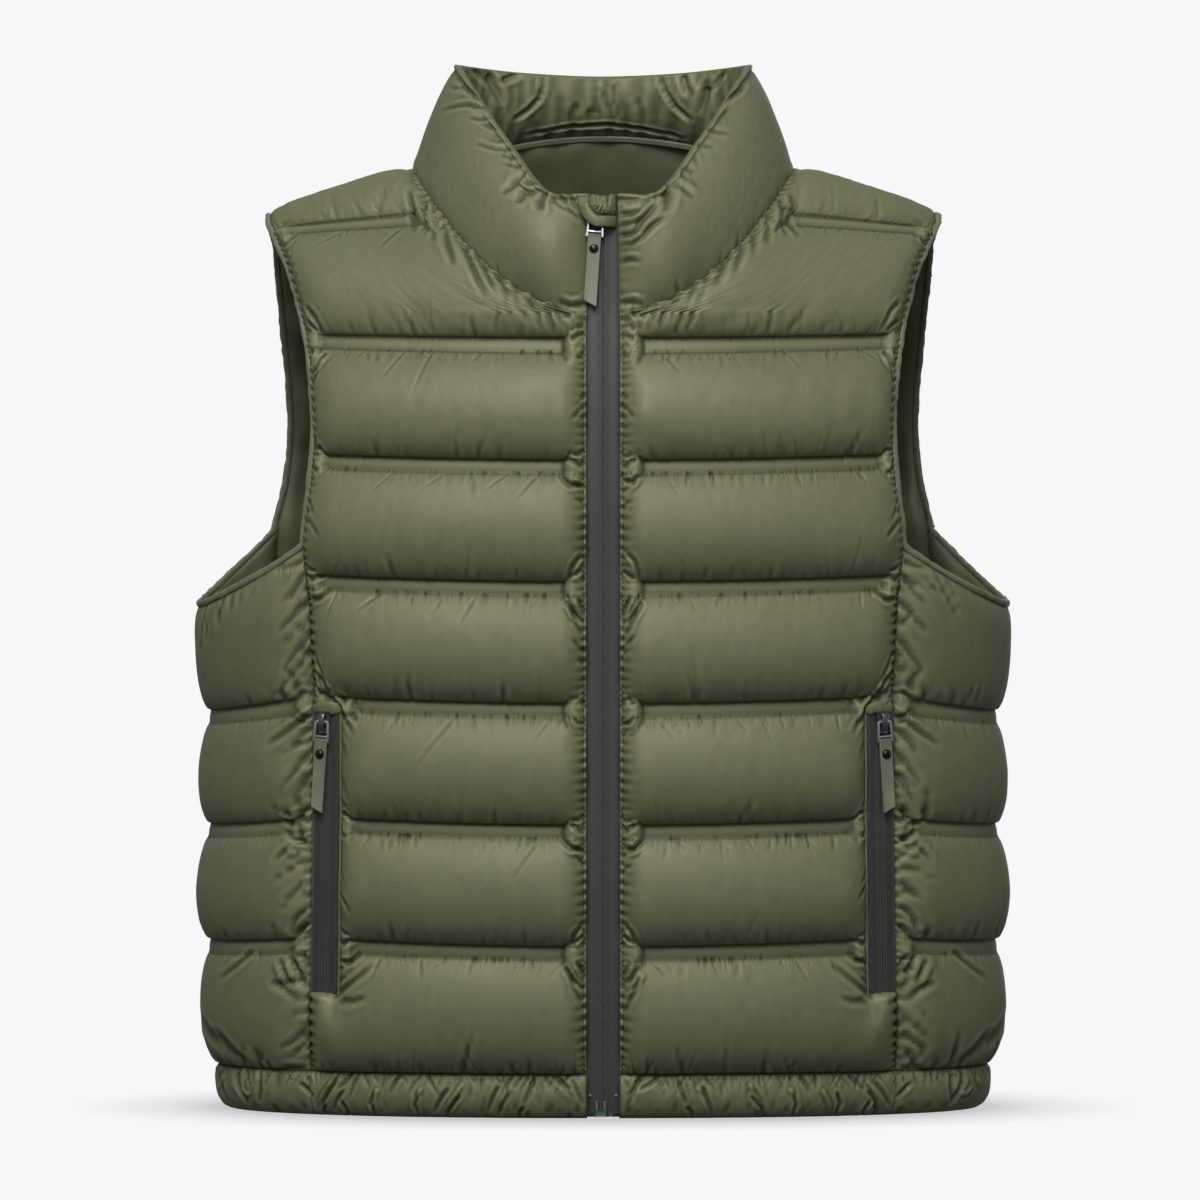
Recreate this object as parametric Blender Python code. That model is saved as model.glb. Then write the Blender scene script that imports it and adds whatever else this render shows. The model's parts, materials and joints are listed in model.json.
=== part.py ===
"""Quilted down vest with a stand collar, hollow as it is worn.

Metres, +Z up. The front faces -Y and +X points to the wearer's left. The origin is midway
between the two shoulder-neck points, where the wearer's shoulders carry the vest. Heights
in the tables are measured up from the hem's lower edge and moved down by place().

A panel is a wall: its outer points lie on the body surface, lifted by the down between the
quilt lines, and its inner points are plain, one stitched-through thickness further in.
"""

import math

import bmesh
import bpy
import numpy as np
from mathutils import Matrix, Vector
from mathutils.geometry import delaunay_2d_cdt

# Heights above the hem's lower edge
NECK_POINT = 0.580
SHOULDER_TIP = 0.555
SHOULDER_ROUNDS_FROM = 0.400
HEM_BAND = 0.027
CHANNEL = 0.0732
LEVEL_LINES = 6
YOKE_AT_NECK = 0.5485
YOKE_AT_TIP = 0.5415
FRONT_NECK = 0.4855
BACK_NECK = 0.608
COLLAR_FRONT_TOP = 0.5565
UNDERARM = 0.309
ARMHOLE_MEETS_FRONT_SEAM = 0.345
ARMHOLE_MEETS_BACK_SEAM = 0.356
POCKET_LEVELS = (0.606, 2.995)

# Widths from the centre line
NECK_HALF = 0.118
TIP_HALF = 0.2065
ZIP_HALF = 0.0097
ZIP_TOP_HALF = 0.0083
POCKET_ZIP_WIDTH = 0.0155

# Cloth and down
STITCHED = 0.003
SEAM_GAP = 0.0003
COLLAR_CLEAR = 0.0007
QUILT_BAND = 0.0086
BODY_PUFF = 0.013
YOKE_FULLNESS = 0.5
SIDE_PUFF = 0.0068
COLLAR_LINING_PUFF = 0.007
COLLAR_END_FALL = 0.030
COLLAR_END_FLAT = 0.0025
EDGE_FALL = 0.022
ZIP_FALL = 0.017

# The body surface
BODY_SQUARENESS = 2.25
SHOULDER_SEAM_Y = 0.012
SHOULDER_DROP = (NECK_POINT - SHOULDER_TIP) / (TIP_HALF - NECK_HALF)
NECK_RISE = 0.080
NECKLINE_CURVE = 2.1
ARMHOLE_SCOOP = 2.2
# height, half width, depth in front, depth behind
BODY = (
    (0.000, 0.2330, 0.1160, 0.1120),
    (0.027, 0.2380, 0.1200, 0.1150),
    (0.100, 0.2432, 0.1270, 0.1170),
    (0.250, 0.2434, 0.1310, 0.1190),
    (0.285, 0.2455, 0.1312, 0.1200),
    (0.315, 0.2525, 0.1310, 0.1210),
    (0.390, 0.2410, 0.1295, 0.1240),
    (0.470, 0.2310, 0.1220, 0.1250),
    (0.550, 0.2220, 0.1120, 0.1220),
    (0.700, 0.2150, 0.1000, 0.1120),
)
# height, distance of the front panel's outer edge from the centre: seam, then armhole
FRONT_EDGE = (
    (0.000, 0.1780),
    (0.073, 0.1770),
    (0.160, 0.1757),
    (0.245, 0.1755),
    (0.300, 0.1770),
    (0.345, 0.1815),
    (0.385, 0.1775),
    (0.421, 0.1757),
    (0.470, 0.1806),
    (0.513, 0.1910),
    (0.548, 0.2065),
    (0.560, 0.2110),
)
# height, distance of the back panel's outer edge from the centre: seam, then armhole
BACK_EDGE = (
    (0.000, 0.1920),
    (0.200, 0.1970),
    (0.300, 0.2030),
    (0.356, 0.2070),
    (0.388, 0.1995),
    (0.425, 0.1965),
    (0.470, 0.1995),
    (0.513, 0.2030),
    (0.548, 0.2065),
    (0.560, 0.2110),
)
# in front or behind, distance along the neck seam from the centre line, then the
# collar's top edge above that point: distance from the centre line, depth, height, and
# how far the down lifts the collar's outside there
COLLAR = (
    ("front", ZIP_HALF, ZIP_TOP_HALF + SEAM_GAP / 2, -0.1030, COLLAR_FRONT_TOP, 0.0125),
    ("front", 0.036, 0.0340, -0.1000, 0.5600, 0.0125),
    ("front", 0.062, 0.0600, -0.0660, 0.5960, 0.0120),
    ("front", 0.090, 0.0800, -0.0320, 0.6280, 0.0070),
    ("front", 0.111, 0.0895, -0.0060, 0.6430, 0.0025),
    ("back", 0.1175, 0.0900, 0.0200, 0.6465, 0.0015),
    ("back", 0.098, 0.0780, 0.0440, 0.6465, 0.0050),
    ("back", 0.052, 0.0450, 0.0600, 0.6440, 0.0090),
    ("back", 0.000, 0.0000, 0.0660, 0.6425, 0.0105),
)

# How the grids are divided
CHANNEL_STEPS = (0.0, 0.12, 0.38, 0.62, 0.88, 1.0)
FRONT_COLUMNS = (0.0, 0.025, 0.08, 0.2, 0.4, 0.6, 0.76, 0.85, 0.905, 0.94, 0.975, 1.0)
POCKET_COLUMN = 8
HALF_BACK_COLUMNS = (
    *(0.0, 0.12, 0.24, 0.35, 0.44, 0.505, 0.55),
    *(0.571, 0.7, 0.82, 0.92, 0.975, 1.0),
)
FRONT_LEVELS = (2.995, 6.2175, 6.235, 6.28, 6.335, 6.49)
SIDE_COLUMNS = (0.0, 0.02, 0.08, 0.2, 0.35, 0.5, 0.65, 0.8, 0.92, 0.98, 1.0)
COLLAR_ROWS = (0.0, 0.06, 0.2, 0.4, 0.6, 0.8, 0.94, 1.0)
HALF_HEM_GATHERS = 27
COLUMNS_PER_GATHER = 4
HEM_ROWS = (0.0, 0.12, 0.5, 0.86, 1.0)
BINDING_RADIUS = 0.0015
NECK_TAPE_FROM = 0.030
NECK_TAPE_CLEAR = 0.0012
NECK_TAPE_POINTS = 22
HEM_PUFF = 0.0045
HEM_GATHER = 0.0016
HEM_PARTING = 0.0010
HEM_WANDER = 0.9
HEM_WANDER_LENGTH = 5.3

# Zip, in each slider's own frame: the origin is on the pull's hinge, -Y faces out
HINGE_LIFT = 0.0040
TAPE = 0.0012
TAPE_CLEAR = 0.0005
TAPE_RECESS = 0.0008
PLATE_THICKNESS = 0.0024
PLATE_HALF = 0.0046
PLATE_TOP = 0.0060
PLATE_BOTTOM = -0.0072
CROWN_HALF = 0.0016
CROWN_TOP = 0.0055
CROWN_BOTTOM = -0.0063
CROWN_LEG = 0.0012
CROWN_RISE = 0.0022
CROWN_THICKNESS = 0.0010
PULL_SKEW = math.radians(3.8)
PULL_HALF = 0.00565
PULL_BAR = 0.00115
PULL_THICKNESS = 0.0014
CROSSBAR_DROP = 0.0086
CROSSBAR = 0.0012
LEGS_DROP = 0.0126
TAB_TOP = 0.0106
TAB_BOTTOM = 0.0538
TAB_SLANT = 0.0036
TAB_HALF = 0.0040
TAB_THICKNESS = 0.0018
RIVET_DROP = 0.0198
RIVET_RADIUS = 0.0029
RIVET_RISE = 0.0016

# Where the zips are
FRONT_HINGE_HEIGHT = 0.5450
FRONT_SLIDER_X = -0.0024
FRONT_PULL_SHIFT = -0.0020
POCKET_HINGE_HEIGHT = 0.2400
ZIP_BOTTOM = 0.0012
FRONT_TAPE_TOP = 0.5540
BOX_X = -0.0015
BOX_HALF = 0.0038
BOX_PRONG = 0.0022
BOX_HEIGHT = 0.0056
BOX_PRONG_TOP = 0.0109
BOX_THICKNESS = 0.0024
GARAGE_LEFT = -0.0157
GARAGE_RIGHT = 0.0079
GARAGE_TOP = 0.5595
GARAGE_BOTTOM = 0.5376
GARAGE_CLOSES_FROM = 0.5525
GARAGE_HEM = 0.0016
GARAGE_CLOTH = 0.0011
GARAGE_ROUNDNESS = 2.6
GARAGE_FLAT = 0.0014
# distance from the centre line, how far the garage stands off the tape there
GARAGE = (
    (GARAGE_LEFT, 0.0052),
    (-0.0100, 0.0082),
    (-0.0020, 0.0090),
    (0.0035, 0.0066),
    (GARAGE_RIGHT, 0.0006),
)

OLIVE = (0.118, 0.122, 0.066, 1.0)
LINING = (0.085, 0.088, 0.048, 1.0)
TAPE_GREY = (0.045, 0.047, 0.047, 1.0)
METAL = (0.42, 0.43, 0.41, 1.0)
RUBBER = (0.23, 0.24, 0.18, 1.0)
BLACK = (0.010, 0.010, 0.011, 1.0)
BOX_GREEN = (0.060, 0.090, 0.055, 1.0)


def material(name, colour, roughness, metallic=0.0):
    made = bpy.data.materials.new(name)
    made.use_nodes = True
    shader = made.node_tree.nodes["Principled BSDF"]
    shader.inputs["Base Color"].default_value = colour
    shader.inputs["Roughness"].default_value = roughness
    shader.inputs["Metallic"].default_value = metallic
    return made


def smooth(at, stations, values):
    """A cubic through the stations, with each slope taken from its neighbours."""
    stations, values = np.asarray(stations, float), np.asarray(values, float)
    slopes = np.gradient(values, stations)
    i = np.clip(np.searchsorted(stations, at) - 1, 0, len(stations) - 2)
    span = stations[i + 1] - stations[i]
    t = np.clip((at - stations[i]) / span, 0.0, 1.0)
    rise = values[i + 1] - values[i]
    start, end = slopes[i] * span, slopes[i + 1] * span
    return values[i] + t * (start + t * (3 * rise - 2 * start - end + t * (start + end - 2 * rise)))


def column(table, i):
    return [row[i] for row in table]


def front_edge(height):
    return smooth(height, column(FRONT_EDGE, 0), column(FRONT_EDGE, 1))


def back_edge(height):
    return smooth(height, column(BACK_EDGE, 0), column(BACK_EDGE, 1))


def body_size(height, i):
    return smooth(height, column(BODY, 0), column(BODY, i))


def shoulder_line(x):
    """Height where front and back would meet above this distance from the centre."""
    inside = np.clip(1 - (x / NECK_HALF) ** 2, 0, 1)
    rise = SHOULDER_DROP * NECK_HALF / 2 * inside + NECK_RISE * inside**1.5
    return NECK_POINT + rise - SHOULDER_DROP * np.maximum(np.abs(x) - NECK_HALF, 0)


def front_neckline(x):
    return FRONT_NECK + (NECK_POINT - FRONT_NECK) * (np.abs(x) / NECK_HALF) ** NECKLINE_CURVE


def back_neckline(x):
    return NECK_POINT + (BACK_NECK - NECK_POINT) * (1 - (np.abs(x) / NECK_HALF) ** 2)


def shoulder_angle(height, x):
    """How far round the shoulder a height is: 0 where it starts to round, 90 degrees at the seam."""
    share = (height - SHOULDER_ROUNDS_FROM) / (shoulder_line(x) - SHOULDER_ROUNDS_FROM)
    return np.arcsin(np.clip(share, 0, 1))


def body_point(x, height, side):
    """The body surface at x and height, in front (side -1) or behind (side +1)."""
    half = body_size(height, 1)
    depth = np.where(side < 0, body_size(height, 2), body_size(height, 3))
    round_off = np.cos(shoulder_angle(height, x))
    share = np.clip(1 - (np.abs(x) / half) ** BODY_SQUARENESS, 0, 1)
    reach = side * depth * share ** (1 / BODY_SQUARENESS)
    y = SHOULDER_SEAM_Y + (reach - SHOULDER_SEAM_Y) * round_off
    return np.stack(np.broadcast_arrays(x, y, height), axis=-1)


def ring_point(turn, height):
    """The body surface below the shoulders, by angle from the centre front."""
    half = body_size(height, 1)
    depth = np.where(turn < np.pi / 2, -body_size(height, 2), body_size(height, 3))
    power = 2 / BODY_SQUARENESS
    x = half * np.abs(np.sin(turn)) ** power
    y = depth * np.abs(np.cos(turn)) ** power
    return np.stack(np.broadcast_arrays(x, y, height), axis=-1)


def turn_at(x, height):
    """The ring angle of a distance from the centre, on the front half."""
    return np.arcsin(np.clip(x / body_size(height, 1), 0, 1) ** (BODY_SQUARENESS / 2))


def row_height(level, x, side):
    """Height of a row. Whole levels are quilt lines: 0 is the hem seam, 7 the yoke line and
    8 the shoulder seam or, behind, the back neckline."""
    line = HEM_BAND + CHANNEL * np.minimum(level, LEVEL_LINES)
    across = (np.abs(x) - NECK_HALF) / (TIP_HALF - NECK_HALF)
    yoke = YOKE_AT_NECK + (YOKE_AT_TIP - YOKE_AT_NECK) * across
    line = line + (yoke - line) * np.clip(level - LEVEL_LINES, 0, 1)
    end = shoulder_line(x)
    if side > 0:
        end = np.where(np.abs(x) < NECK_HALF, np.minimum(back_neckline(x), end), end)
    first, last = shoulder_angle(yoke, x), shoulder_angle(end, x)
    turn = first + (last - first) * np.clip(level - LEVEL_LINES - 1, 0, 1)
    above = SHOULDER_ROUNDS_FROM + (shoulder_line(x) - SHOULDER_ROUNDS_FROM) * np.sin(turn)
    return np.where(level > LEVEL_LINES + 1, above, line)


def neckline_start(level):
    """Where a front row starts: at the zip or, higher up, on the neckline."""
    low, high = ZIP_HALF, NECK_HALF
    if row_height(level, low, -1) <= front_neckline(low):
        return low
    for _ in range(40):
        middle = (low + high) / 2
        if row_height(level, middle, -1) > front_neckline(middle):
            low = middle
        else:
            high = middle
    return low


def outer_end(level, edge, side):
    """Where a row ends, at the side seam or the armhole."""
    x = TIP_HALF
    for _ in range(12):
        x = float(edge(row_height(level, x, side)))
    return min(x, TIP_HALF)


def fill(level):
    """How full the down is across a channel, 0 on the quilt lines."""
    band = QUILT_BAND / CHANNEL / 2
    share = np.clip((level % 1.0 - band) / (1 - 2 * band), 0, 1)
    return np.sin(np.pi * share) ** 0.6 * np.where(level > LEVEL_LINES + 1, YOKE_FULLNESS, 1)


def channel_widths(point, x, level):
    """Each point's channel, from quilt line to quilt line, as a share of the usual width."""
    top = np.where(level >= LEVEL_LINES + 2, level, np.floor(level) + 1)
    span = np.linalg.norm(point(x, top) - point(x, top - 1), axis=-1)
    return np.clip(span / CHANNEL, 0, 1)


def ease(distance, reach=EDGE_FALL):
    return np.sin(np.pi / 2 * np.clip(distance / reach, 0, 1)) ** 0.8


def distance_to(points, line):
    """Each point's distance to a line of points."""
    gaps = points[..., None, :] - line
    return np.sqrt((gaps**2).sum(-1)).min(-1)


def panel_levels(last, more=()):
    """Rows of a panel up to the whole level last: both edges of each band, and the down between."""
    band = QUILT_BAND / CHANNEL / 2
    rows = [0.0, *more]
    for channel in range(last):
        rows += [channel + band + (1 - 2 * band) * step for step in CHANNEL_STEPS]
    return np.array(sorted(rows) + [float(last)])


def normals_of(point, a, b, step_a=1e-4, step_b=1e-4):
    """Unit normals of a surface point(a, b)."""
    along = point(a + step_a, b) - point(a - step_a, b)
    up = point(a, b + step_b) - point(a, b - step_b)
    cross = np.cross(along, up)
    return cross / np.linalg.norm(cross, axis=-1, keepdims=True)


def place(points):
    """Moves points with heights above the hem to the frame whose origin is at the shoulders."""
    return points - np.array([0.0, SHOULDER_SEAM_Y, NECK_POINT])


def mirrored(points):
    return points * np.array([-1.0, 1.0, 1.0])


def add_object(name, mesh, finish, at=None):
    obj = bpy.data.objects.new(name, mesh)
    bpy.context.scene.collection.objects.link(obj)
    mesh.materials.append(finish)
    if at is not None:
        obj.matrix_world = at
    return obj


def closed_mesh(name, points, faces):
    """A closed mesh with its faces pointing out."""
    shape = bmesh.new()
    corners = [shape.verts.new(p) for p in points]
    for face in faces:
        shape.faces.new([corners[i] for i in face])
    bmesh.ops.recalc_face_normals(shape, faces=shape.faces)
    mesh = bpy.data.meshes.new(name)
    shape.to_mesh(mesh)
    shape.free()
    mesh.shade_smooth()
    mesh.set_sharp_from_angle(angle=math.radians(40))
    return mesh


def border(rows, columns):
    """Grid indices round the edge, in order."""
    first = [(0, j) for j in range(columns - 1)]
    second = [(i, columns - 1) for i in range(rows - 1)]
    third = [(rows - 1, j) for j in range(columns - 1, 0, -1)]
    return first + second + third + [(i, 0) for i in range(rows - 1, 0, -1)]


def wall(name, outer, inner, finish, every=None):
    """A closed wall between two grids of points. The outer grid is used whole. The inner one is
    plain, so it keeps its border and, inside that, one row and column in every so many."""
    rows, columns = outer.shape[:2]
    number = {(i, j): i * columns + j for i in range(rows) for j in range(columns)}
    points = [outer[i, j] for i in range(rows) for j in range(columns)]
    faces = []
    for i in range(rows - 1):
        for j in range(columns - 1):
            faces.append((number[i, j], number[i, j + 1], number[i + 1, j + 1]))
            faces.append((number[i, j], number[i + 1, j + 1], number[i + 1, j]))
    edge = border(rows, columns)
    kept = list(edge)
    if every:
        for i in range(every[0], rows - 1, every[0]):
            kept += [(i, j) for j in range(every[1], columns - 1, every[1])]
    first = len(points)
    points += [inner[i, j] for i, j in kept]
    flat = [Vector((float(j) / columns, float(i) / rows)) for i, j in kept]
    ring = [(k, (k + 1) % len(edge)) for k in range(len(edge))]
    result = delaunay_2d_cdt(flat, ring, [], 1, 1e-7)
    origin = [near[0] for near in result[3]]
    faces += [tuple(first + origin[k] for k in reversed(face)) for face in result[2]]
    for k, (i, j) in enumerate(edge):
        after = (k + 1) % len(edge)
        faces.append((number[edge[after]], number[i, j], first + k, first + after))
    return add_object(name, closed_mesh(name, place(np.array(points)), faces), finish)


def front_grid():
    """The wearer's left front: base points, normals and how far the down lifts them."""
    levels = panel_levels(8, FRONT_LEVELS)
    starts = np.array([neckline_start(level) for level in levels])
    ends = np.array([outer_end(level, front_edge, -1) for level in levels])
    starts, ends = starts + SEAM_GAP / 2, ends - SEAM_GAP / 2
    x = starts[:, None] + (ends - starts)[:, None] * np.array(FRONT_COLUMNS)
    level = np.broadcast_to(levels[:, None], x.shape)

    def point(a, b):
        return body_point(a, row_height(np.minimum(b, 8.0), a, -1), -1)

    base, normal = point(x, level), normals_of(point, x, level)
    tape = distance_to(base, base[:, POCKET_COLUMN])
    tape[:, POCKET_COLUMN:] = 0
    pocket = in_pocket(level)
    to_edge = tape * pocket + distance_to(base, base[:, -1]) * (1 - pocket)
    lift = fill(level) * ease(distance_to(base, base[:, 0]), ZIP_FALL) * ease(to_edge)
    base[0, :, 2] += SEAM_GAP / 2
    base[-1, :, 1] -= SEAM_GAP / 2
    return base, normal, BODY_PUFF * lift * channel_widths(point, x, level)


def in_pocket(level):
    """1 along the pocket zip, easing to 0 past its ends."""
    first, last = POCKET_LEVELS
    past = np.maximum(first - level, level - last) - 0.01
    return np.clip(1 - np.maximum(past, 0) / 0.12, 0, 1)


def back_grid():
    levels = panel_levels(8)
    half = np.array(HALF_BACK_COLUMNS)
    share = np.concatenate([-half[:0:-1], half])
    ends = np.array([outer_end(level, back_edge, 1) for level in levels]) - SEAM_GAP / 2
    x = ends[:, None] * share
    level = np.broadcast_to(levels[:, None], x.shape)

    def point(a, b):
        return body_point(a, row_height(np.minimum(b, 8.0), a, 1), 1)

    base, normal = point(x, level), -normals_of(point, x, level)
    sides = np.minimum(distance_to(base, base[:, 0]), distance_to(base, base[:, -1]))
    base[0, :, 2] += SEAM_GAP / 2
    base[-1, :, 1] += SEAM_GAP / 2
    lift = fill(level) * ease(sides) * channel_widths(point, x, level)
    return base, normal, BODY_PUFF * lift


def armhole_bottom(share):
    """Height of the side panel's top edge, from the front seam (0) to the back seam (1)."""
    ends = np.where(share < 0.5, ARMHOLE_MEETS_FRONT_SEAM, ARMHOLE_MEETS_BACK_SEAM)
    return UNDERARM + (ends - UNDERARM) * np.abs(2 * share - 1) ** ARMHOLE_SCOOP


def side_place(share, level):
    """Ring angle and height of a side panel's point. Level 4 is the armhole's edge."""
    line = HEM_BAND + CHANNEL * np.minimum(level, 3.0)
    height = line + (armhole_bottom(share) - line) * np.clip(level - 3, 0, 1)
    start = turn_at(front_edge(height) + SEAM_GAP / 2, height)
    end = np.pi - turn_at(back_edge(height) + SEAM_GAP / 2, height)
    return start + (end - start) * share, height


def side_grid():
    levels = panel_levels(4)
    share, level = np.meshgrid(np.array(SIDE_COLUMNS), levels)

    def point(a, b):
        return ring_point(*side_place(a, b))

    base, normal = point(share, level), normals_of(point, share, level)
    sides = np.minimum(distance_to(base, base[:, 0]), distance_to(base, base[:, -1]))
    base[0, :, 2] += SEAM_GAP / 2
    return base, normal, SIDE_PUFF * fill(level) * ease(sides)


def panel(name, grid, finish, every=None, mirror=False):
    base, normal, lift = grid
    outer, inner = base + normal * lift[..., None], base - normal * STITCHED
    if mirror:
        outer, inner = mirrored(outer), mirrored(inner)
    return wall(name, outer, inner, finish, every)


def hem_grid(start, end, gathers):
    """The gathered casing below the hem seam, between two ring angles at the seam's height."""
    columns = gathers * COLUMNS_PER_GATHER + 1
    turn, share = np.meshgrid(np.linspace(start, end, columns), np.array(HEM_ROWS))
    height = share * (HEM_BAND - SEAM_GAP / 2)
    base, normal = ring_point(turn, height), normals_of(ring_point, turn, height)
    phase = np.linspace(0, 2 * np.pi * gathers, columns)
    wave = np.sin(phase + HEM_WANDER * np.sin(phase / HEM_WANDER_LENGTH))
    wave[[0, -1]] = 0
    body = np.sin(np.pi * share) ** 0.7
    return base, normal, body * (HEM_PUFF + HEM_GATHER * wave * np.sin(np.pi * share))


def hem_pieces(finish):
    """Five lengths of casing, parted at the zip and at the panels' seams."""
    front_seam = float(turn_at(front_edge(HEM_BAND), HEM_BAND))
    back_seam = math.pi - float(turn_at(back_edge(HEM_BAND), HEM_BAND))
    at_zip = float(turn_at(ZIP_HALF + SEAM_GAP / 2, HEM_BAND))
    lengths = (
        ("front", at_zip, front_seam - HEM_PARTING),
        ("side", front_seam + HEM_PARTING, back_seam - HEM_PARTING),
    )
    for place_name, start, end in lengths:
        gathers = round(HALF_HEM_GATHERS * (end - start) / math.pi)
        grid = hem_grid(start, end, gathers)
        panel(f"hem_{place_name}_left", grid, finish)
        panel(f"hem_{place_name}_right", grid, finish, mirror=True)
    gathers = 2 * round(HALF_HEM_GATHERS * (math.pi - back_seam) / math.pi)
    first = back_seam + HEM_PARTING
    grid = hem_grid(first, 2 * math.pi - first, gathers)
    base = grid[0].copy()
    base[..., 0] *= np.where(np.linspace(0, 1, base.shape[1]) > 0.5, -1, 1)
    normal = grid[1].copy()
    normal[..., 0] = np.sign(base[..., 0]) * np.abs(normal[..., 0])
    normal[..., 1] = np.abs(normal[..., 1])
    panel("hem_back", (base, normal, grid[2]), finish)


def neck_seam():
    """The neck seam through the panels' own points, from the wearer's left front to the right."""
    front, back = front_grid()[0][:, 0], back_grid()[0][-1]
    half = front[front[:, 2] > FRONT_NECK]
    behind = back[np.abs(back[:, 0]) < NECK_HALF - 0.002][::-1]
    return np.concatenate([half, behind, mirrored(half[::-1])])


def arc_length(points):
    steps = np.linalg.norm(np.diff(points, axis=0), axis=1)
    return np.concatenate([[0], np.cumsum(steps)])


def collar_top(seam):
    """The collar's top edge above each point of the neck seam, and its puff there."""
    stations = []
    for where, x, *top in COLLAR:
        height = front_neckline(x) if where == "front" else back_neckline(x)
        stations.append([*body_point(x, height, -1 if where == "front" else 1), *top])
    half = np.array(stations)
    whole = np.concatenate([half, half[-2::-1] * np.array([-1, 1, 1, -1, 1, 1, 1])])
    share = arc_length(whole[:, :3])
    at = arc_length(seam)
    at = at / at[-1] * share[-1]
    top = np.stack([smooth(at, share, whole[:, k]) for k in (3, 4, 5)], axis=1)
    return top, smooth(at, share, whole[:, 6])


def collar_surface(share):
    """Points of the collar at the row shares given, their normals, and its puff."""
    seam = neck_seam()
    top, puff = collar_top(seam)
    rows = np.asarray(share)[:, None, None]
    up = top - seam
    clear = up / np.linalg.norm(up, axis=1, keepdims=True) * COLLAR_CLEAR
    base = seam + clear + (up - clear) * rows
    across = np.gradient(base, axis=1)
    normal = np.cross(across, np.broadcast_to(up, base.shape))
    return base, normal / np.linalg.norm(normal, axis=-1, keepdims=True), puff


def collar(finish):
    rows = np.array(COLLAR_ROWS)
    base, normal, puff = collar_surface(rows)
    ends = np.minimum(distance_to(base, base[:, 0]), distance_to(base, base[:, -1]))
    body = np.sin(np.pi * rows)[:, None] ** 0.8 * ease(ends - COLLAR_END_FLAT, COLLAR_END_FALL)
    outer = base + normal * (puff * body)[..., None]
    inner = base - normal * (STITCHED + COLLAR_LINING_PUFF * body)[..., None]
    return wall("collar", outer, inner, finish, (1, 1))


def up_collar(height):
    """How far up the collar's front edge a height is, 0 at the neck and 1 at the top."""
    return np.clip((height - FRONT_NECK) / (COLLAR_FRONT_TOP - FRONT_NECK), 0, 1)


def centre_front(height):
    """The centre front line: the body, then the collar's front edge."""
    neck = body_point(ZIP_HALF, np.minimum(height, FRONT_NECK), -1)[..., 1]
    return neck + (COLLAR[0][3] - neck) * up_collar(height)


def zip_edge(height):
    """Half the width that the zip shows, which narrows up the collar."""
    return ZIP_HALF + (ZIP_TOP_HALF - ZIP_HALF) * up_collar(height)


def strip(name, base, normal, thickness, finish, every=None, mirror=False):
    """A thin band: its outer face on base, its inner face one thickness in."""
    outer, inner = base, base - normal * thickness
    if mirror:
        outer, inner = mirrored(outer), mirrored(inner)
    return wall(name, outer, inner, finish, every)


def front_zip(finish):
    """Two tapes that meet on the centre line, sunk a little between the fronts."""
    height = np.linspace(ZIP_BOTTOM, FRONT_TAPE_TOP, 30)
    x = np.stack([np.full_like(height, SEAM_GAP / 2), zip_edge(height) - SEAM_GAP / 2], axis=1)
    base = np.stack(
        np.broadcast_arrays(x, centre_front(height)[:, None], height[:, None]), axis=-1
    ).copy()
    base[..., 1] += TAPE_RECESS
    normal = np.array([0.0, -1.0, 0.0])
    strip("front_zip_tape_left", base, normal, TAPE, finish)
    strip("front_zip_tape_right", base, normal, TAPE, finish, mirror=True)


def pocket_zips(finish):
    """A tape on each front, beside the seam, made from the panel's own points moved out."""
    base, normal, _ = front_grid()
    levels = panel_levels(8, FRONT_LEVELS)
    inside = (levels > POCKET_LEVELS[0] - 0.01) & (levels < POCKET_LEVELS[1] + 0.01)
    part, way = base[inside][:, POCKET_COLUMN:], normal[inside][:, POCKET_COLUMN:]
    part = part + way * (TAPE_CLEAR + TAPE)
    strip("pocket_zip_tape_left", part, way, TAPE, finish, (1, 1))
    strip("pocket_zip_tape_right", part, way, TAPE, finish, (1, 1), mirror=True)


def box(shape, low, high):
    """A box between two corners, added to a bmesh."""
    low, high = Vector(low), Vector(high)
    matrix = Matrix.Translation((low + high) / 2) @ Matrix.Diagonal((*(high - low), 1))
    bmesh.ops.create_cube(shape, size=1, matrix=matrix)


def cell_plate(name, xs, zs, filled, front, back):
    """A plate cut to the filled cells of a grid, extruded between two depths."""
    shape = bmesh.new()
    corners = {}
    for i, x in enumerate(xs):
        for j, z in enumerate(zs):
            corners[i, j] = shape.verts.new((x, back, z))
    for i, j in filled:
        shape.faces.new([corners[i, j], corners[i + 1, j], corners[i + 1, j + 1], corners[i, j + 1]])
    unused = [v for v in shape.verts if not v.link_faces]
    bmesh.ops.delete(shape, geom=unused, context="VERTS")
    made = bmesh.ops.extrude_face_region(shape, geom=shape.faces[:])
    moved = [v for v in made["geom"] if isinstance(v, bmesh.types.BMVert)]
    bmesh.ops.translate(shape, verts=moved, vec=(0, front - back, 0))
    bmesh.ops.recalc_face_normals(shape, faces=shape.faces)
    mesh = bpy.data.meshes.new(name)
    shape.to_mesh(mesh)
    shape.free()
    return mesh


def pull_frame(name):
    """The metal H: a hinge bar at the top, two side bars and a crossbar over the tab."""
    inner = PULL_HALF - PULL_BAR
    half = PULL_THICKNESS / 2
    xs = (-PULL_HALF, -inner, inner, PULL_HALF)
    zs = (-LEGS_DROP, -CROSSBAR_DROP - CROSSBAR, -CROSSBAR_DROP, -half, half)
    sides = [(i, j) for i in (0, 2) for j in range(4)]
    return cell_plate(name, xs, zs, [*sides, (1, 1), (1, 3)], -half, half)


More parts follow.
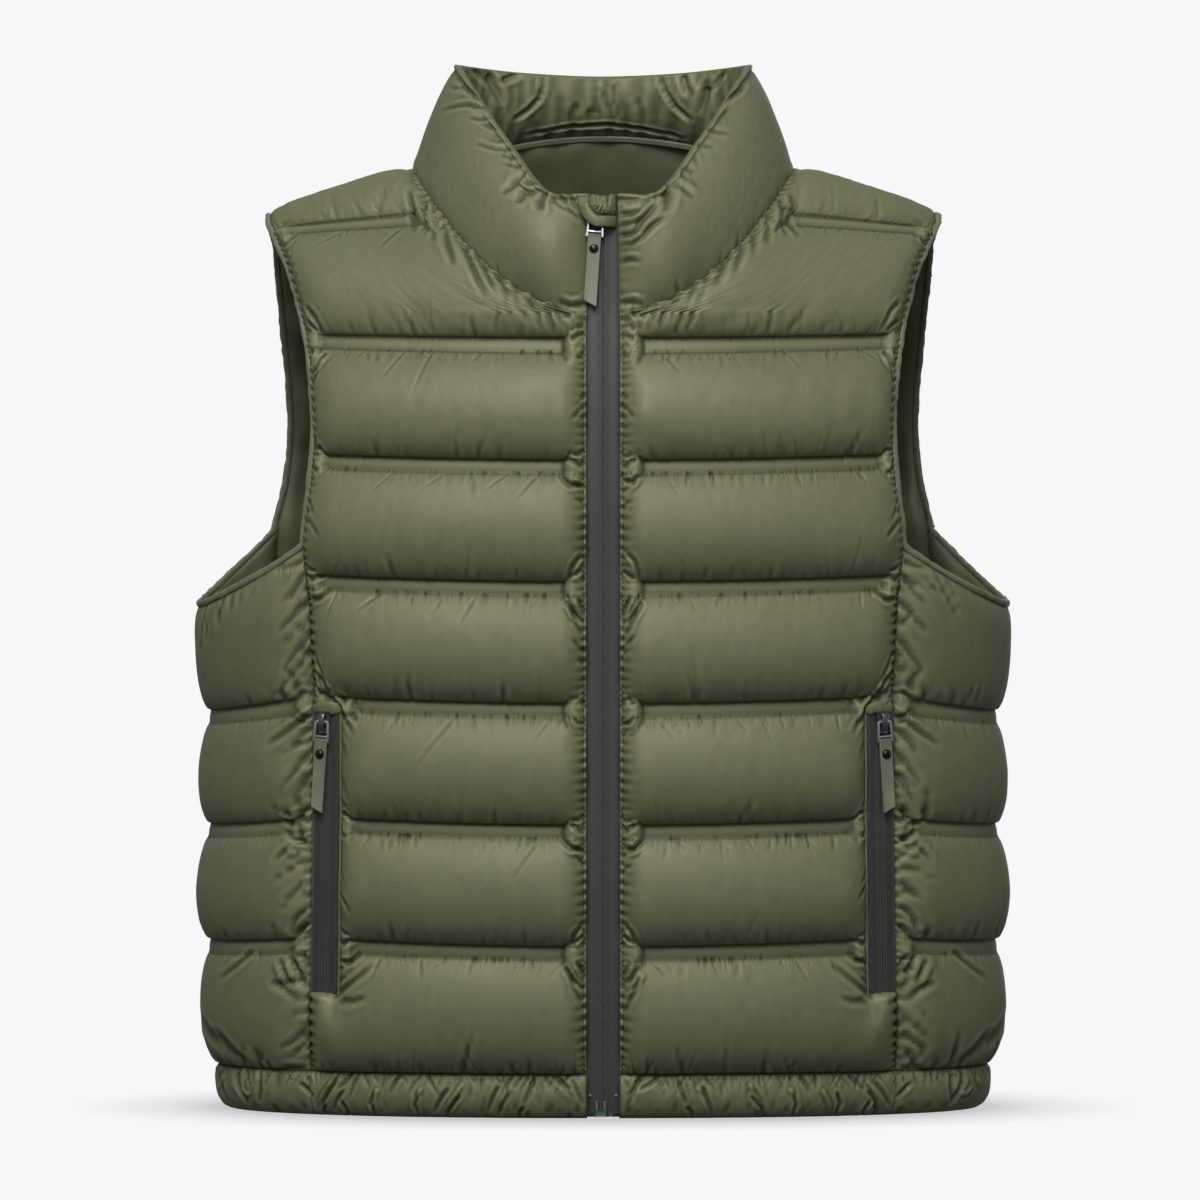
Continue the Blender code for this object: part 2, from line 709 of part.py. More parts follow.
def pull_tab(name, slant):
    """The flat tab, with its lower edge cut at a slant."""
    low, high = -TAB_BOTTOM - slant / 2, -TAB_BOTTOM + slant / 2
    outline = [(-TAB_HALF, low), (TAB_HALF, high), (TAB_HALF, -TAB_TOP), (-TAB_HALF, -TAB_TOP)]
    half = TAB_THICKNESS / 2
    points = [(x, y, z) for y in (-half, half) for x, z in outline]
    sides = [(k, (k + 1) % 4, (k + 1) % 4 + 4, k + 4) for k in range(4)]
    return closed_mesh(name, points, [(3, 2, 1, 0), (4, 5, 6, 7), *sides])


def rivet(name):
    """A domed rivet head on the tab's outer face."""
    shape = bmesh.new()
    rise = [
        (RIVET_RADIUS * math.cos(a), RIVET_RISE * math.sin(a))
        for a in np.linspace(0, math.pi / 2, 4)
    ]
    face = -TAB_THICKNESS / 2 - SEAM_GAP
    profile = [shape.verts.new((0, face, 0))]
    profile += [shape.verts.new((r if r > 1e-9 else 0, face - up, 0)) for r, up in rise]
    edges = [shape.edges.new(pair) for pair in zip(profile, profile[1:])]
    bmesh.ops.spin(
        shape, geom=profile + edges, cent=(0, 0, 0), axis=(0, 1, 0), angle=math.tau, steps=12
    )
    bmesh.ops.remove_doubles(shape, verts=shape.verts, dist=1e-5)
    bmesh.ops.recalc_face_normals(shape, faces=shape.faces)
    bmesh.ops.translate(shape, verts=shape.verts, vec=(0, 0, -RIVET_DROP))
    mesh = bpy.data.meshes.new(name)
    shape.to_mesh(mesh)
    shape.free()
    mesh.shade_smooth()
    return mesh


def slider(name, finish, at):
    """The slider's plate on the tape, and the crown that the pull's hinge bar runs under."""
    shape = bmesh.new()
    back = HINGE_LIFT - SEAM_GAP
    front = back - PLATE_THICKNESS
    box(shape, (-PLATE_HALF, front, PLATE_BOTTOM), (PLATE_HALF, back, PLATE_TOP))
    mesh = bpy.data.meshes.new(name)
    shape.to_mesh(mesh)
    shape.free()
    body = add_object(name, mesh, finish, at)
    sunk = -front - PLATE_THICKNESS / 4
    depths = (sunk, CROWN_RISE - CROWN_THICKNESS, CROWN_RISE)
    zs = (CROWN_BOTTOM, CROWN_BOTTOM + CROWN_LEG, CROWN_TOP - CROWN_LEG, CROWN_TOP)
    cells = [(0, 0), (0, 2), (1, 0), (1, 1), (1, 2)]
    crown = cell_plate(f"{name}_crown", depths, zs, cells, -CROWN_HALF, CROWN_HALF)
    crown.transform(Matrix.Rotation(math.radians(-90), 4, "Z"))
    helper = add_object(f"{name}_crown", crown, finish, at)
    helper.hide_render = True
    helper.display_type = "WIRE"
    union = body.modifiers.new("crown", "BOOLEAN")
    union.operation = "UNION"
    union.object = helper


def zip_frame(x, height, lift):
    """The frame on the tape at x and height: X across, Z up the tape, -Y out, lifted out."""

    def at(a, b):
        if abs(x) < ZIP_HALF:
            return np.array([a, centre_front(b), b])
        return body_point(a, b, -1)

    across = Vector(at(x + 0.001, height) - at(x - 0.001, height)).normalized()
    up = Vector(at(x, height + 0.008) - at(x, height - 0.008)).normalized()
    inward = up.cross(across).normalized()
    across = inward.cross(up)
    origin = Vector(place(at(x, height))) - inward * lift
    frame = Matrix((across, inward, up)).transposed().to_4x4()
    return Matrix.Translation(origin) @ frame


def zip_hardware(name, at, skew, shift, metal, rubber, black):
    """A slider, and the pull that hangs from it a little out of line, as one hinged body."""
    slider(f"{name}_slider", metal, at)
    hang = at @ Matrix.Translation((shift, 0, 0)) @ Matrix.Rotation(skew, 4, "Y")
    slant = math.copysign(TAB_SLANT, -skew)
    add_object(f"{name}_pull_frame", pull_frame(f"{name}_pull_frame"), metal, hang)
    add_object(f"{name}_pull_tab", pull_tab(f"{name}_pull_tab", slant), rubber, hang)
    add_object(f"{name}_pull_rivet", rivet(f"{name}_pull_rivet"), black, hang)


def zip_box(finish):
    """The box and pin at the foot of the front zip."""
    inner = BOX_HALF - BOX_PRONG
    xs = [BOX_X + x for x in (-BOX_HALF, -inner, inner, BOX_HALF)]
    zs = (ZIP_BOTTOM, BOX_HEIGHT, BOX_PRONG_TOP)
    back = float(centre_front(BOX_PRONG_TOP)) + TAPE_RECESS - SEAM_GAP
    cells = [(0, 0), (1, 0), (2, 0), (0, 1), (2, 1)]
    mesh = cell_plate("front_zip_box", xs, zs, cells, back - BOX_THICKNESS, back)
    mesh.transform(Matrix.Translation(place(np.zeros(3))))
    add_object("front_zip_box", mesh, finish)


def zip_garage(finish):
    """The rounded cloth guard over the top of the front zip: its wearer's-right and lower
    edges are a quarter of a squared ellipse, and it stands off to clear the slider."""
    height = np.linspace(GARAGE_TOP, GARAGE_BOTTOM + GARAGE_FLAT, 9)
    drop = (GARAGE_TOP - height) / (GARAGE_TOP - GARAGE_BOTTOM)
    across = (1 - drop**GARAGE_ROUNDNESS) ** (1 / GARAGE_ROUNDNESS)
    start = GARAGE_RIGHT + (GARAGE_LEFT - GARAGE_RIGHT) * across
    share, start = np.meshgrid(np.linspace(0, 1, 9), start)
    x = start + (GARAGE_RIGHT - start) * share
    height = np.broadcast_to(height[:, None], x.shape)
    stand = smooth(x, column(GARAGE, 0), column(GARAGE, 1))
    closing = (height - GARAGE_CLOSES_FROM) / (GARAGE_TOP - GARAGE_CLOSES_FROM)
    stand = stand + (GARAGE_HEM - stand) * np.clip(closing, 0, 1)
    inner = np.stack([x, centre_front(height) + TAPE_RECESS - stand, height], axis=-1)
    outer = inner - np.array([0, GARAGE_CLOTH, 0])
    wall("zip_garage", outer, inner, finish, (1, 1))


def zips(cloth, tape, metal, rubber, black, green):
    front_zip(tape)
    pocket_zips(tape)
    at = zip_frame(FRONT_SLIDER_X, FRONT_HINGE_HEIGHT, HINGE_LIFT - TAPE_RECESS)
    zip_hardware("front", at, PULL_SKEW, FRONT_PULL_SHIFT, metal, rubber, black)
    lift = HINGE_LIFT + TAPE + TAPE_CLEAR
    x = float(front_edge(POCKET_HINGE_HEIGHT)) - POCKET_ZIP_WIDTH / 2
    for side, sign in (("left", 1), ("right", -1)):
        at = zip_frame(sign * x, POCKET_HINGE_HEIGHT, lift)
        zip_hardware(f"pocket_{side}", at, -sign * PULL_SKEW, 0, metal, rubber, black)
    zip_box(green)
    zip_garage(cloth)


def tube(name, points, finish, closed=False):
    """A fabric-covered edge: a round tube along the points."""
    curve = bpy.data.curves.new(name, "CURVE")
    curve.dimensions = "3D"
    curve.bevel_depth = BINDING_RADIUS
    curve.bevel_resolution = 1
    curve.use_fill_caps = True
    spline = curve.splines.new("POLY")
    spline.points.add(len(points) - 1)
    for target, p in zip(spline.points, place(points)):
        target.co = (*p, 1)
    spline.use_cyclic_u = closed
    add_object(name, curve, finish)


def resample(points, count):
    """Points evenly spaced along a line."""
    along = arc_length(points)
    at = np.linspace(0, along[-1], count)
    return np.stack([np.interp(at, along, points[:, k]) for k in range(3)], axis=1)


def armhole_edge():
    """The armhole's edge, mid-way through the wall, and at each point the way clear of the cloth:
    up the front, over the shoulder, down the back and under the arm."""
    found = []
    for grid, lowest, order in (
        (front_grid(), ARMHOLE_MEETS_FRONT_SEAM, 1),
        (back_grid(), ARMHOLE_MEETS_BACK_SEAM, -1),
    ):
        edge, inside, normal = grid[0][:, -1], grid[0][:, -2], grid[1][:, -1]
        part = edge[:, 2] > lowest + 0.003
        found.append(np.stack([edge - normal * STITCHED / 2, edge - inside], 1)[part][::order])
    base, normal, _ = side_grid()
    edge = base[-1, ::-1] - normal[-1, ::-1] * STITCHED / 2
    found.append(np.stack([edge, base[-1, ::-1] - base[-2, ::-1]], 1))
    line, clear = np.concatenate(found).transpose(1, 0, 2)
    for _ in range(3):
        clear /= np.linalg.norm(clear, axis=1, keepdims=True)
        clear += (np.roll(clear, 1, axis=0) + np.roll(clear, -1, axis=0)) / 2
    return line, clear / np.linalg.norm(clear, axis=1, keepdims=True)


def bindings(finish):
    """The bound edge round each armhole, and the tape over the inner back neck seam."""
    line, clear = armhole_edge()
    line = line + clear * (BINDING_RADIUS + 2 * SEAM_GAP)
    tube("armhole_binding_left", line, finish, closed=True)
    tube("armhole_binding_right", mirrored(line), finish, closed=True)
    seam, normal, _ = collar_surface((0.0,))
    behind = seam[0, :, 1] > NECK_TAPE_FROM
    inward = STITCHED + BINDING_RADIUS + NECK_TAPE_CLEAR
    tape = seam[0][behind] - normal[0][behind] * inward
    tube("neck_tape", resample(tape, NECK_TAPE_POINTS), finish)


def build():
    for obj in list(bpy.data.objects):
        bpy.data.objects.remove(obj)
    shell = material("shell_cloth", OLIVE, 0.45)
    lining = material("lining_cloth", LINING, 0.55)
    tape = material("zip_tape", TAPE_GREY, 0.7)
    metal = material("zip_metal", METAL, 0.35, 1.0)
    rubber = material("pull_tab", RUBBER, 0.6)
    black = material("rivet", BLACK, 0.25, 0.6)
    green = material("zip_box", BOX_GREEN, 0.5)
    front, side, back = front_grid(), side_grid(), back_grid()
    panel("front_left", front, shell, (3, 2))
    panel("front_right", front, shell, (3, 2), mirror=True)
    panel("side_left", side, shell, (3, 1))
    panel("side_right", side, shell, (3, 1), mirror=True)
    panel("back", back, shell, (3, 2))
    collar(shell)
    hem_pieces(shell)
    zips(shell, tape, metal, rubber, black, green)
    bindings(lining)


build()
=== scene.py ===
"""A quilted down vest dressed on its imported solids: settled cloth, sewing, zips and a stage.

Metres, +Z up. The front faces -Y and +X points to the wearer's left. The origin is midway
between the two shoulder-neck points. Heights in the pattern tables are measured up from the
hem's lower edge and moved down by place().
"""

import json
import math
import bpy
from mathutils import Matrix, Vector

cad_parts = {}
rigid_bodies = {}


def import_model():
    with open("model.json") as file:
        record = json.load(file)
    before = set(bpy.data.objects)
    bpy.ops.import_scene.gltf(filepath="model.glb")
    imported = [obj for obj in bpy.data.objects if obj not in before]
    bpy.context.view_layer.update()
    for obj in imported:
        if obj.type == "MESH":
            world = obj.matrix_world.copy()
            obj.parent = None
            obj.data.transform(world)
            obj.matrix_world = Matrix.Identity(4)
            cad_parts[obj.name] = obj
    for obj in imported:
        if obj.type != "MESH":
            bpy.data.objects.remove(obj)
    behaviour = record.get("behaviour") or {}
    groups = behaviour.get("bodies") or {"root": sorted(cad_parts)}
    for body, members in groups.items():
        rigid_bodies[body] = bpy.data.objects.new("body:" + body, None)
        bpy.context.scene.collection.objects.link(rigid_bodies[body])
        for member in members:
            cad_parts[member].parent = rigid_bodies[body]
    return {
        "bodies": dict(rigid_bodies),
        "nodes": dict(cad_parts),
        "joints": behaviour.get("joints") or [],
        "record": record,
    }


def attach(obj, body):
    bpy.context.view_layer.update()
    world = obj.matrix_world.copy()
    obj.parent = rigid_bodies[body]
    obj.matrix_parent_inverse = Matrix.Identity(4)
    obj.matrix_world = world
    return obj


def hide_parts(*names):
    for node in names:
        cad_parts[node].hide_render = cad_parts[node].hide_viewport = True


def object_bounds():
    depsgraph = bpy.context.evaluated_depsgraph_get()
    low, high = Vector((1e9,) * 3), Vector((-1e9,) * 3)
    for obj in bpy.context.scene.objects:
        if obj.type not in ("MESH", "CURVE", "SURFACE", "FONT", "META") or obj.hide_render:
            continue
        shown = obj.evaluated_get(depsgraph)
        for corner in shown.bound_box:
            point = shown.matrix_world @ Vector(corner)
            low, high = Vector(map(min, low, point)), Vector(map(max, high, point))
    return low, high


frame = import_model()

from types import SimpleNamespace

import bmesh
import bpy
import numpy as np
from mathutils import Matrix, Vector

CAD_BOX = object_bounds()

bl_info = {
    "name": "Quilted vest",
    "version": (1, 0, 0),
    "blender": (4, 5, 0),
    "location": "3D View > Sidebar > Vest",
    "description": "Sews a quilted down vest over its packed solids",
    "category": "Object",
}

# Heights above the hem's lower edge
NECK_POINT = 0.580
SHOULDER_TIP = 0.555
SHOULDER_ROUNDS_FROM = 0.400
HEM_BAND = 0.027
CHANNEL = 0.0732
LEVEL_LINES = 6
TOP_LEVEL = 8
SIDE_LEVELS = 4
YOKE_AT_NECK = 0.5460
YOKE_AT_TIP = 0.5415
FRONT_NECK = 0.4855
BACK_NECK = 0.608
COLLAR_FRONT_TOP = 0.5565
UNDERARM = 0.309
ARMHOLE_MEETS_FRONT_SEAM = 0.345
ARMHOLE_MEETS_BACK_SEAM = 0.356
POCKET_LEVELS = (0.606, 2.995)

# Widths from the centre line
NECK_HALF = 0.118
TIP_HALF = 0.2065
ZIP_HALF = 0.0097
ZIP_TOP_HALF = 0.0083
POCKET_ZIP_WIDTH = 0.0155
POCKET_SHARE = 0.905

# Cloth and down
STITCHED = 0.003
SEAM_GAP = 0.0003
COLLAR_CLEAR = -0.0016
QUILT_BAND = 0.0086
HALF_BAND = QUILT_BAND / CHANNEL / 2
YOKE_FULLNESS = 0.72
COLLAR_END_FALL = 0.030
COLLAR_END_FLAT = 0.0025
EDGE_FALL = 0.022
ZIP_FALL = 0.017

# The body surface
BODY_SQUARENESS = 2.25
SHOULDER_SEAM_Y = 0.012
SHOULDER_DROP = (NECK_POINT - SHOULDER_TIP) / (TIP_HALF - NECK_HALF)
NECK_RISE = 0.080
NECKLINE_CURVE = 2.1
ARMHOLE_SCOOP = 2.2
# The zips, in each slider's own frame: the origin is on the pull's hinge, -Y faces out
HINGE_LIFT = 0.0040
TAPE = 0.0012
TAPE_CLEAR = 0.0005
TAPE_RECESS = 0.0008
PLATE_THICKNESS = 0.0024
PLATE_HALF = 0.0046
PLATE_TOP = 0.0060
PLATE_BOTTOM = -0.0072
CROWN_HALF = 0.0016
CROWN_TOP = 0.0055
CROWN_BOTTOM = -0.0063
CROWN_LEG = 0.0012
CROWN_RISE = 0.0022
PULL_SKEW = math.radians(3.8)
PULL_HALF = 0.00565
PULL_THICKNESS = 0.0014
CROSSBAR_DROP = 0.0086
CROSSBAR = 0.0012
LEGS_DROP = 0.0126
TAB_TOP = 0.0106
TAB_BOTTOM = 0.0538
TAB_SLANT = 0.0036
TAB_HALF = 0.0040
TAB_THICKNESS = 0.0018
RIVET_DROP = 0.0198
RIVET_RADIUS = 0.0029
RIVET_RISE = 0.0016
FRONT_HINGE_HEIGHT = 0.5450
FRONT_SLIDER_X = -0.0024
FRONT_PULL_SHIFT = -0.0020
POCKET_HINGE_HEIGHT = 0.2400
ZIP_BOTTOM = 0.0012
FRONT_TAPE_TOP = 0.5540
BOX_X = -0.0015
BOX_HALF = 0.0038
BOX_PRONG = 0.0022
BOX_HEIGHT = 0.0056
BOX_PRONG_TOP = 0.0109
BOX_THICKNESS = 0.0024
GARAGE_LEFT = -0.0157
GARAGE_RIGHT = 0.0079
GARAGE_TOP = 0.5595
GARAGE_BOTTOM = 0.5376
GARAGE_CLOSES_FROM = 0.5525
GARAGE_HEM = 0.0016
GARAGE_CLOTH = 0.0011
GARAGE_ROUNDNESS = 2.6
GARAGE_FLAT = 0.0014
# distance from the centre line, how far the garage stands off the tape there
GARAGE = (
    (GARAGE_LEFT, 0.0052),
    (-0.0100, 0.0082),
    (-0.0020, 0.0090),
    (0.0035, 0.0066),
    (GARAGE_RIGHT, 0.0006),
)
BINDING_RADIUS = 0.0015
NECK_TAPE_FROM = 0.030
NECK_TAPE_CLEAR = 0.0012

# height, half width, depth in front, depth behind
BODY = (
    (0.000, 0.2330, 0.1160, 0.1120),
    (0.027, 0.2380, 0.1200, 0.1150),
    (0.100, 0.2432, 0.1270, 0.1170),
    (0.250, 0.2434, 0.1310, 0.1190),
    (0.285, 0.2455, 0.1312, 0.1200),
    (0.315, 0.2525, 0.1310, 0.1210),
    (0.390, 0.2410, 0.1295, 0.1240),
    (0.470, 0.2310, 0.1220, 0.1250),
    (0.550, 0.2220, 0.1120, 0.1220),
    (0.700, 0.2150, 0.1000, 0.1120),
)
# height, distance of the front panel's outer edge from the centre: seam, then armhole
FRONT_EDGE = (
    (0.000, 0.1780),
    (0.073, 0.1770),
    (0.160, 0.1757),
    (0.245, 0.1755),
    (0.300, 0.1770),
    (0.345, 0.1815),
    (0.385, 0.1775),
    (0.421, 0.1757),
    (0.470, 0.1806),
    (0.513, 0.1910),
    (0.548, 0.2065),
    (0.560, 0.2110),
)
# height, distance of the back panel's outer edge from the centre: seam, then armhole
BACK_EDGE = (
    (0.000, 0.1920),
    (0.200, 0.1970),
    (0.300, 0.2030),
    (0.356, 0.2070),
    (0.388, 0.1995),
    (0.425, 0.1965),
    (0.470, 0.1995),
    (0.513, 0.2030),
    (0.548, 0.2065),
    (0.560, 0.2110),
)
# in front or behind, distance along the neck seam from the centre line, then the
# collar's top edge above that point: distance from the centre line, depth, height, and
# how far the down lifts the collar's outside there
COLLAR = (
    ("front", ZIP_HALF, ZIP_TOP_HALF + SEAM_GAP / 2, -0.1030, COLLAR_FRONT_TOP, 0.0125),
    ("front", 0.036, 0.0340, -0.1000, 0.5600, 0.0125),
    ("front", 0.062, 0.0600, -0.0660, 0.5960, 0.0120),
    ("front", 0.090, 0.0800, -0.0320, 0.6280, 0.0070),
    ("front", 0.111, 0.0895, -0.0060, 0.6430, 0.0025),
    ("back", 0.1175, 0.0900, 0.0200, 0.6465, 0.0015),
    ("back", 0.098, 0.0780, 0.0440, 0.6465, 0.0050),
    ("back", 0.052, 0.0450, 0.0600, 0.6440, 0.0090),
    ("back", 0.000, 0.0000, 0.0660, 0.6425, 0.0105),
)

# level, how far the side panel's quilt line dips between its seams
SIDE_DIP = ((0, 0.0), (1, 0.0003), (2, 0.0020), (3, 0.0052), (4, 0.0))

# how far the quilt lines rise from the centre to the side seams
LINE_RISE = 0.0045

CLEAR_OF_BAND = 1e-4
# how far up a channel the down hangs lowest over the line below it, and where that is over
HANG_FROM = 0.07
HANG_REACH = 0.20
UPPER_ROUNDNESS = 0.92
BAND_LEAN = 0.0017
STITCH_DIP = 0.0006
# a folded edge beside a zip, and the line of top-stitching that holds it
RIM_LIFT = 0.0018
RIM_AT = 0.0007
RIM_HALF = 0.0006
RIM_STITCH = 0.0021
RIM_VALLEY = 0.0006
VEST = "vest"

# Shade painted into the cloth's colour in its creases, at its seams, on its lining and in its puckers'
# pits, light painted on its ridges, and the fine puckers of its bump
RELIEF_STEPS = (3, 14)
RELIEF_DEPTHS = (0.00030, 0.00130)
SEAM_SHADE = 0.0013
LINING_SHADE = -0.42
PAINTED_SHADE_AND_LIGHT = (0.46, 1.54)
PUCKER_DEPTH = 0.0012
PUCKERS = ((300, 60), (60, 190))
PUCKER_EDGE = (0.53, 0.76)
PATCH_EDGE = (0.36, 0.64)
PATCH_WEIGHTS = (0.15, 1.5)
PIT_DEPTHS = (-0.9, -0.25)
PAINTED_PIT_SHADE = (0.55, 1.0)

# Weaves: a wave texture runs through so many waves in a unit at a scale of 2 pi
TWILL_PITCH = 0.0007
WAVES_A_UNIT = 20
TWILL_TURN = math.radians(4)
TWILL_DEPTH = 0.0001
SLUB_SHARE = 0.35
GRAIN_SHARE = 0.18
WEAVE_STRENGTH = 0.10
WEAVE_DEPTH = 0.00005

# Panels, collar and hem
FRONT_WIDTH = 0.168
SIDE_WIDTH = 0.205
COLLAR_POINTS = 0.0030
COLLAR_RIM = 0.0013
COLLAR_SEAM = 0.0012
COLLAR_CLOSE = 0.45
HEM_PUFF = 0.0042
HEM_PARTING = -0.0030
LAID_DEPTH = 1.25
COLLAR_LINING_PUFF = 0.007
# fullness along and up the cloth, and the filling's push
COLLAR_OUTSIDE = ((0.008, 0.004), 4e-6)
COLLAR_INSIDE = ((0.004, 0.002), 2.5e-6)
HEM_SETTLING = ((0.01, 0.0), 2e-6)
# Settling: push, weight and resistance to bending of the first pass and the second
COARSE_PASS = (4e-6, 1.6e-6, 0.12)
FINE_PASS = (8e-7, 3e-7, 0.08)
# share of the first pass's fullness that the second one keeps
FINE_FULLNESS = 0.12
DAMPING = 0.88
SLACK = 0.001
BAND_PRESS = 0.05
CLOTH_FLOOR = 0.0006
PATCHINESS = 0.45
# the start: a share of the full lift, with a ripple over so many rows and columns
START_LIFT = 0.8
RIPPLE = 0.00016
RIPPLE_SPREAD = (1.6, 1.3)
FINE_RIPPLE = 0.00005
FINE_RIPPLE_SPREAD = (1.5, 1.2)
# the same for faces without channels: the collar and the hem casing
FACE_LIFT = 0.85
FACE_RIPPLE = 0.0002
FACE_EDGE = 0.012
FACE_SLACK = 0.002
FACE_FLOOR = 0.0012
FACE_BEND = 0.03
FACE_FINE_BEND = 0.04
# how full the cloth is between a stitched line's end and the seam, and that end's fade
LOOSE_PUFF = 0.42
END_FADE = 0.004
SEAM_DIVE = 0.0028
# Laid folds: their reach in half widths, the lip beside each groove, how soon they start,
# and how far from a seam and from the side they fade
FOLD_REACH = 3.4
LIP = 0.32
LIP_AT = 1.9
LIP_WIDTH = 0.75
FOLD_START = 0.35
LAID_CLEAR = 0.0035
LAID_FADE = 0.040
# rows of the grid across a channel and across a stitched band, its columns, and where the
# stitched lines stop short of either seam
FRONT_ROWS = (28, 4)
FRONT_COLUMNS = 80
FRONT_ENDS = (0.0125, 0.0085)
BACK_ROWS = (15, 2)
BACK_COLUMNS = 111
BACK_ENDS = (0.0100, 0.0100)
SIDE_ROWS = (24, 4)
SIDE_COLUMNS = 64
SIDE_ENDS = (0.0110, 0.0110)
# a front's columns beside the zip, counted in steps of the rim's width
RIM_COLUMNS = (0, 1, 2, 3, 4.2, 5.8, 7.6, 9.5, 11.5, 13.5, 15.6, 18, 20.6, 23.6)
COLLAR_COLUMNS = 201
HEM_ROWS = 13
# Stitches: length, gap and radius
QUILT_STITCH = (0.0018, 0.0014, 0.0002)
BACK_QUILT_STITCH = (0.0026, 0.0018, 0.0002)
EDGE_STITCH = (0.0021, 0.0010, 0.00030)
HEM_STITCH = (0.0024, 0.0012, 0.00026)
COLLAR_STITCH = (0.0024, 0.0014, 0.0002)
GARAGE_STITCH = (0.0013, 0.0006, 0.00022)
STITCH_SINK = 0.25
# top-stitching: the level it ends at, its column beside the zip and its row up the collar
TOP_STITCH_TO = 5.9
TOP_STITCH_COLUMN = 6
TOP_STITCH_ROW = 30

# The zips' coils and chain stitching
COIL_PROFILE = (
    (0.0, -0.0004),
    (0.0003, 0.0001),
    (0.0008, 0.00055),
    (0.0018, 0.0007),
    (0.0027, 0.0005),
    (0.0033, 0.00005),
    (0.0040, 0.0),
    (0.0120, 0.0),
)
COIL_COLUMNS = (0.0, 0.0003, 0.0008, 0.0013, 0.0018, 0.0023, 0.0028, 0.0033, 0.0040, 0.0068)
TUCKED = 0.0010
CHAIN_STITCH = (0.00105, 0.00022, 0.00027)
CHAIN_LIFT = 0.00005
# the pocket tapes' columns either side of the middle, as shares of the width
POCKET_COIL_SHARES = (0.0, 0.02, 0.06, 0.1, 0.15, 0.2, 0.27, 0.36, 0.5)

# Sliders, pulls, stops, bindings, garage and pocket hoods
# height up a slider's body, share of its full width
SLIDER_OUTLINE = ((0, 0.60), (0.2, 0.66), (0.45, 0.80), (0.65, 0.97), (0.85, 1.0), (1, 0.84))
# rounded edges, and insets as thickness and depth
SLIDER_EDGE = 0.0005
SLIDER_INSET = (0.0006, -0.0003)
BRIDGE_EDGE = 0.00028
BRIDGE_SUNK = 0.0004
LEG_EDGE = 0.00032
BAR_EDGE = 0.00025
TAB_EDGE = 0.00035
TAB_INSET = (0.00055, -0.00022)
BOX_EDGE = 0.00045
BOX_INSET = (0.0006, -0.0004)
PRONG_EDGE = 0.00042
STOP_EDGE = 0.0002
STOP_INSET = (0.0004, 0.0003)
FLANGE_EDGE = 0.0002
# the pull frame's legs draw in from this height up, over this run and by this share
WAIST_FROM = -0.0055
WAIST_RUN = 0.004
WAIST = 0.16
# a rivet's dome is this share of its flange, and stands on it
DOME_SHARE = 0.86
DOME_FOOT = 0.0003
FLANGE_THICKNESS = 0.0007
# bindings and piping: half width and half depth of a section
BINDING_SECTION = (0.0019, 0.0013)
PIPING_SECTION = (0.00115, 0.0021)
CORNER = 0.0021
WIRE = 0.0017
STOP_HEIGHT = 0.0135
GARAGE_BAND = 0.0072
BINDING_STEPS = 460
TUBE_SIDES = 16
HOOD_LEVEL = 2.953
HOOD_RISE = 0.022
HOOD_LIFT = 0.0030
HOOD_DEEP = 0.0037
HOOD_THICK = 0.0012

# Stage
BACKDROP = 0.93
AIR_ABOVE = 0.30
AIR_BELOW = 0.07
FLOOR_REACH = 14.0
SHADOW_REACH = 0.10
SHADOW = 0.62
CAMERA_X = -0.0019
CAMERA_Z = -0.2666
CAMERA_AWAY = 4.5
CAMERA_SPAN = 0.744
SENSOR = 36
# name, place, watts and size of each lamp
LAMPS = (
    ("key", (-0.3, -2.0, 1.75), 60, 1.6),
    ("front", (0.3, -3.6, 0.7), 14, 2.2),
    ("behind", (0.4, 4.2, 0.2), 16, 2.6),
)

# Short folds drawn beside the quilt lines: which list they go in, on which side of the line,
# then their spacing, length, half width, depth and lean.
FRONT_LINES = (
    ("coarse", 1, 0.0125, 0.018, 0.0021, 0.00055, -0.15),
    ("coarse", -1, 0.0115, 0.008, 0.0015, 0.00040),
    ("fine", 1, 0.0080, 0.011, 0.0013, 0.00020, -0.2),
    ("fine", -1, 0.0042, 0.0050, 0.0008, 0.00042),
    ("fine", -1, 0.0300, 0.0130, 0.0011, 0.00060, 0.6),
)
BACK_LINES = (
    ("coarse", 1, 0.0135, 0.019, 0.0024, 0.00060),
    ("coarse", -1, 0.0125, 0.009, 0.0019, 0.00045),
    ("fine", -1, 0.0045, 0.005, 0.0010, 0.00030),
)
SIDE_LINES = (
    ("coarse", 1, 0.0120, 0.020, 0.0022, 0.0008),
    ("coarse", -1, 0.0105, 0.012, 0.0019, 0.0007),
    ("fine", -1, 0.0045, 0.005, 0.0010, 0.0003),
)
# The same above the hem seam and below the neck seam or the armhole.
FRONT_HEM = (("coarse", 0.0105, 0.014, 0.0019, 0.0010), ("fine", 0.0045, 0.008, 0.0009, 0.0004))
BACK_HEM = (0.0095, 0.016, 0.0020, 0.0012)
BACK_NECK_FOLDS = (0.0100, 0.022, 0.0022, 0.0014)
SIDE_HEM = (0.0090, 0.016, 0.0020, 0.0013)
ARMHOLE_FOLDS = (0.0075, 0.016, 0.0018, 0.0014)
COLLAR_PUCKERS = ((0.0205, 0.010, 0.0018, 0.0008), (0.0085, 0.005, 0.0010, 0.0005))
LINING_PUCKERS = (0.0190, 0.012, 0.0022, 0.0012)
HEM_TOP_FOLDS = (0.0210, 0.016, 0.0014, 0.0024)
HEM_FOOT_FOLDS = (0.0260, 0.013, 0.0015, 0.0022)
HEM_FINE = (0.0075, 0.0065, 0.0009, 0.0013)
HEM_LEANS = (0.75, -0.65)
HEM_FINE_LEANS = (0.55, -0.55)
# Folds at an upright seam: how far in they reach, their half width and depth.
BACK_GATHER = (0.0120, 0.0020, 0.0016)
SIDE_GATHER = (0.013, 0.0018, 0.0011)
# Folds that fan from a seam: spacing, length, half width, depth, spread and lean.
SIDE_FAN = (0.0155, 0.018, 0.0019, 0.0013, 0.5, -0.6)
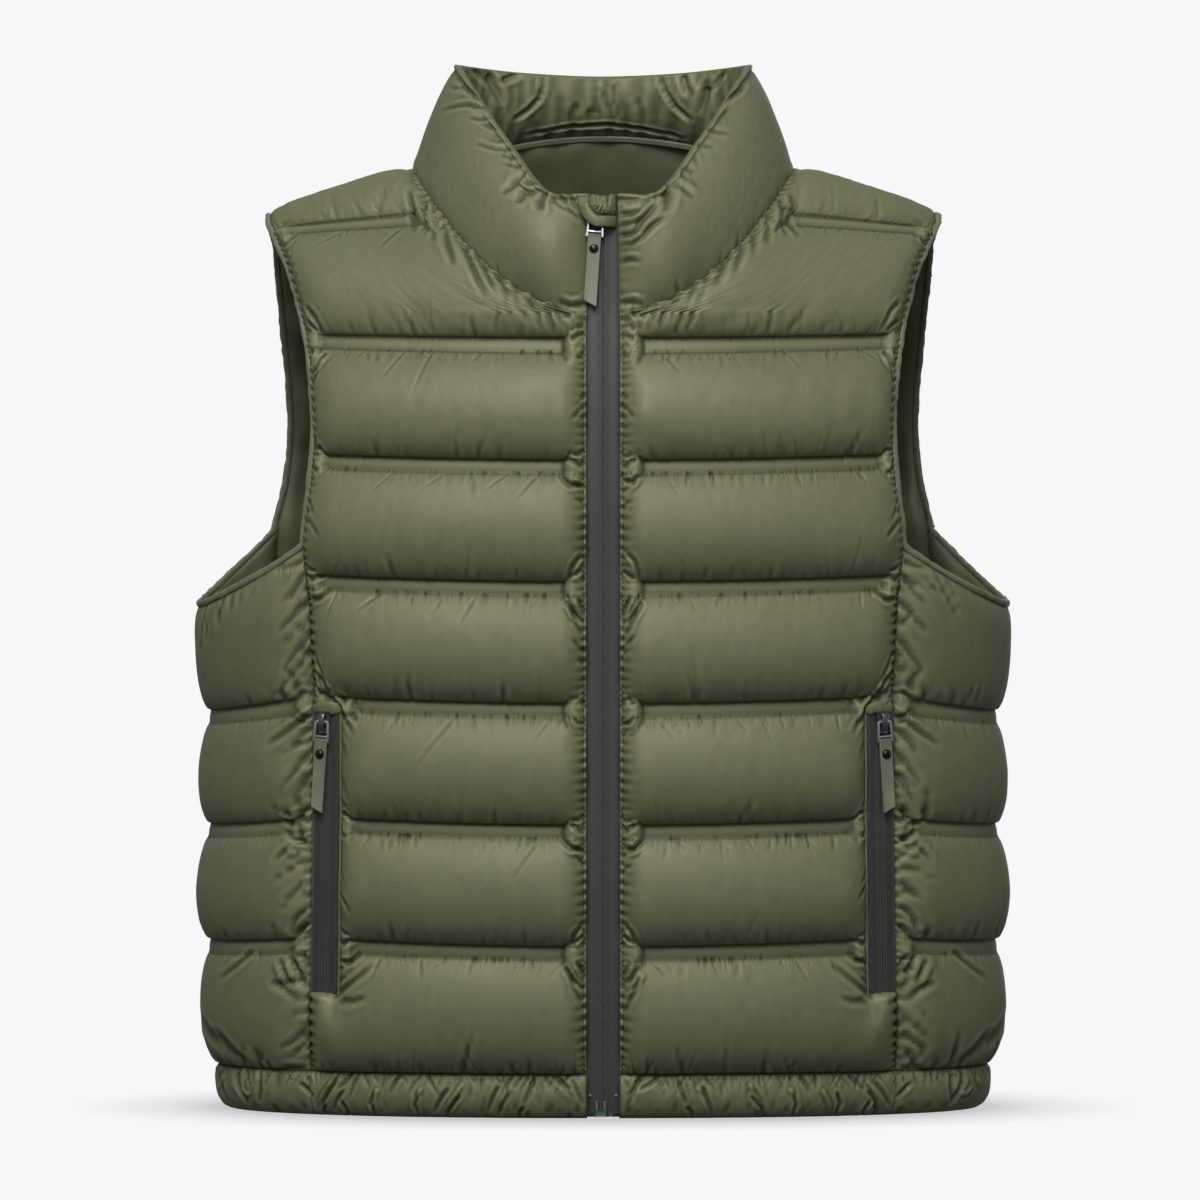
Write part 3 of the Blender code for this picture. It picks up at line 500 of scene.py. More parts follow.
# The crumple at a quilt line's end: reach and depth.
BACK_KNOT = (0.011, 0.0020)
SIDE_KNOT = (0.012, 0.0022)
HEM_SEAM_END = 0.178
BACK_NECK_END = 0.112


# ---------------------------------------------------------------- the pattern's surface


def smooth(at, stations, values):
    """A cubic through the stations, with each slope taken from its neighbours."""
    stations, values = np.asarray(stations, float), np.asarray(values, float)
    slopes = np.gradient(values, stations)
    i = np.clip(np.searchsorted(stations, at) - 1, 0, len(stations) - 2)
    span = stations[i + 1] - stations[i]
    t = np.clip((at - stations[i]) / span, 0.0, 1.0)
    rise = values[i + 1] - values[i]
    start, end = slopes[i] * span, slopes[i + 1] * span
    return values[i] + t * (start + t * (3 * rise - 2 * start - end + t * (start + end - 2 * rise)))


def column(table, i):
    return [row[i] for row in table]


def front_edge(height):
    return smooth(height, column(FRONT_EDGE, 0), column(FRONT_EDGE, 1))


def back_edge(height):
    return smooth(height, column(BACK_EDGE, 0), column(BACK_EDGE, 1))


def body_size(height, i):
    return smooth(height, column(BODY, 0), column(BODY, i))


def shoulder_line(x):
    """Height where front and back would meet above this distance from the centre."""
    inside = np.clip(1 - (x / NECK_HALF) ** 2, 0, 1)
    rise = SHOULDER_DROP * NECK_HALF / 2 * inside + NECK_RISE * inside**1.5
    return NECK_POINT + rise - SHOULDER_DROP * np.maximum(np.abs(x) - NECK_HALF, 0)


def front_neckline(x):
    return FRONT_NECK + (NECK_POINT - FRONT_NECK) * (np.abs(x) / NECK_HALF) ** NECKLINE_CURVE


def back_neckline(x):
    return NECK_POINT + (BACK_NECK - NECK_POINT) * (1 - (np.abs(x) / NECK_HALF) ** 2)


def shoulder_angle(height, x):
    """How far round the shoulder a height is: 0 where it starts to round, 90 degrees at the seam."""
    share = (height - SHOULDER_ROUNDS_FROM) / (shoulder_line(x) - SHOULDER_ROUNDS_FROM)
    return np.arcsin(np.clip(share, 0, 1))


def body_point(x, height, side):
    """The body surface at x and height, in front (side -1) or behind (side +1)."""
    half = body_size(height, 1)
    depth = np.where(side < 0, body_size(height, 2), body_size(height, 3))
    round_off = np.cos(shoulder_angle(height, x))
    share = np.clip(1 - (np.abs(x) / half) ** BODY_SQUARENESS, 0, 1)
    reach = side * depth * share ** (1 / BODY_SQUARENESS)
    y = SHOULDER_SEAM_Y + (reach - SHOULDER_SEAM_Y) * round_off
    return np.stack(np.broadcast_arrays(x, y, height), axis=-1)


def ring_point(turn, height):
    """The body surface below the shoulders, by angle from the centre front."""
    half = body_size(height, 1)
    depth = np.where(np.abs(turn) < np.pi / 2, -body_size(height, 2), body_size(height, 3))
    power = 2 / BODY_SQUARENESS
    x = half * np.sign(np.sin(turn)) * np.abs(np.sin(turn)) ** power
    y = depth * np.abs(np.cos(turn)) ** power
    return np.stack(np.broadcast_arrays(x, y, height), axis=-1)


def turn_at(x, height):
    """The ring angle of a distance from the centre, on the front half."""
    return np.arcsin(np.clip(x / body_size(height, 1), 0, 1) ** (BODY_SQUARENESS / 2))


def row_height(level, x, side):
    """Height of a row. Whole levels are quilt lines: 0 is the hem seam, 7 the yoke line and
    8 the shoulder seam or, behind, the back neckline."""
    line = HEM_BAND + CHANNEL * np.minimum(level, LEVEL_LINES)
    line = line + LINE_RISE * (np.abs(x) / FRONT_EDGE[0][1]) ** 2 * np.clip(level, 0, 1)
    across = (np.abs(x) - NECK_HALF) / (TIP_HALF - NECK_HALF)
    yoke = YOKE_AT_NECK + (YOKE_AT_TIP - YOKE_AT_NECK) * across
    line = line + (yoke - line) * np.clip(level - LEVEL_LINES, 0, 1)
    end = shoulder_line(x)
    if side > 0:
        end = np.where(np.abs(x) < NECK_HALF, np.minimum(back_neckline(x), end), end)
    first, last = shoulder_angle(yoke, x), shoulder_angle(end, x)
    turn = first + (last - first) * np.clip(level - LEVEL_LINES - 1, 0, 1)
    above = SHOULDER_ROUNDS_FROM + (shoulder_line(x) - SHOULDER_ROUNDS_FROM) * np.sin(turn)
    return np.where(level > LEVEL_LINES + 1, above, line)


def neckline_start(levels):
    """Where front rows start: at the zip or, higher up, on the neckline."""
    low = np.full(levels.shape, ZIP_HALF)
    high = np.full(levels.shape, NECK_HALF)
    below = row_height(levels, low, -1) <= front_neckline(low)
    for _ in range(36):
        middle = (low + high) / 2
        above = row_height(levels, middle, -1) > front_neckline(middle)
        low, high = np.where(above, middle, low), np.where(above, high, middle)
    return np.where(below, ZIP_HALF, low)


def outer_end(levels, edge, side):
    """Where rows end, at the side seam or the armhole."""
    x = np.full(levels.shape, TIP_HALF)
    for _ in range(12):
        x = edge(row_height(levels, x, side))
    return np.minimum(x, TIP_HALF)


def armhole_bottom(share):
    """Height of the side panel's top edge, from the front seam (0) to the back seam (1)."""
    ends = np.where(share < 0.5, ARMHOLE_MEETS_FRONT_SEAM, ARMHOLE_MEETS_BACK_SEAM)
    return UNDERARM + (ends - UNDERARM) * np.abs(2 * share - 1) ** ARMHOLE_SCOOP


def side_place(share, level):
    """Ring angle and height of a side panel's point. Level 4 is the armhole's edge. The upper
    quilt lines dip a little under the arm."""
    line = HEM_BAND + CHANNEL * np.minimum(level, 3.0)
    dip = smooth(np.minimum(level, 4.0), column(SIDE_DIP, 0), column(SIDE_DIP, 1))
    middle = np.clip(np.sin(np.pi * share), 0, 1) ** 0.6
    line = line - dip * middle + LINE_RISE * (1 - middle) * np.clip(level, 0, 1)
    height = line + (armhole_bottom(share) - line) * np.clip(level - 3, 0, 1)
    start = turn_at(front_edge(height) + SEAM_GAP / 2, height)
    end = np.pi - turn_at(back_edge(height) + SEAM_GAP / 2, height)
    return start + (end - start) * share, height


def front_point(share, level):
    start = neckline_start(level[:, 0])[:, None] + SEAM_GAP / 2
    end = outer_end(level[:, 0], front_edge, -1)[:, None] - SEAM_GAP / 2
    x = start + (end - start) * share
    return body_point(x, row_height(level, x, -1), -1)


def back_point(share, level):
    end = outer_end(level[:, 0], back_edge, 1)[:, None] - SEAM_GAP / 2
    x = end * share
    return body_point(x, row_height(level, x, 1), 1)


def side_point(share, level):
    return ring_point(*side_place(share, level))


def neck_seam(count):
    """The neck seam at even steps, from the wearer's left front round the back to the right."""
    front = np.linspace(ZIP_HALF + SEAM_GAP / 2, NECK_HALF, 120)
    behind = np.linspace(NECK_HALF, 0, 90)[1:]
    half = np.concatenate(
        [
            body_point(front, front_neckline(front), -1),
            body_point(behind, back_neckline(behind), 1),
        ]
    )
    whole = np.concatenate([half, half[-2::-1] * np.array([-1, 1, 1])])
    return resample(whole, count)


def arc_length(points):
    steps = np.linalg.norm(np.diff(points, axis=0), axis=1)
    return np.concatenate([[0], np.cumsum(steps)])


def resample(points, count):
    """Points evenly spaced along a line."""
    along = arc_length(points)
    shares = np.linspace(0, 1, count) if np.isscalar(count) else np.asarray(count)
    at = shares * along[-1]
    return np.stack([np.interp(at, along, points[:, k]) for k in range(3)], axis=1)


def collar_top(seam):
    """The collar's top edge above each point of the neck seam, and its puff there."""
    stations = []
    for where, x, *top in COLLAR:
        height = front_neckline(x) if where == "front" else back_neckline(x)
        stations.append([*body_point(x, height, -1 if where == "front" else 1), *top])
    half = np.array(stations)
    whole = np.concatenate([half, half[-2::-1] * np.array([-1, 1, 1, -1, 1, 1, 1])])
    share = arc_length(whole[:, :3])
    at = arc_length(seam)
    at = at / at[-1] * share[-1]
    top = np.stack([smooth(at, share, whole[:, k]) for k in (3, 4, 5)], axis=1)
    return top, smooth(at, share, whole[:, 6])


def up_collar(height):
    """How far up the collar's front edge a height is, 0 at the neck and 1 at the top."""
    return np.clip((height - FRONT_NECK) / (COLLAR_FRONT_TOP - FRONT_NECK), 0, 1)


def centre_front(height):
    """The centre front line: the body, then the collar's front edge."""
    neck = body_point(ZIP_HALF, np.minimum(height, FRONT_NECK), -1)[..., 1]
    return neck + (COLLAR[0][3] - neck) * up_collar(height)


def zip_edge(height):
    """Half the width that the zip shows, which narrows up the collar."""
    return ZIP_HALF + (ZIP_TOP_HALF - ZIP_HALF) * up_collar(height)


def place(points):
    """Moves points with heights above the hem to the frame whose origin is at the shoulders."""
    return points - np.array([0.0, SHOULDER_SEAM_Y, NECK_POINT])


def mirrored(points):
    return points * np.array([-1.0, 1.0, 1.0])


# ---------------------------------------------------------------- grids


def midpoints(values):
    """The values with their midpoints put in between."""
    finer = np.empty(2 * len(values) - 1)
    finer[::2] = values
    finer[1::2] = (values[1:] + values[:-1]) / 2
    return finer


def refine(grid):
    """Twice the rows and columns of a grid, by a cubic through the neighbours."""
    for axis in (0, 1):
        grid = np.moveaxis(grid, axis, 0)
        wide = np.concatenate([2 * grid[:1] - grid[1:2], grid, 2 * grid[-1:] - grid[-2:-1]])
        finer = np.empty((2 * len(grid) - 1, *grid.shape[1:]))
        finer[::2] = grid
        finer[1::2] = (9 * (wide[1:-2] + wide[2:-1]) - wide[:-3] - wide[3:]) / 16
        grid = np.moveaxis(finer, 0, axis)
    return grid


def quilt_levels(last, across_channel, across_band):
    """Rows of a panel: even steps over the down and over each stitched band."""
    rows = []
    for channel in range(last):
        low = channel + HALF_BAND if channel else 0.0
        high = channel + 1 - HALF_BAND if channel < last - 1 else float(last)
        share = np.linspace(0, 1, across_channel + 1)
        rows.extend(low + (high - low) * (share - 0.35 * np.sin(2 * np.pi * share) / (2 * np.pi)))
        if channel < last - 1:
            rows.extend(np.linspace(high, high + 2 * HALF_BAND, across_band + 1)[1:-1])
    return np.array(rows)


def normals_of(points):
    """Unit normals of a grid, from its neighbours."""
    along, up = np.gradient(points, axis=1), np.gradient(points, axis=0)
    cross = np.cross(along, up)
    return cross / (np.linalg.norm(cross, axis=-1, keepdims=True) + 1e-12)


def row_distance(points):
    """Distance along each row from its first point."""
    steps = np.linalg.norm(np.diff(points, axis=1), axis=-1)
    return np.concatenate([np.zeros((len(points), 1)), np.cumsum(steps, axis=1)], axis=1)


def column_distance(points):
    """Distance up each column from its first point."""
    return row_distance(points.transpose(1, 0, 2)).T


def cloth_uv(points):
    """Where each point lies on its flat cloth, in metres."""
    return np.stack([row_distance(points), column_distance(points)], axis=-1)


def free_inside(shape):
    """1 for the points of a grid that may move, 0 round its sewn edge."""
    free = np.zeros(shape)
    free[1:-1, 1:-1] = 1
    return free


def painted_shading_of(points, edges=(1, 1, 1, 1)):
    """The shade and light painted on each point, from how far it stands out of the cloth round it,
    from -1, painted shade in a crease, to 1, painted light on a ridge, with painted shade along
    the seams; edges says how dark the painted shade at the first and last row and column is."""
    out = normals_of(points)
    total = np.zeros(points.shape[:2])
    blurred = points
    for k in range(RELIEF_STEPS[-1]):
        for axis in (0, 1):
            wide = np.concatenate([blurred.take([0], axis), blurred, blurred.take([-1], axis)], axis)
            count = wide.shape[axis]
            blurred = sum(
                share * wide.take(range(at, count - 2 + at), axis)
                for at, share in ((0, 0.25), (1, 0.5), (2, 0.25))
            )
        if k + 1 in RELIEF_STEPS:
            deep = ((points - blurred) * out).sum(-1)
            broad = k + 1 == RELIEF_STEPS[-1]
            total += np.clip(deep / RELIEF_DEPTHS[int(broad)], -0.7, 0.0 if broad else 0.6)
    total[[0, -1]] = 0
    total[:, [0, -1]] = 0
    up, along = column_distance(points), row_distance(points)
    sides = (up, up[-1] - up, along, along[:, -1:] - along)
    for far, weight in zip(sides, edges):
        total -= weight * bell(far, SEAM_SHADE)
    return np.clip(total, -1, 1)


def bell(distance, reach):
    """1 at no distance, falling off over the reach."""
    return np.exp(-((distance / reach) ** 2))


def ease(distance, reach):
    """0 at no distance, rising to 1 at the reach."""
    return np.sin(np.pi / 2 * np.clip(distance / reach, 0, 1)) ** 0.8


def smooth_noise(rng, shape, spread):
    """Even noise blurred over so many rows and columns, with a spread of 1."""
    noise = rng.standard_normal(shape)
    for axis, sigma in enumerate(spread):
        if sigma <= 0:
            continue
        reach = int(3 * sigma) + 1
        kernel = np.exp(-0.5 * (np.arange(-reach, reach + 1) / sigma) ** 2)
        noise = np.moveaxis(noise, axis, 0)
        wide = np.pad(noise, [(reach, reach), (0, 0)], mode="reflect")
        noise = sum(k * wide[i : i + shape[axis]] for i, k in enumerate(kernel))
        noise = np.moveaxis(noise, 0, axis)
    return noise / noise.std()


def crease_field(across, upward, folds):
    """How deep the folds go: each is a valley with a soft lip on either side, strongest at its
    start and gone at its end."""
    total = np.zeros(across.shape)
    for a0, u0, a1, u1, width, depth in folds:
        reach = 3.2 * width
        near = (across > min(a0, a1) - reach) & (across < max(a0, a1) + reach)
        near &= (upward > min(u0, u1) - reach) & (upward < max(u0, u1) + reach)
        if not near.any():
            continue
        da, du = a1 - a0, u1 - u0
        at_a, at_u = across[near] - a0, upward[near] - u0
        along = np.clip((at_a * da + at_u * du) / (da * da + du * du), 0, 1)
        off = np.hypot(at_a - along * da, at_u - along * du) / width
        total[near] += depth * (1 - off**2) * np.exp(-(off**2)) * (1 - along**2)
    return total


# ---------------------------------------------------------------- listed folds


def both_ways(width, depth, *line):
    """A fold and the same fold from its other end, so that it's as deep at both."""
    back = np.reshape(line, (-1, 2))[::-1].ravel().tolist()
    return (width, depth, *line), (width, depth, *back)


# Each fold: half width, depth (a ridge where negative), then x and z along it, in millimetres.
LAID = {
    "collar": (
        *both_ways(1.4, 1.3, -87.9, 55.3, -83.4, 48.1, -76.9, 42.2, -71.9, 34.9, -68.1, 29.5, -61.3, 22.9,
                   -55.7, 16.4, -52, 9.9, -45.8, 3.3),
        (1.54, 1, -84.5, 48.5, -89.5, 48.5, -94.7, 51.3),
        (1.68, 1.4, -71.3, 35.5, -81.9, 36.7, -91.1, 34.8, -96.1, 32),
        (1.4, -0.9, -72, 37.5, -83.2, 38.9, -93, 34.9),
        (1.54, 0.9, -67.5, 28.9, -74.3, 26.7, -79.3, 27.6),
        (1.4, 0.8, -60.6, 20.3, -66.8, 21.8, -73, 25.3),
        (1.4, -0.9, -54.4, 9.9, -61.2, 9.6, -69, 8.5),
        (1.54, 0.9, -54.4, 8, -63, 7.1, -73.9, 9.3),
        (1.54, 0.9, -47, 1.5, -53.1, 1.6, -59.3, 4.5),
        (1.54, 1, -45.1, -1.1, -51.2, -3.4, -56.8, -1.9),
        (1.4, -1.8, -42.7, -0.6, -40.8, -4.4, -44.5, -10.1, -45.1, -14.9, -42, -17.5, -37.7, -16.6, -34.7,
         -14.8, -32.2, -16.1, -31, -21.7, -32.8, -27.7, -32.2, -32.8, -34, -36.8),
        (2.1, 2.6, -37.8, -7.7, -38.4, -12.1, -39.5, -15.3),
        (1.82, 2.2, -34.6, -19.8, -35.8, -26, -34.6, -32.7),
        (1.96, 1.8, -43.2, -19.4, -44.3, -24.9, -46.1, -29.3),
        (1.82, 1.4, -47, -9.7, -49.8, -17.9, -55.3, -24),
        (1.68, 1.6, -40.1, -20.1, -39.5, -25),
        (1.4, 2, -30.4, -24.1, -24.9, -28.6, -19.5, -32.2, -14, -37.7),
        (1.4, 2, -28, -21.1, -23.1, -24.8, -18.9, -30.3, -12.2, -37.7),
        (1.54, 2.2, -23.1, -20, -19.5, -24.2, -16.4, -29.1, -11.6, -35.8),
        (1.26, -1.2, -31, -23.6, -26.1, -27.9, -20.7, -31.6),
        (1.26, -1.2, -26.1, -19.4, -21.3, -23, -18.3, -27.3),
        (1.26, -1.3, -31.6, -18.7, -25.5, -17.6, -17, -18.8),
        (1.68, 1, -11, -88.2, -20, -88.8, -28.5, -85.1),
        (1.68, -0.8, -12.2, -84, -18.8, -85.8, -24.9, -83.3),
        *both_ways(1.4, 1.3, 86.5, 54.7, 83.8, 47.2, 76.2, 40.9, 71.2, 35.5, 66.2, 30.8, 61.2, 26.1, 57.5,
                   21.6, 53.1, 15.6, 48.8, 9.8, 44.4, 5.2, 39.5, -0.7),
        (1.54, 1, 60.5, 22.3, 66.6, 19.2, 73.9, 15.1),
        (1.54, 1, 53.1, 12.5, 59.2, 9.5, 64.1, 7.8),
        (1.4, -0.9, 43.1, -8.8, 46.7, -15.4, 51.5, -22.9),
        (1.68, 1.1, 41.2, -12.6, 44.9, -19.4, 49, -26.1),
        (1.54, 0.9, 41.9, -1.9, 48, -4.9, 52.9, -8.4),
        (2.24, 3, 37.7, -2.6, 39.4, -8.9, 38.8, -16.5, 36.3, -25.9, 33.3, -35),
        (1.4, -1.8, 37, -10.2, 37.5, -17.2, 33.9, -19.2, 30.2, -17.5),
        (1.4, -1.2, 27.2, -16.9, 29, -21.8, 28.4, -26.1),
        (1.82, 2, 31.4, -27.1, 27.2, -32.2, 22.3, -38.9, 18.7, -44.4),
        (1.54, -1.6, 10.8, -37, 17.5, -37.1, 22.3, -34.6, 27.2, -29.8, 31.4, -24.8),
        (1.96, 1.8, 11.4, -33.4, 17.5, -33.4, 22.3, -30.3),
        (1.82, 1.8, 10.8, -46.2, 16.3, -46.8, 21.1, -43.9, 24.1, -38.9),
        (1.54, -1.6, 11.4, -48.7, 16.9, -49.2, 21.7, -46.8, 24.7, -41.9, 30.8, -35.8, 36.3, -32),
        (1.68, 1.2, 22.3, -48.6, 28.4, -41.2, 34.5, -36.2),
        (1.68, -0.8, 11.4, -59, 16.3, -58.4, 22.3, -60.2),
        (1.68, 0.9, 11.4, -62, 16.9, -61.4, 23.5, -63.3),
        (1.68, -0.8, 10.8, -84, 17.5, -83.4, 25.3, -85.1),
        (1.68, 1, 10.8, -87, 18.1, -86.4, 25.3, -88.8),
        (1.54, 1.4, 29.6, -18.1, 25.4, -20.6, 19.9, -21.8),
    ),
    "lining": (
        *both_ways(1.3, 1.8, -37.7, 65.3, -39, 57.9, -42.8, 51, -49.7, 45.2, -59.7, 38.3),
        *both_ways(1.3, 1.8, 35.8, 64.1, 40.9, 55.4, 48.4, 46.6, 59.1, 37.9),
        (1.4, 2.4, 1.9, 61.9, 3.1, 51.5, 6.3, 42, 8.2, 37),
        (1.2, 1.8, 6.3, 58.2, 8.2, 48.4, 10.1, 40.9),
        (1.3, 1.6, -0.6, 57, 1.3, 49.7, 3.8, 43.7),
        *both_ways(1.2, 1.4, -51, 29.2, -27.1, 34.8, 1.3, 37.3, 29.6, 33.3, 53.5, 26.9),
        (3, 4, -74.5, 64, -71.5, 55.7, -68.4, 45.9),
        (2, 2.4, -83.1, 65.8, -79.5, 61.3, -75.8, 56.7),
        (1.6, 1.8, -66.5, 59.6, -59.6, 62.2, -52.1, 65),
        (3, 4, 68.3, 57, 67.8, 49.7, 65.3, 39.8),
        (2, 2.6, 50.9, 63.7, 54.6, 56.3, 59.7, 51.2),
        (1.8, 2.2, 78.2, 63.7, 74.5, 58, 70.9, 53.2),
        (1.8, 1.6, -17.7, 48.4, -20.8, 43.1, -23.3, 38.4),
        (1.8, 1.4, 23.3, 50.8, 25.8, 44.3, 27.1, 38.5),
        (1.8, 1.4, -8.2, 45.9, -9.5, 42.1, -10.1, 37.7),
    ),
    "front_right": (
        (2.32, 2.08, 98.9, -37.3, 93.8, -47.5, 89.2, -59.2, 85.4, -69.9),
        (2.03, 1.6, 90.2, -44.8, 85.2, -55.1, 79.4, -68.1),
        (2.03, 2.08, 84, -50.1, 78.9, -61.7, 73.2, -76.2, 67.7, -88.4),
        (1.74, -1.44, 80.9, -52.7, 74.6, -66.8, 69, -79.3, 64.7, -90.2),
        (2.03, 1.92, 75.9, -57.8, 69.7, -70.4, 64.1, -83),
        (1.89, 1.6, 70.4, -61.6, 64.3, -71, 58.7, -81.6),
        (1.74, 1.6, 65.5, -64.8, 60.6, -74.7, 56.9, -85.2, 55.7, -96.3),
        (1.59, -1.28, 61.3, -66, 55.2, -79, 49.6, -87.9, 41.7, -97),
        (2.03, 2.08, 59.4, -69.2, 53.9, -81.1, 49, -90.8, 43, -98.6),
        (1.89, 1.92, 52.8, -74.1, 46.6, -82.9, 40.5, -96.4),
        (1.74, 1.6, 45.4, -79.1, 41.8, -87.2, 38.1, -96.3, 36.3, -103.6),
        (1.59, -1.12, 42.4, -80.3, 40, -85.9, 39.3, -91.5),
        (1.89, 1.92, 37.5, -84.1, 33.3, -92.7, 28.5, -106),
        (1.59, -0.96, 34.5, -86.5, 29.7, -95.7, 24.8, -106),
        (1.74, 1.44, 30.9, -87.1, 26, -96.4, 21.2, -103.6),
        (1.59, 1.28, 24.9, -89.6, 21.2, -96.4, 16.4, -101.1),
        (1.89, 1.44, 109.8, -21.3, 107, -34.5, 104.7, -48.8),
        (2.03, 1.28, 104.1, -29.3, 100.7, -42.2, 99.1, -54),
        (1.89, 0.96, 117.3, -21, 116.5, -32.6, 112.9, -45.9),
        (1.59, 1.2, 19.4, -91, 15.8, -95.8, 12.2, -98.7),
        (1.74, 1.44, 164.8, -322.3, 161.1, -328.3, 157.4, -335.6, 152.4, -341.6, 147.5, -348.1),
        (1.45, -0.96, 162.9, -321.1, 158.6, -328.3, 155.6, -334.4, 150, -341.6, 146.3, -346.9),
        (1.59, 1.28, 167.2, -323.5, 163.6, -330.2, 159.3, -336.8, 153.7, -342.8),
        (1.89, 1.6, 158.6, -323.5, 155.5, -327.1, 151.9, -327.1),
        (1.74, -0.8, 153.1, -326.5, 148.8, -325.3, 145.2, -328.3),
        (1.89, 1.6, 164.8, -320.5, 168.4, -322.3, 172.9, -322.4),
        (1.74, 1.12, 170.1, -312.6, 168.3, -318.6, 166.6, -322.3),
        (1.74, 1.12, 157.4, -336.2, 151.9, -336.8, 145.7, -339.1),
        (2.03, 0.96, 159.3, -351.4, 155.5, -356.1, 152.9, -363.2),
        (2.03, 0.8, 159.3, -372.5, 154.9, -379.1, 151.8, -387.5),
        (1.89, 1.44, 160.6, -505.9, 153.2, -499.5, 145.8, -493.3, 136.7, -486.1),
        (1.59, -0.96, 159.5, -503, 151.9, -496.5, 143.4, -489.7),
        (1.89, 1.12, 156.1, -508.5, 149.3, -508.3, 139.6, -505.1),
    ),
    "front_left": (
        (2.32, 2.08, 93.9, -38.5, 89.3, -49.5, 85.4, -61.8),
        (2.03, 1.6, 100.9, -29.2, 98.1, -42.3, 95.2, -55.4),
        (1.89, 1.28, 107.3, -21.2, 108.1, -35.5, 108.9, -50),
        (1.89, 1.12, 111.2, -30.5, 114.1, -41.9, 116.9, -51),
        (1.74, -1.28, 82, -51.3, 77.5, -61.8, 72.6, -70.5),
        (2.17, 1.92, 84.5, -49.5, 80.6, -60.3, 75.5, -73.1),
        (2.03, 1.92, 75.8, -57.2, 70.8, -69, 65.8, -82.9),
        (1.89, 1.6, 70.9, -61.5, 65.8, -74.3, 60.3, -87.3),
        (2.03, 2.08, 62.9, -69.1, 57.3, -82.9, 51.2, -96.4, 46.4, -104.7),
        (1.74, -1.36, 59.8, -73.5, 54.3, -86.5, 48.8, -97, 44, -106),
        (2.03, 1.92, 56.8, -75.4, 51.2, -87.3, 45.2, -98.7, 41.6, -107.2),
        (1.74, 1.44, 50.1, -80.4, 44, -88.9, 39.2, -100),
        (1.89, 1.76, 44.1, -82.7, 38, -90.8, 31.9, -102.3),
        (1.59, -0.96, 39.2, -84.7, 34.3, -91.4, 29.5, -101.2),
        (1.89, 1.76, 35.6, -86.6, 29.5, -95.1, 25.3, -104.8),
        (1.74, 1.28, 27.1, -89.6, 23.5, -97.6, 21, -104.9),
        (1.74, 1.28, 17.4, -92.1, 20.4, -98.8, 23.4, -103.6),
        (1.59, 1.28, 11.4, -95, 16.2, -98.8, 19.8, -104.2),
        (1.74, 1.44, 164.6, -322.3, 161, -328.4, 157.2, -335.6, 152.3, -341.6, 147.3, -348.1),
        (1.45, -0.96, 162.6, -321, 158.5, -328.3, 155.4, -334.3, 149.8, -341.6, 146, -346.9),
        (1.59, 1.28, 167.1, -323.5, 163.4, -330.2, 159.1, -336.8, 153.5, -342.8),
        (1.89, 1.6, 158.4, -323.5, 155.4, -327.1, 151.8, -327.1),
        (1.74, -0.8, 153, -326.5, 148.7, -325.3, 145.1, -328.3),
        (1.89, 1.6, 164.6, -320.5, 168.2, -322.3, 172.7, -322.4),
        (1.74, 1.12, 169.9, -312.6, 168.2, -318.6, 166.5, -322.3),
        (2.03, 0.96, 159.1, -351.4, 155.3, -357.3, 153.3, -364.4),
        (1.89, 1.44, 160.5, -505.9, 153, -499.5, 145.6, -493.3, 136.5, -486.1),
        (1.59, -0.96, 159.3, -503, 151.7, -496.4, 143.2, -489.7),
        (1.89, 1.12, 156, -508.5, 149.1, -508.3, 139.4, -505.1),
    ),
    "side_right": (
        (2, 1.82, 177.8, -337, 184, -340.7, 191.4, -347.4, 201.3, -354.7),
        (1.5, -0.98, 177.8, -332.7, 184, -338.2, 192.7, -344.4),
        (1.75, 1.4, 177.2, -344.3, 182.9, -350.4, 187.6, -358.9),
        (1.88, 1.54, 177.9, -358.8, 182.1, -367.3, 188.8, -378.2),
        (1.62, 1.26, 177.2, -370.9, 180.9, -378.2, 186.4, -388),
        (1.5, -0.84, 179, -364.9, 183.9, -373.4, 190.1, -383.2),
        (1.62, 1.82, 181.6, -391.7, 184, -401.4, 182.1, -411, 184, -418.4, 189.5, -417.2),
        (1.38, -1.05, 193.9, -395.4, 189.1, -398.5, 183.4, -397.1),
        (1.5, 1.4, 192.8, -400.3, 187.8, -402.7, 184, -401.4),
        (1.38, -1.05, 190.1, -416, 186.5, -420.2, 183.4, -418.4, 180.9, -414),
        (1.62, 1.12, 195.1, -423.4, 190.1, -417.2, 186.5, -412.3),
        (1.5, 1.26, 194.7, -485.6, 190.9, -493.3, 187.2, -500.6),
        (1.38, -0.84, 195.9, -489.2, 192.1, -496.3, 189, -501.7),
        (1.88, 1.54, 196.6, -499, 190.2, -502.3, 181.8, -509.7),
        (1.75, 1.4, 180.4, -463.9, 185.4, -469.6, 190.4, -473.3),
        (1.75, 1.26, 179.7, -436.5, 185.2, -443.8, 191.3, -448.7),
        (1.88, 1.68, 244.4, -517.7, 233.6, -532.7, 222.3, -545.1, 214.8, -552.9),
        (1.62, -1.12, 246.3, -524.5, 235.2, -539.2, 226.3, -549.9),
        (2, 1.96, 230.9, -529.9, 222, -540.5, 210.9, -551.4),
        (1.62, 1.4, 208.2, -548.6, 205.8, -552.4),
        (1.75, 1.54, 182, -550.1, 190.7, -549.2, 199.6, -553.3),
        (1.75, 1.26, 180.6, -528, 186.7, -534.1, 194.1, -537.8),
        (1.75, 1.26, 214.3, -481.5, 221.9, -490.3, 230.9, -499.3),
        (1.75, 1.26, 184, -321.2, 186.5, -312.7, 191.3, -305.4),
        (1.5, -0.84, 180.3, -320, 184.7, -320, 188.4, -323.7, 190.3, -329.2),
        (1.75, 1.4, 182, -251.4, 187, -260.5, 193.7, -269),
        (1.75, 1.4, 180.8, -266.6, 186.3, -276.3, 193.6, -284.8),
        (1.75, 1.26, 180.3, -290.9, 185.2, -300, 191.2, -307.9),
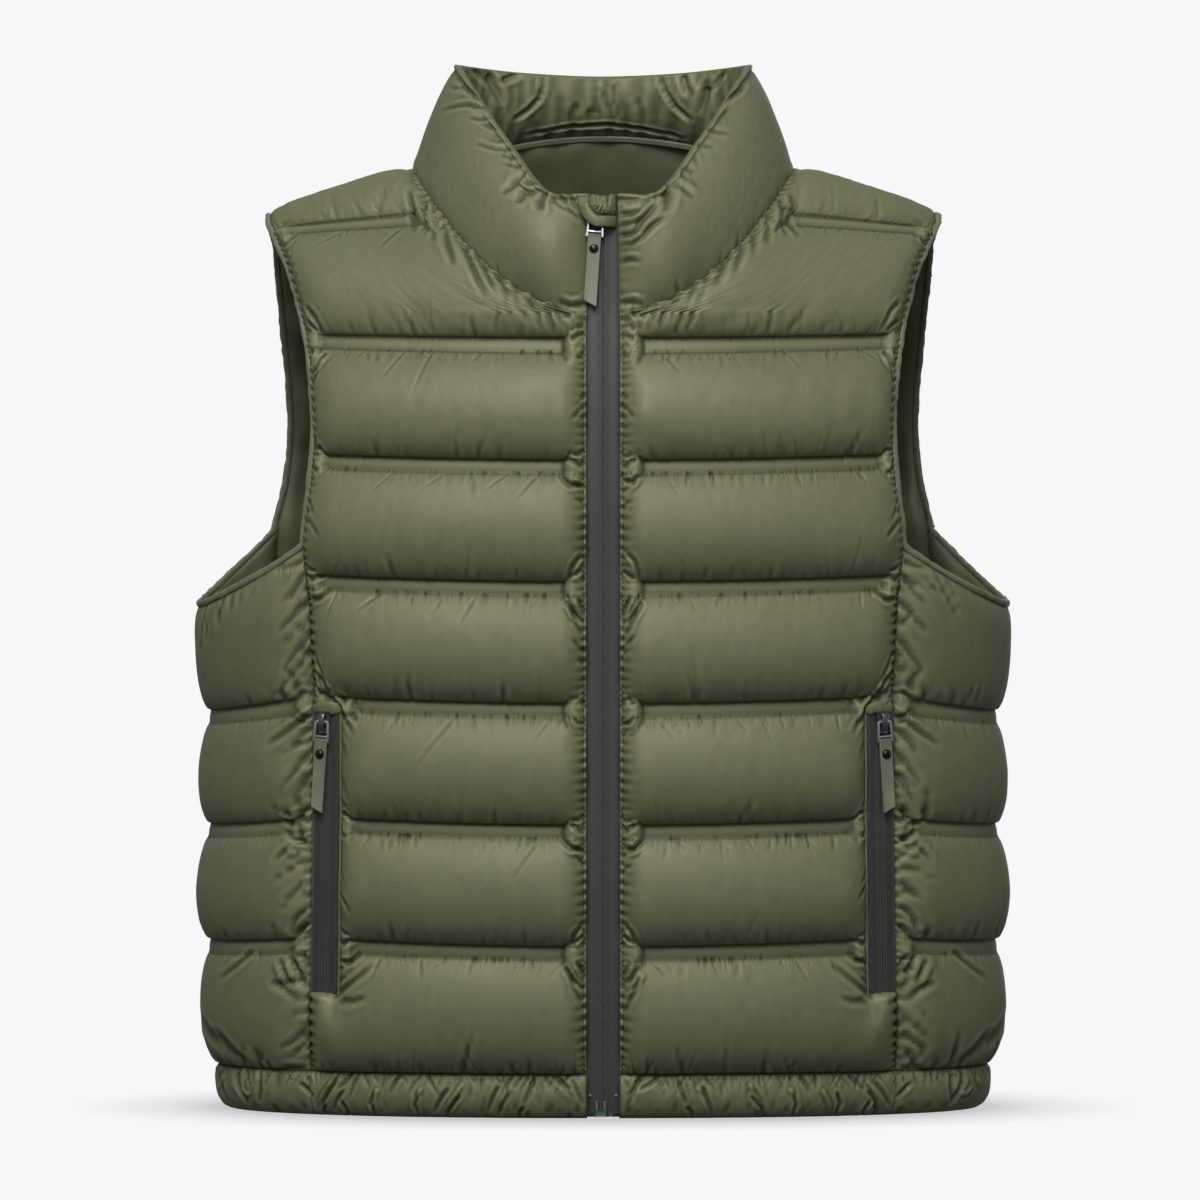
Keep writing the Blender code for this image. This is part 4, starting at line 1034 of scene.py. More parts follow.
        (1.62, 1.12, 182.7, -242.3, 188.8, -246, 195.1, -247.2),
    ),
    "side_left": (
        (2, 1.82, 177.7, -337, 183.8, -340.6, 191.4, -347.5, 201.1, -354.7),
        (1.5, -0.98, 177.6, -332.7, 183.8, -338.2, 192.6, -344.4),
        (1.75, 1.4, 177.1, -344.2, 182.6, -350.4, 187.5, -358.9),
        (1.88, 1.54, 177.7, -358.8, 181.9, -367.3, 188.6, -378.2),
        (1.62, 1.26, 177.1, -370.9, 180.7, -378.2, 186.3, -388),
        (1.5, -0.84, 178.9, -364.9, 183.8, -373.4, 189.9, -383.1),
        (1.62, 1.82, 181.4, -391.6, 183.9, -401.4, 181.9, -411, 183.8, -418.3, 189.4, -417.2),
        (1.38, -1.05, 193.7, -395.4, 188.9, -398.5, 183.2, -397.1),
        (1.5, 1.4, 192.6, -400.3, 187.6, -402.7, 183.9, -401.4),
        (1.38, -1.05, 190, -416, 186.4, -420.2, 183.2, -418.3, 180.7, -414),
        (1.62, 1.12, 194.9, -423.3, 190, -417.2, 186.3, -412.3),
        (1.5, 1.26, 194.6, -485.6, 190.7, -493.2, 187.1, -500.5),
        (1.38, -0.84, 195.8, -489.2, 192, -496.4, 188.8, -501.6),
        (1.88, 1.54, 196.3, -498.9, 190, -502.3, 181.6, -509.7),
        (1.75, 1.4, 180.2, -463.9, 185.2, -469.5, 190.2, -473.3),
        (1.75, 1.26, 179.5, -436.5, 185, -443.7, 191.1, -448.7),
        (1.88, 1.68, 244.3, -517.8, 233.5, -532.7, 222, -545, 214.7, -553),
        (1.62, -1.12, 246.4, -524.7, 235.1, -539.2, 226.1, -549.8),
        (2, 1.96, 230.8, -529.9, 221.9, -540.5, 210.7, -551.3),
        (1.62, 1.4, 208.1, -548.7, 205.8, -552.4),
        (1.75, 1.54, 181.8, -550.1, 190.5, -549.1, 199.4, -553.3),
        (1.75, 1.26, 180.4, -528, 186.6, -534.1, 194.1, -538.1),
        (1.75, 1.26, 214.2, -481.5, 221.8, -490.3, 230.8, -499.3),
        (1.75, 1.26, 183.8, -321.2, 186.3, -312.7, 191.2, -305.5),
        (1.5, -0.84, 180.1, -320, 184.5, -320, 188.2, -323.7, 190.1, -329.2),
        (1.75, 1.4, 181.9, -251.4, 186.8, -260.5, 193.5, -269),
        (1.75, 1.4, 180.7, -266.6, 186.2, -276.3, 193.4, -284.8),
        (1.75, 1.26, 180.1, -290.9, 185, -300, 191.2, -307.9),
        (1.62, 1.12, 182.5, -242.3, 188.7, -246, 194.9, -247.2),
    ),
    "hem_right": (
        (1.3, 2.2, 222.7, -553.7, 220.9, -562.3, 216.2, -569, 213.8, -575.3),
        (1.1, -1.5, 218.8, -563.8, 214.8, -568.3, 212.2, -566.2),
        (1.3, 1.8, 234.1, -557.3, 230, -567.8, 226.3, -575.9),
        (1.1, -1.2, 231.1, -559.1, 232.7, -566.9),
        (1.2, 1.8, 208.5, -555.1, 206.5, -564.7, 207.3, -573.4),
        (1.2, 1.6, 160.9, -557.9, 165.9, -566, 170.9, -575.4),
        (1, -1.3, 163.4, -558.1, 168.3, -566.6, 171.5, -573),
        (1.1, 1.6, 156.6, -563.8, 160.3, -570.1, 162.3, -576.4),
        (1.1, 2.2, 137.6, -564.7, 139.5, -571, 137.2, -579.6),
        (1, -1.3, 135.8, -562.8, 138.8, -569.5, 140.7, -577),
        (1.1, 2.2, 111.4, -564.2, 113.2, -571, 110.9, -579.7),
        (1, -1.3, 109.5, -561.7, 113.2, -568.5, 115.1, -575.3),
        (1.2, 1.8, 93.7, -561.5, 98.6, -569.5, 101.7, -576.3),
        (1.1, 2, 86.5, -565.7, 92, -573.1, 95.1, -580.1),
        (1, -1.2, 85.2, -558.9, 88.9, -565.1, 93.8, -572.5),
        (1.1, 2, 63.5, -560.1, 66.5, -567.3, 69.6, -575.9),
        (1.1, 2, 55.6, -562.5, 60.5, -571, 63.6, -579.1),
        (1, -1.3, 54.4, -560, 57.4, -566.1, 61.7, -574.7),
        (1.2, 1.6, 26.6, -553.9, 22.4, -561, 17.6, -565.9),
        (1.1, 1.4, 30.9, -552.7, 24.8, -558.7, 15.8, -562.2),
        (1.1, 1.6, 18.2, -556.3, 14.6, -564.7, 11.6, -570.8),
        (1.2, 1.4, 152.3, -552.9, 155.9, -558.9, 161, -562.9),
        (1.1, 1.8, 182, -559.8, 177, -564.5, 173.4, -568.3),
        (1.2, 1.6, 41.1, -554, 44.2, -562.4, 47.8, -570.9),
        (1.2, 1.6, 123, -553.5, 126, -559.6, 127.9, -564.6),
        (1.1, 1.7, 47.8, -572.2, 50.2, -575.9, 50.9, -579.7),
        (1.1, 1.8, 157.3, -570, 154.9, -575, 153.8, -580.6),
        (1.1, 1.8, 167.1, -572.8, 169, -576.6, 167.9, -579.8),
    ),
    "hem_left": (
        (1.3, 2.2, 218.6, -553.3, 216.7, -561.7, 212.2, -568.7, 209.8, -575),
        (1.1, -1.5, 221.9, -564, 218, -568.6, 215.4, -566.5),
        (1.3, 1.8, 237.5, -557.8, 233.2, -568.2, 229.4, -576),
        (1.1, -1.2, 227, -558.7, 228.4, -566.3),
        (1.2, 1.8, 211.5, -555.2, 209.6, -564.8, 210.4, -573.8),
        (1.2, 1.6, 163.8, -558, 168.8, -566.1, 173.8, -575.5),
        (1, -1.3, 159.6, -558, 164.5, -566.6, 167.7, -572.9),
        (1.1, 1.6, 159.6, -564.1, 163.4, -570.4, 165.2, -576.4),
        (1.1, 2.2, 140.5, -564.7, 142.4, -570.9, 140.1, -579.6),
        (1, -1.3, 131.9, -562.8, 135, -569.5, 136.9, -577),
        (1.1, 2.2, 114.2, -564.2, 116.1, -570.9, 113.8, -579.7),
        (1, -1.3, 112.4, -561.7, 116.1, -568.5, 118, -575.3),
        (1.2, 1.8, 89.9, -561.5, 94.8, -569.5, 97.9, -576.2),
        (1.1, 2, 89.4, -565.8, 94.8, -573.1, 98, -580.1),
        (1, -1.2, 88.1, -559, 91.8, -565.3, 96.7, -572.5),
        (1.1, 2, 59.7, -560, 62.7, -567.3, 65.8, -576),
        (1.1, 2, 58.5, -562.4, 63.3, -571, 66.4, -579.1),
        (1, -1.3, 57.3, -560.1, 60.3, -566.1, 64.5, -574.7),
        (1.2, 1.6, 22.8, -553.8, 18.6, -561.1, 13.8, -566),
        (1.1, 1.4, 33.7, -552.7, 27.7, -558.7, 18.6, -562.3),
        (1.1, 1.6, 21, -556.3, 17.4, -564.7, 14.4, -570.9),
        (1.2, 1.4, 148.5, -552.9, 152.1, -558.9, 157.2, -562.9),
        (1.1, 1.8, 184.9, -559.9, 179.9, -564.6, 176.3, -568.3),
        (1.2, 1.6, 44, -554, 47, -562.4, 50.7, -571),
        (1.2, 1.6, 119.1, -553.5, 122.2, -559.5, 124, -564.4),
        (1.1, 1.7, 50.6, -572.2, 53.1, -575.9, 53.7, -579.7),
        (1.1, 1.8, 160.2, -570.1, 157.8, -575.1, 156.7, -580.7),
        (1.1, 1.8, 163.3, -572.7, 165.2, -576.4, 164.1, -579.7),
    ),
}

# Folds at the end of a stitched band, in millimetres from where it meets the edge.
KNOTS = (
    (
        (1.25, 1.8, 0.6, 7.9, 5.4, 7.3, 10.3, 2.4),
        (1.38, 2, 0, 0, 2.4, -6, 6.7, -7.3),
        (1.25, 1.2, 0.6, -28.4, 3, -33.3, 6.7, -37.5),
        (1.25, 1.5, 0.6, -39.3, 6, -44.2, 10.3, -49.6),
        (1.25, 1.2, 0.6, 15.7, 3.6, 12.1, 6, 10.3),
    ),
    (
        (1.38, 2, 3.6, 20, 8.5, 14.5, 12.1, 4.8),
        (1.25, 1.6, 2.4, 11.5, 6.7, 8.5, 9.7, 6),
        (1.25, 1.3, 0, 8.5, 4.8, 5.4),
        (1.38, 2.2, 5.4, -6, 2.4, -12.1, 0.6, -19.4),
        (1.12, -1.3, 7.3, -6.7, 4.2, -12.7, 1.8, -18.8),
        (1.38, 2.2, 12.1, -9.1, 8.5, -15.7, 2.4, -21.2),
        (1.12, -1.3, 12.7, -10.9, 9.1, -18.1, 3, -23),
        (1.38, 1.8, 10.3, -13.3, 6, -23, 1.8, -32.1),
    ),
    (
        (1.38, 1.8, 0.6, 3.6, 4.2, 1.2, 7.9, 3.6, 12.7, 5.4),
        (1.5, 2.4, 3, -9.7, 9.1, -9.7, 15.1, -3.6),
        (1.25, 1.7, 0, -13.9, 6.7, -10.9, 10.3, -8.5),
        (1.25, 1.3, 0.6, -22.4, 3.6, -18.8, 7.3, -17.5),
        (1.25, 1.2, 1.2, 10.3, 4.8, 7.9, 8.5, 7.9),
    ),
)


def drawn(points, folds, behind=False):
    """How far the laid folds move the cloth: each is a groove with a soft lip on either side, or
    a ridge, and thins out at its two ends. Seen from the front, on the cloth that faces it."""
    seen = place(points)
    x, z = seen[..., 0] * 1000, seen[..., 2] * 1000
    forward = points[..., 1] * (1 if behind else -1)
    facing = forward > 0
    total = np.zeros(x.shape)
    for width, depth, *line in folds:
        line = np.reshape(line, (-1, 2))
        low, high = line.min(0) - FOLD_REACH * width, line.max(0) + FOLD_REACH * width
        near = facing & (x > low[0]) & (x < high[0]) & (z > low[1]) & (z < high[1])
        if not near.any():
            continue
        runs = np.hypot(*np.diff(line, axis=0).T)
        off, at, passed = np.full(near.sum(), 1e3), np.zeros(near.sum()), 0.0
        for (x0, z0), (x1, z1), run in zip(line, line[1:], runs):
            along = ((x[near] - x0) * (x1 - x0) + (z[near] - z0) * (z1 - z0)) / run**2
            along = np.clip(along, 0, 1)
            gap = np.hypot(x[near] - x0 - along * (x1 - x0), z[near] - z0 - along * (z1 - z0))
            at = np.where(gap < off, passed + along * run, at)
            off = np.minimum(off, gap)
            passed += run
        share = at / passed
        strength = np.clip(FOLD_START + 5 * share, 0, 1) * (1 - share**3)
        off = off / width
        shape = bell(off, 1) - LIP * bell(off - LIP_AT, LIP_WIDTH)
        strength *= np.clip(forward[near] / LAID_FADE, 0, 1)
        total[near] -= LAID_DEPTH * depth / 1000 * shape * strength
    return total


# ---------------------------------------------------------------- settling the cloth


def pairs(shape, down, right):
    """Batches of slices that pair each point with the one so many rows and columns away."""
    rows, columns = shape
    if down:
        ahead, behind = max(0, right), max(0, -right)
        for first in range(2 * down):
            yield (
                (slice(first, rows - down, 2 * down), slice(behind, columns - ahead)),
                (slice(first + down, rows, 2 * down), slice(ahead, columns - behind)),
            )
    else:
        for first in range(2 * right):
            yield (
                (slice(None), slice(first, columns - right, 2 * right)),
                (slice(None), slice(first + right, columns, 2 * right)),
            )


def cloth_links(start, free, along, up, bend):
    """Each thread of the cloth as a pair of points, its rest length and how far each end gives."""
    links = []
    kinds = (
        (0, 1, along, 1.0),
        (1, 0, up, 1.0),
        (1, 1, (along + up) / 2, 0.4),
        (1, -1, (along + up) / 2, 0.4),
        (0, 2, along, bend),
        (2, 0, up, bend),
    )
    for down, right, fullness, strength in kinds:
        for a, b in pairs(start.shape[:2], down, right):
            gap = np.linalg.norm(start[b] - start[a], axis=-1)
            rest = gap * (fullness[a] + fullness[b]) / 2
            both = free[a] + free[b] + 1e-9
            shares = [(strength * free[k] / both)[..., None].astype(np.float32) for k in (a, b)]
            links.append((a, b, rest[..., None].astype(np.float32), *shares))
    return links


def settle(base, normal, start, free, press, along, up, steps, push, weight, bend, floor):
    """Lets down push the cloth out while its sewn points hold, until it puckers by itself.

    base and normal give the plain surface, free is 0 where a point is sewn down, press is
    the down's share of push, along and up are how much longer the cloth is cut than its seams."""
    q = start.astype(np.float32)
    links = cloth_links(start, free, along, up, bend)
    base, normal = base.astype(np.float32), normal.astype(np.float32)
    free = free[..., None].astype(np.float32)
    thrust = (press[..., None] * push).astype(np.float32) * free
    drop = np.array([0, 0, -weight], np.float32) * free
    speed = np.zeros_like(q)
    for step in range(steps):
        if step % 2 == 0:
            out = normals_of(q).astype(np.float32)
            out *= np.sign((out * normal).sum())
        speed = DAMPING * speed + out * thrust + drop
        was = q.copy()
        q += speed
        for _ in range(2):
            for a, b, rest, give_a, give_b in links:
                gap = q[b] - q[a]
                length = np.sqrt(np.einsum("...k,...k->...", gap, gap))[..., None]
                gap *= 1 - rest / (length + 1e-9)
                q[a] += gap * give_a
                q[b] -= gap * give_b
        height = np.einsum("...k,...k->...", q - base, normal)[..., None]
        q -= normal * (np.minimum(height - floor, 0) * free)
        speed = q - was
    return q.astype(float)


# ---------------------------------------------------------------- folds drawn at random


def uneven(rng, middle, spread=0.45, most=2.6):
    """A size that varies by a share of itself, with a few large ones."""
    return middle * min(math.exp(rng.normal(0, spread)), most)


def fan(rng, edge, into, low, high, spacing, length, width, depth, spread=1.0, lean=0.0):
    """Folds that start on an upright seam and fan towards the band's ends above and below."""
    folds = []
    upward = low + rng.uniform(0.2, 0.8) * spacing
    while upward < high:
        share = (upward - low) / (high - low)
        run = uneven(rng, length)
        tilt = (share - 0.5) * 2 * spread * rng.uniform(0.4, 1.5) + lean + rng.normal(0, 0.25)
        folds.append(
            (
                edge,
                upward,
                edge + into * run,
                upward + tilt * run,
                width * rng.uniform(0.7, 1.2) * (run / length) ** 0.5,
                uneven(rng, depth, 0.5, 2.0),
            )
        )
        upward += uneven(rng, spacing, 0.5)
    return folds


def puckers(rng, left, right, upward, way, spacing, length, width, depth, lean=0.0):
    """Short folds that start on a stitched line and run up or down from it."""
    folds = []
    across = left + rng.uniform(0, 1) * spacing
    while across < right:
        run = uneven(rng, length, 0.5)
        folds.append(
            (
                across,
                upward,
                across + (rng.normal(0, 0.28) + lean) * run,
                upward + way * run,
                width * rng.uniform(0.7, 1.2) * (run / length) ** 0.4,
                uneven(rng, depth, 0.5, 2.0),
            )
        )
        across += uneven(rng, spacing, 0.5)
    return folds


def knot(rng, edge, into, upward, reach, depth):
    """The crumple where a quilt line runs into a seam: a roll across the line, with creases
    that run from it to the seam above and below."""
    roll = edge + into * reach * rng.uniform(0.85, 1.15)
    half = QUILT_BAND * rng.uniform(0.9, 1.4)
    lean = rng.uniform(-0.4, 0.4) * QUILT_BAND
    folds = [
        (roll, upward + half, roll + lean, upward - half, 0.0024, -depth * 0.9),
        (roll + into * 0.0035, upward + half, roll + into * 0.003, upward - half, 0.0016, depth * 0.7),
    ]
    for way in (-1, 1):
        for _ in range(2):
            drop = way * uneven(rng, reach * 1.1, 0.3)
            folds.append(
                (
                    roll - into * 0.002,
                    upward + way * QUILT_BAND * rng.uniform(0.1, 0.6),
                    edge + into * rng.uniform(0.0, 0.003),
                    upward + drop,
                    rng.uniform(0.0012, 0.0021),
                    uneven(rng, depth, 0.3),
                )
            )
    return folds


# ---------------------------------------------------------------- meshes


def new_object(name, points, faces, finish, uv=None, pull=None, painted_shading=None):
    mesh = bpy.data.meshes.new(name)
    mesh.from_pydata(np.asarray(points).tolist(), [], [tuple(f) for f in faces])
    mesh.update()
    if uv is not None:
        layer = mesh.uv_layers.new(name="cloth")
        corner = np.empty(len(mesh.loops), np.int32)
        mesh.loops.foreach_get("vertex_index", corner)
        layer.data.foreach_set("uv", np.asarray(uv, np.float32)[corner].ravel())
    if pull is not None:
        values = np.zeros((len(points), 4), np.float32)
        values[: len(pull), :2] = pull
        mesh.attributes.new("pull", "FLOAT_COLOR", "POINT").data.foreach_set("color", values.ravel())
    # Painted shade and light, which the cloth's finish multiplies into its colour
    if painted_shading is not None:
        values = np.asarray(painted_shading, np.float32)
        mesh.attributes.new("painted_shading", "FLOAT", "POINT").data.foreach_set("value", values)
    mesh.shade_smooth()
    mesh.materials.append(finish)
    obj = bpy.data.objects.new(name, mesh)
    bpy.context.scene.collection.objects.link(obj)
    return obj


def border(rows, columns):
    """Grid indices round the edge, in order."""
    first = [(0, j) for j in range(columns - 1)]
    second = [(i, columns - 1) for i in range(rows - 1)]
    third = [(rows - 1, j) for j in range(columns - 1, 0, -1)]
    return first + second + third + [(i, 0) for i in range(rows - 1, 0, -1)]


def every(count, step):
    """Indices one step apart, with the last one in."""
    kept = list(range(0, count - 1, step))
    if count - 1 - kept[-1] < step / 2 and len(kept) > 1:
        kept.pop()
    return kept + [count - 1]


def grid_faces(rows, columns, first=0):
    index = first + np.arange(rows * columns).reshape(rows, columns)
    return np.stack(
        [index[:-1, :-1], index[:-1, 1:], index[1:, 1:], index[1:, :-1]], axis=-1
    ).reshape(-1, 4)


def quilt_mesh(name, outer, inner, rows, columns, uv, finish, mirror=False, pull=None,
               edges=(1, 1, 1, 1)):
    """A closed wall: the outer grid, a coarser inner grid that keeps these rows and columns of
    it, and a rim that joins them all round."""
    full = inner.shape == outer.shape
    # Painted shading for the lining: its own creases' painted shade and light, turned over and weakened,
    # or an even painted shade where its grid is coarser than the outside's
    behind = -0.8 * painted_shading_of(inner, (0,) * 4) if full else np.full(inner.shape[:2], LINING_SHADE)
    painted_shading = np.concatenate([painted_shading_of(outer, edges).ravel(), behind.ravel()])
    if mirror:
        outer, inner = mirrored(outer), mirrored(inner)
    across, along = outer.shape[1], outer.shape[0]
    first = outer.shape[0] * outer.shape[1]
    faces = [tuple(f) for f in grid_faces(along, across)]
    faces += [tuple(f[::-1]) for f in grid_faces(len(rows), len(columns), first)]
    row_of = {r: k for k, r in enumerate(rows)}
    column_of = {c: k for k, c in enumerate(columns)}
    edge = border(along, across)
    kept = [i for i, (r, c) in enumerate(edge) if r in row_of and c in column_of]

    def below(i):
        r, c = edge[i]
        return first + row_of[r] * len(columns) + column_of[c]

    for start, end in zip(kept, kept[1:] + [kept[0] + len(edge)]):
        middle = (start + end) // 2
        run = [edge[i % len(edge)] for i in range(start, end + 1)]
        above = [r * across + c for r, c in run]
        a, b = below(start), below(end % len(edge))
        for i in range(len(above) - 1):
            corner = a if start + i < middle else b
            faces.append((above[i + 1], above[i], corner))
        faces.append((above[middle - start], a, b))
    points = place(np.concatenate([outer.reshape(-1, 3), inner.reshape(-1, 3)]))
    if mirror:
        faces = [f[::-1] for f in faces]
    flat = np.concatenate([uv.reshape(-1, 2), uv[np.ix_(rows, columns)].reshape(-1, 2)])
    pull = None if pull is None else pull.reshape(-1, 2)
    return new_object(name, points, faces, finish, flat, pull, painted_shading)


# ---------------------------------------------------------------- quilted panels


def channel_share(level, last):
    """How far across its channel a row is, from the lower stitched line (0) to the upper (1)."""
    channel = np.minimum(np.floor(level), last - 1)
    low = np.where(channel == 0, 0.0, channel + HALF_BAND)
    high = np.where(channel == last - 1, float(last), channel + 1 - HALF_BAND)
    return np.clip((level - low) / (high - low), 0, 1)


def channel_narrowing(upward, level, last):
    """Each point's channel, from quilt line to quilt line, as a share of the usual width."""
    narrow = np.ones(level.shape)
    for channel in range(last):
        inside = np.where((level[:, 0] >= channel) & (level[:, 0] <= channel + 1))[0]
        width = upward[inside[-1]] - upward[inside[0]]
        narrow[inside] = np.clip(width / CHANNEL, 0, 1)
    return narrow


def to_stitches(level, last):
    """Distance up or down to the nearest stitched line."""
    share = channel_share(level, last)
    return np.minimum(share, 1 - share) * CHANNEL


def distance_to(points, line):
    """Each point's distance to a line of points."""
    flat = points.reshape(-1, 3).astype(np.float32)
    line = line.astype(np.float32)
    nearest = np.empty(len(flat), np.float32)
    for i in range(0, len(flat), 4000):
        gaps = flat[i : i + 4000, None] - line[None]
        nearest[i : i + 4000] = np.sqrt(np.einsum("abk,abk->ab", gaps, gaps)).min(1)
    return nearest.reshape(points.shape[:-1]).astype(float)


def past_end(distance, end):
    """1 where the stitched lines hold the cloth, 0 between their ends and the seam."""
    return np.clip((distance - end + END_FADE / 2) / END_FADE, 0, 1)


def plain_panel(cut):
    """A panel's plain grid and which way is out, how far up it each point is and how far from
    its two sides, where it lies flat under a zip, and how far from the zips its rims run."""
    share, level = np.meshgrid(cut["shares"], cut["levels"])
    base = cut["point"](share, level)
    first, second = distance_to(base, base[::2, 0]), distance_to(base, base[::2, -1])
    flat = cut["flat"](share, level)
    beside = flat.any(1)
    if beside.any():
        at = np.argmin(np.abs(cut["shares"] - POCKET_SHARE))
        second = np.minimum(second, np.where(flat > 0, 0, distance_to(base, base[beside, at])))
    at_zip = (base[:, :1, 0] < ZIP_HALF + 0.001) | (not cut["rims"][0])
    return SimpleNamespace(
        share=share,
        level=level,
        base=base,
        normal=normals_of(base),
        upward=column_distance(base),
        first=first,
        second=second,
        flat=flat,
        at_zip=at_zip,
        to_zips=(
            np.where(at_zip, first, 1.0),
            np.where(beside[:, None], second, 1.0) if beside.any() else second,
        ),
    )


def fill_panel(cut, plain, rng, quilting):
    """Adds to a plain panel how thick its down is, where its stitched lines hold it and how far
    it dives at its seams, and gives the shape that the settling starts from."""
    level, last, flat = plain.level, cut["last"], plain.flat
    first, second, upward = plain.first, plain.second, plain.upward
    thick = channel_narrowing(upward, level, last) * ease(first, cut["falls"][0])
    thick *= ease(second, cut["falls"][1])
    across = channel_share(level, last)
    steepness = quilting.roundness + (UPPER_ROUNDNESS - quilting.roundness) * across
    profile = np.sin(np.pi * across**quilting.sag) ** steepness
    profile *= np.where(level > LEVEL_LINES + 1, YOKE_FULLNESS, 1)
    held = np.minimum(*(past_end(d, end) for d, end in zip((first, second), cut["ends"])))
    loose = (1 - held) * np.where((level > 0.3) & (level < last - 0.3), 1, 0)
    profile = np.maximum(profile, LOOSE_PUFF * loose * (1 - flat))
    body = cut["puff"] * profile * thick
    to_seam = np.minimum(np.minimum(first, second), np.minimum(upward, upward[-1] - upward))
    edge = bell(to_seam, SEAM_DIVE)
    creases = crease_field(cut["across"](plain.base, plain.share), level * CHANNEL, cut["folds"])
    near = to_stitches(level, last)
    ripple = smooth_noise(rng, level.shape, RIPPLE_SPREAD) * RIPPLE
    soft = np.clip(body / 0.002, 0, 1)
    lift = START_LIFT * body - creases * np.clip(body / 0.0035, 0, 1) + ripple * soft
    lift -= quilting.seam_depth * edge
    lift += band_tilt(level, across, last) * np.minimum(ease(first, 0.008), ease(second, 0.008))
    at_line = (near < CLEAR_OF_BAND) & (level > 0.5) & (level < last - 0.5) & (flat < 0.5)
    lift -= STITCH_DIP * at_line * held * np.where(across > 0.5, 1, 0.5)
    rim, valley = rims(*plain.to_zips, cut["rims"])
    lift += rim * (1 - flat)
    upward_way = np.gradient(plain.base, axis=0)
    upward_way /= np.linalg.norm(upward_way, axis=-1, keepdims=True)
    hang = np.sin(np.pi / 2 * np.clip(across / HANG_FROM, 0, 1))
    hang *= np.exp(-np.clip(across - HANG_FROM, 0, 1) / HANG_REACH) * np.clip(thick * 1.4, 0, 1)
    hang *= np.where(loose > 0.5, 0.3, 1) * (1 - flat)
    plain.near, plain.held, plain.valley, plain.body, plain.edge = near, held, valley, body, edge
    lifted = plain.base + plain.normal * lift[..., None]
    return lifted - upward_way * (quilting.overhang * hang)[..., None]


def sew_panel(cut, rng, quilting):
    """Settles one panel in two passes, coarse then fine, and gives its outer and inner grids.

    cut has point(share, level) and across(base, share), the distance along the cloth; the rows'
    levels, the last of them, and the columns' shares; how far the down lifts; the folds, the
    fine folds and the laid ones; flat(share, level), 1 where the cloth lies under a zip;
    and for either side falls, over which the down thins out, ends, where the stitched lines
    stop, and rims, whether the edge is folded beside a zip."""
    levels, last = cut["levels"], cut["last"]
    plain = plain_panel(cut)
    start = fill_panel(cut, plain, rng, quilting)
    base, flat, body, held = plain.base, plain.flat, plain.body, plain.held
    from_line = np.abs(levels - np.round(levels))
    inside = (levels > 0.5) & (levels < last - 0.5)
    sewn = np.flatnonzero(inside & (np.abs(from_line - HALF_BAND) < CLEAR_OF_BAND))
    stitched = (inside & (from_line < HALF_BAND + 1e-6))[:, None]
    pinned = (flat > 0) | (stitched & (held > 0.5)) | (plain.valley > 0.5)
    free = np.where(pinned, 0, free_inside(base.shape[:2]))
    patchy = 1 + PATCHINESS * smooth_noise(rng, base.shape[:2], (9, 7))
    at_seam = bell(plain.first, 0.013) + bell(plain.second, 0.012)
    at_band = bell(plain.near, 0.010)
    along = 1 + SLACK + quilting.band_fullness * at_band * np.clip(patchy, 0, 2)
    up = 1 + SLACK + quilting.seam_fullness * at_seam * np.clip(patchy, 0.2, 2)
    in_band = ((plain.near <= CLEAR_OF_BAND) & (held > 0.5)) | (flat > 0)
    press = np.where(in_band, BAND_PRESS, 1.0)
    floor = (-CLOTH_FLOOR - quilting.seam_depth * plain.edge)[..., None]
    steps = quilting.steps
    if steps:
        start = settle(
            base, plain.normal, start, free, press, along, up, steps, *COARSE_PASS, floor
        )
    moved, flat, body, floor = refine(start - base), refine(flat), refine(body), refine(floor)
    share, level = np.meshgrid(midpoints(cut["shares"]), midpoints(levels))
    base = cut["point"](share, level)
    normal = normals_of(base)
    fine = crease_field(cut["across"](base, share), level * CHANNEL, cut["fine_folds"])
    fine *= np.clip(body / 0.003, 0, 1)
    ripple = smooth_noise(rng, base.shape[:2], FINE_RIPPLE_SPREAD) * FINE_RIPPLE
    ripple *= np.clip(body / 0.002, 0, 1)
    start = base + moved + normal * ripple[..., None]
    pinned = (refine(free) < 0.5) | (flat > 0.5)
    free = np.where(pinned, 0, free_inside(base.shape[:2]))
    if steps:
        along = refine((along - 1) * FINE_FULLNESS + 1)
        up = refine((up - 1) * FINE_FULLNESS + 1)
        press = refine(press)
        start = settle(
            base, normal, start, free, press, along, up, steps // 3, *FINE_PASS, floor
        )
    outer = start - normal * fine[..., None]
    at_zip = refine(np.broadcast_to(plain.at_zip, plain.first.shape).astype(float)) > 0.5
    first, second = refine(plain.first), refine(plain.second)
    clear = np.clip(np.minimum(first, second) / LAID_CLEAR, 0, 1) ** 1.5
    outer += normal * (drawn(base, cut["laid"]) * clear * (1 - flat))[..., None]
    rows, columns = every(len(outer), 3), every(outer.shape[1], 3)
    inner = line_panel(base, normal, level, body, rows, columns, last, rng, quilting)
    out = normals_of(outer)
    neckline, zip_side = np.where(at_zip, 1.0, first), np.where(at_zip, first, 1.0)
    return {
        "outer": outer,
        "inner": inner,
        "rows": rows,
        "columns": columns,
        "uv": cloth_uv(base),
        "pull": gathering(level, last, neckline, (zip_side, second)),
        "bands": [(outer[2 * i], out[2 * i]) for i in sewn],
        "level": level,
        "share": share,
        "normal": out,
    }


def make_panel(name, cut, rng, quilting, mirror=False):
    """Sews a panel, keeps its grids for the stitching and puts it in the place of its solid."""
    made = sew_panel(cut, rng, quilting)
    PANELS[name] = made
    wall = [made[key] for key in ("outer", "inner", "rows", "columns", "uv")]
    obj = quilt_mesh(f"shell_{name}", *wall, finish("shell"), mirror, made["pull"])
    dress(obj, name)


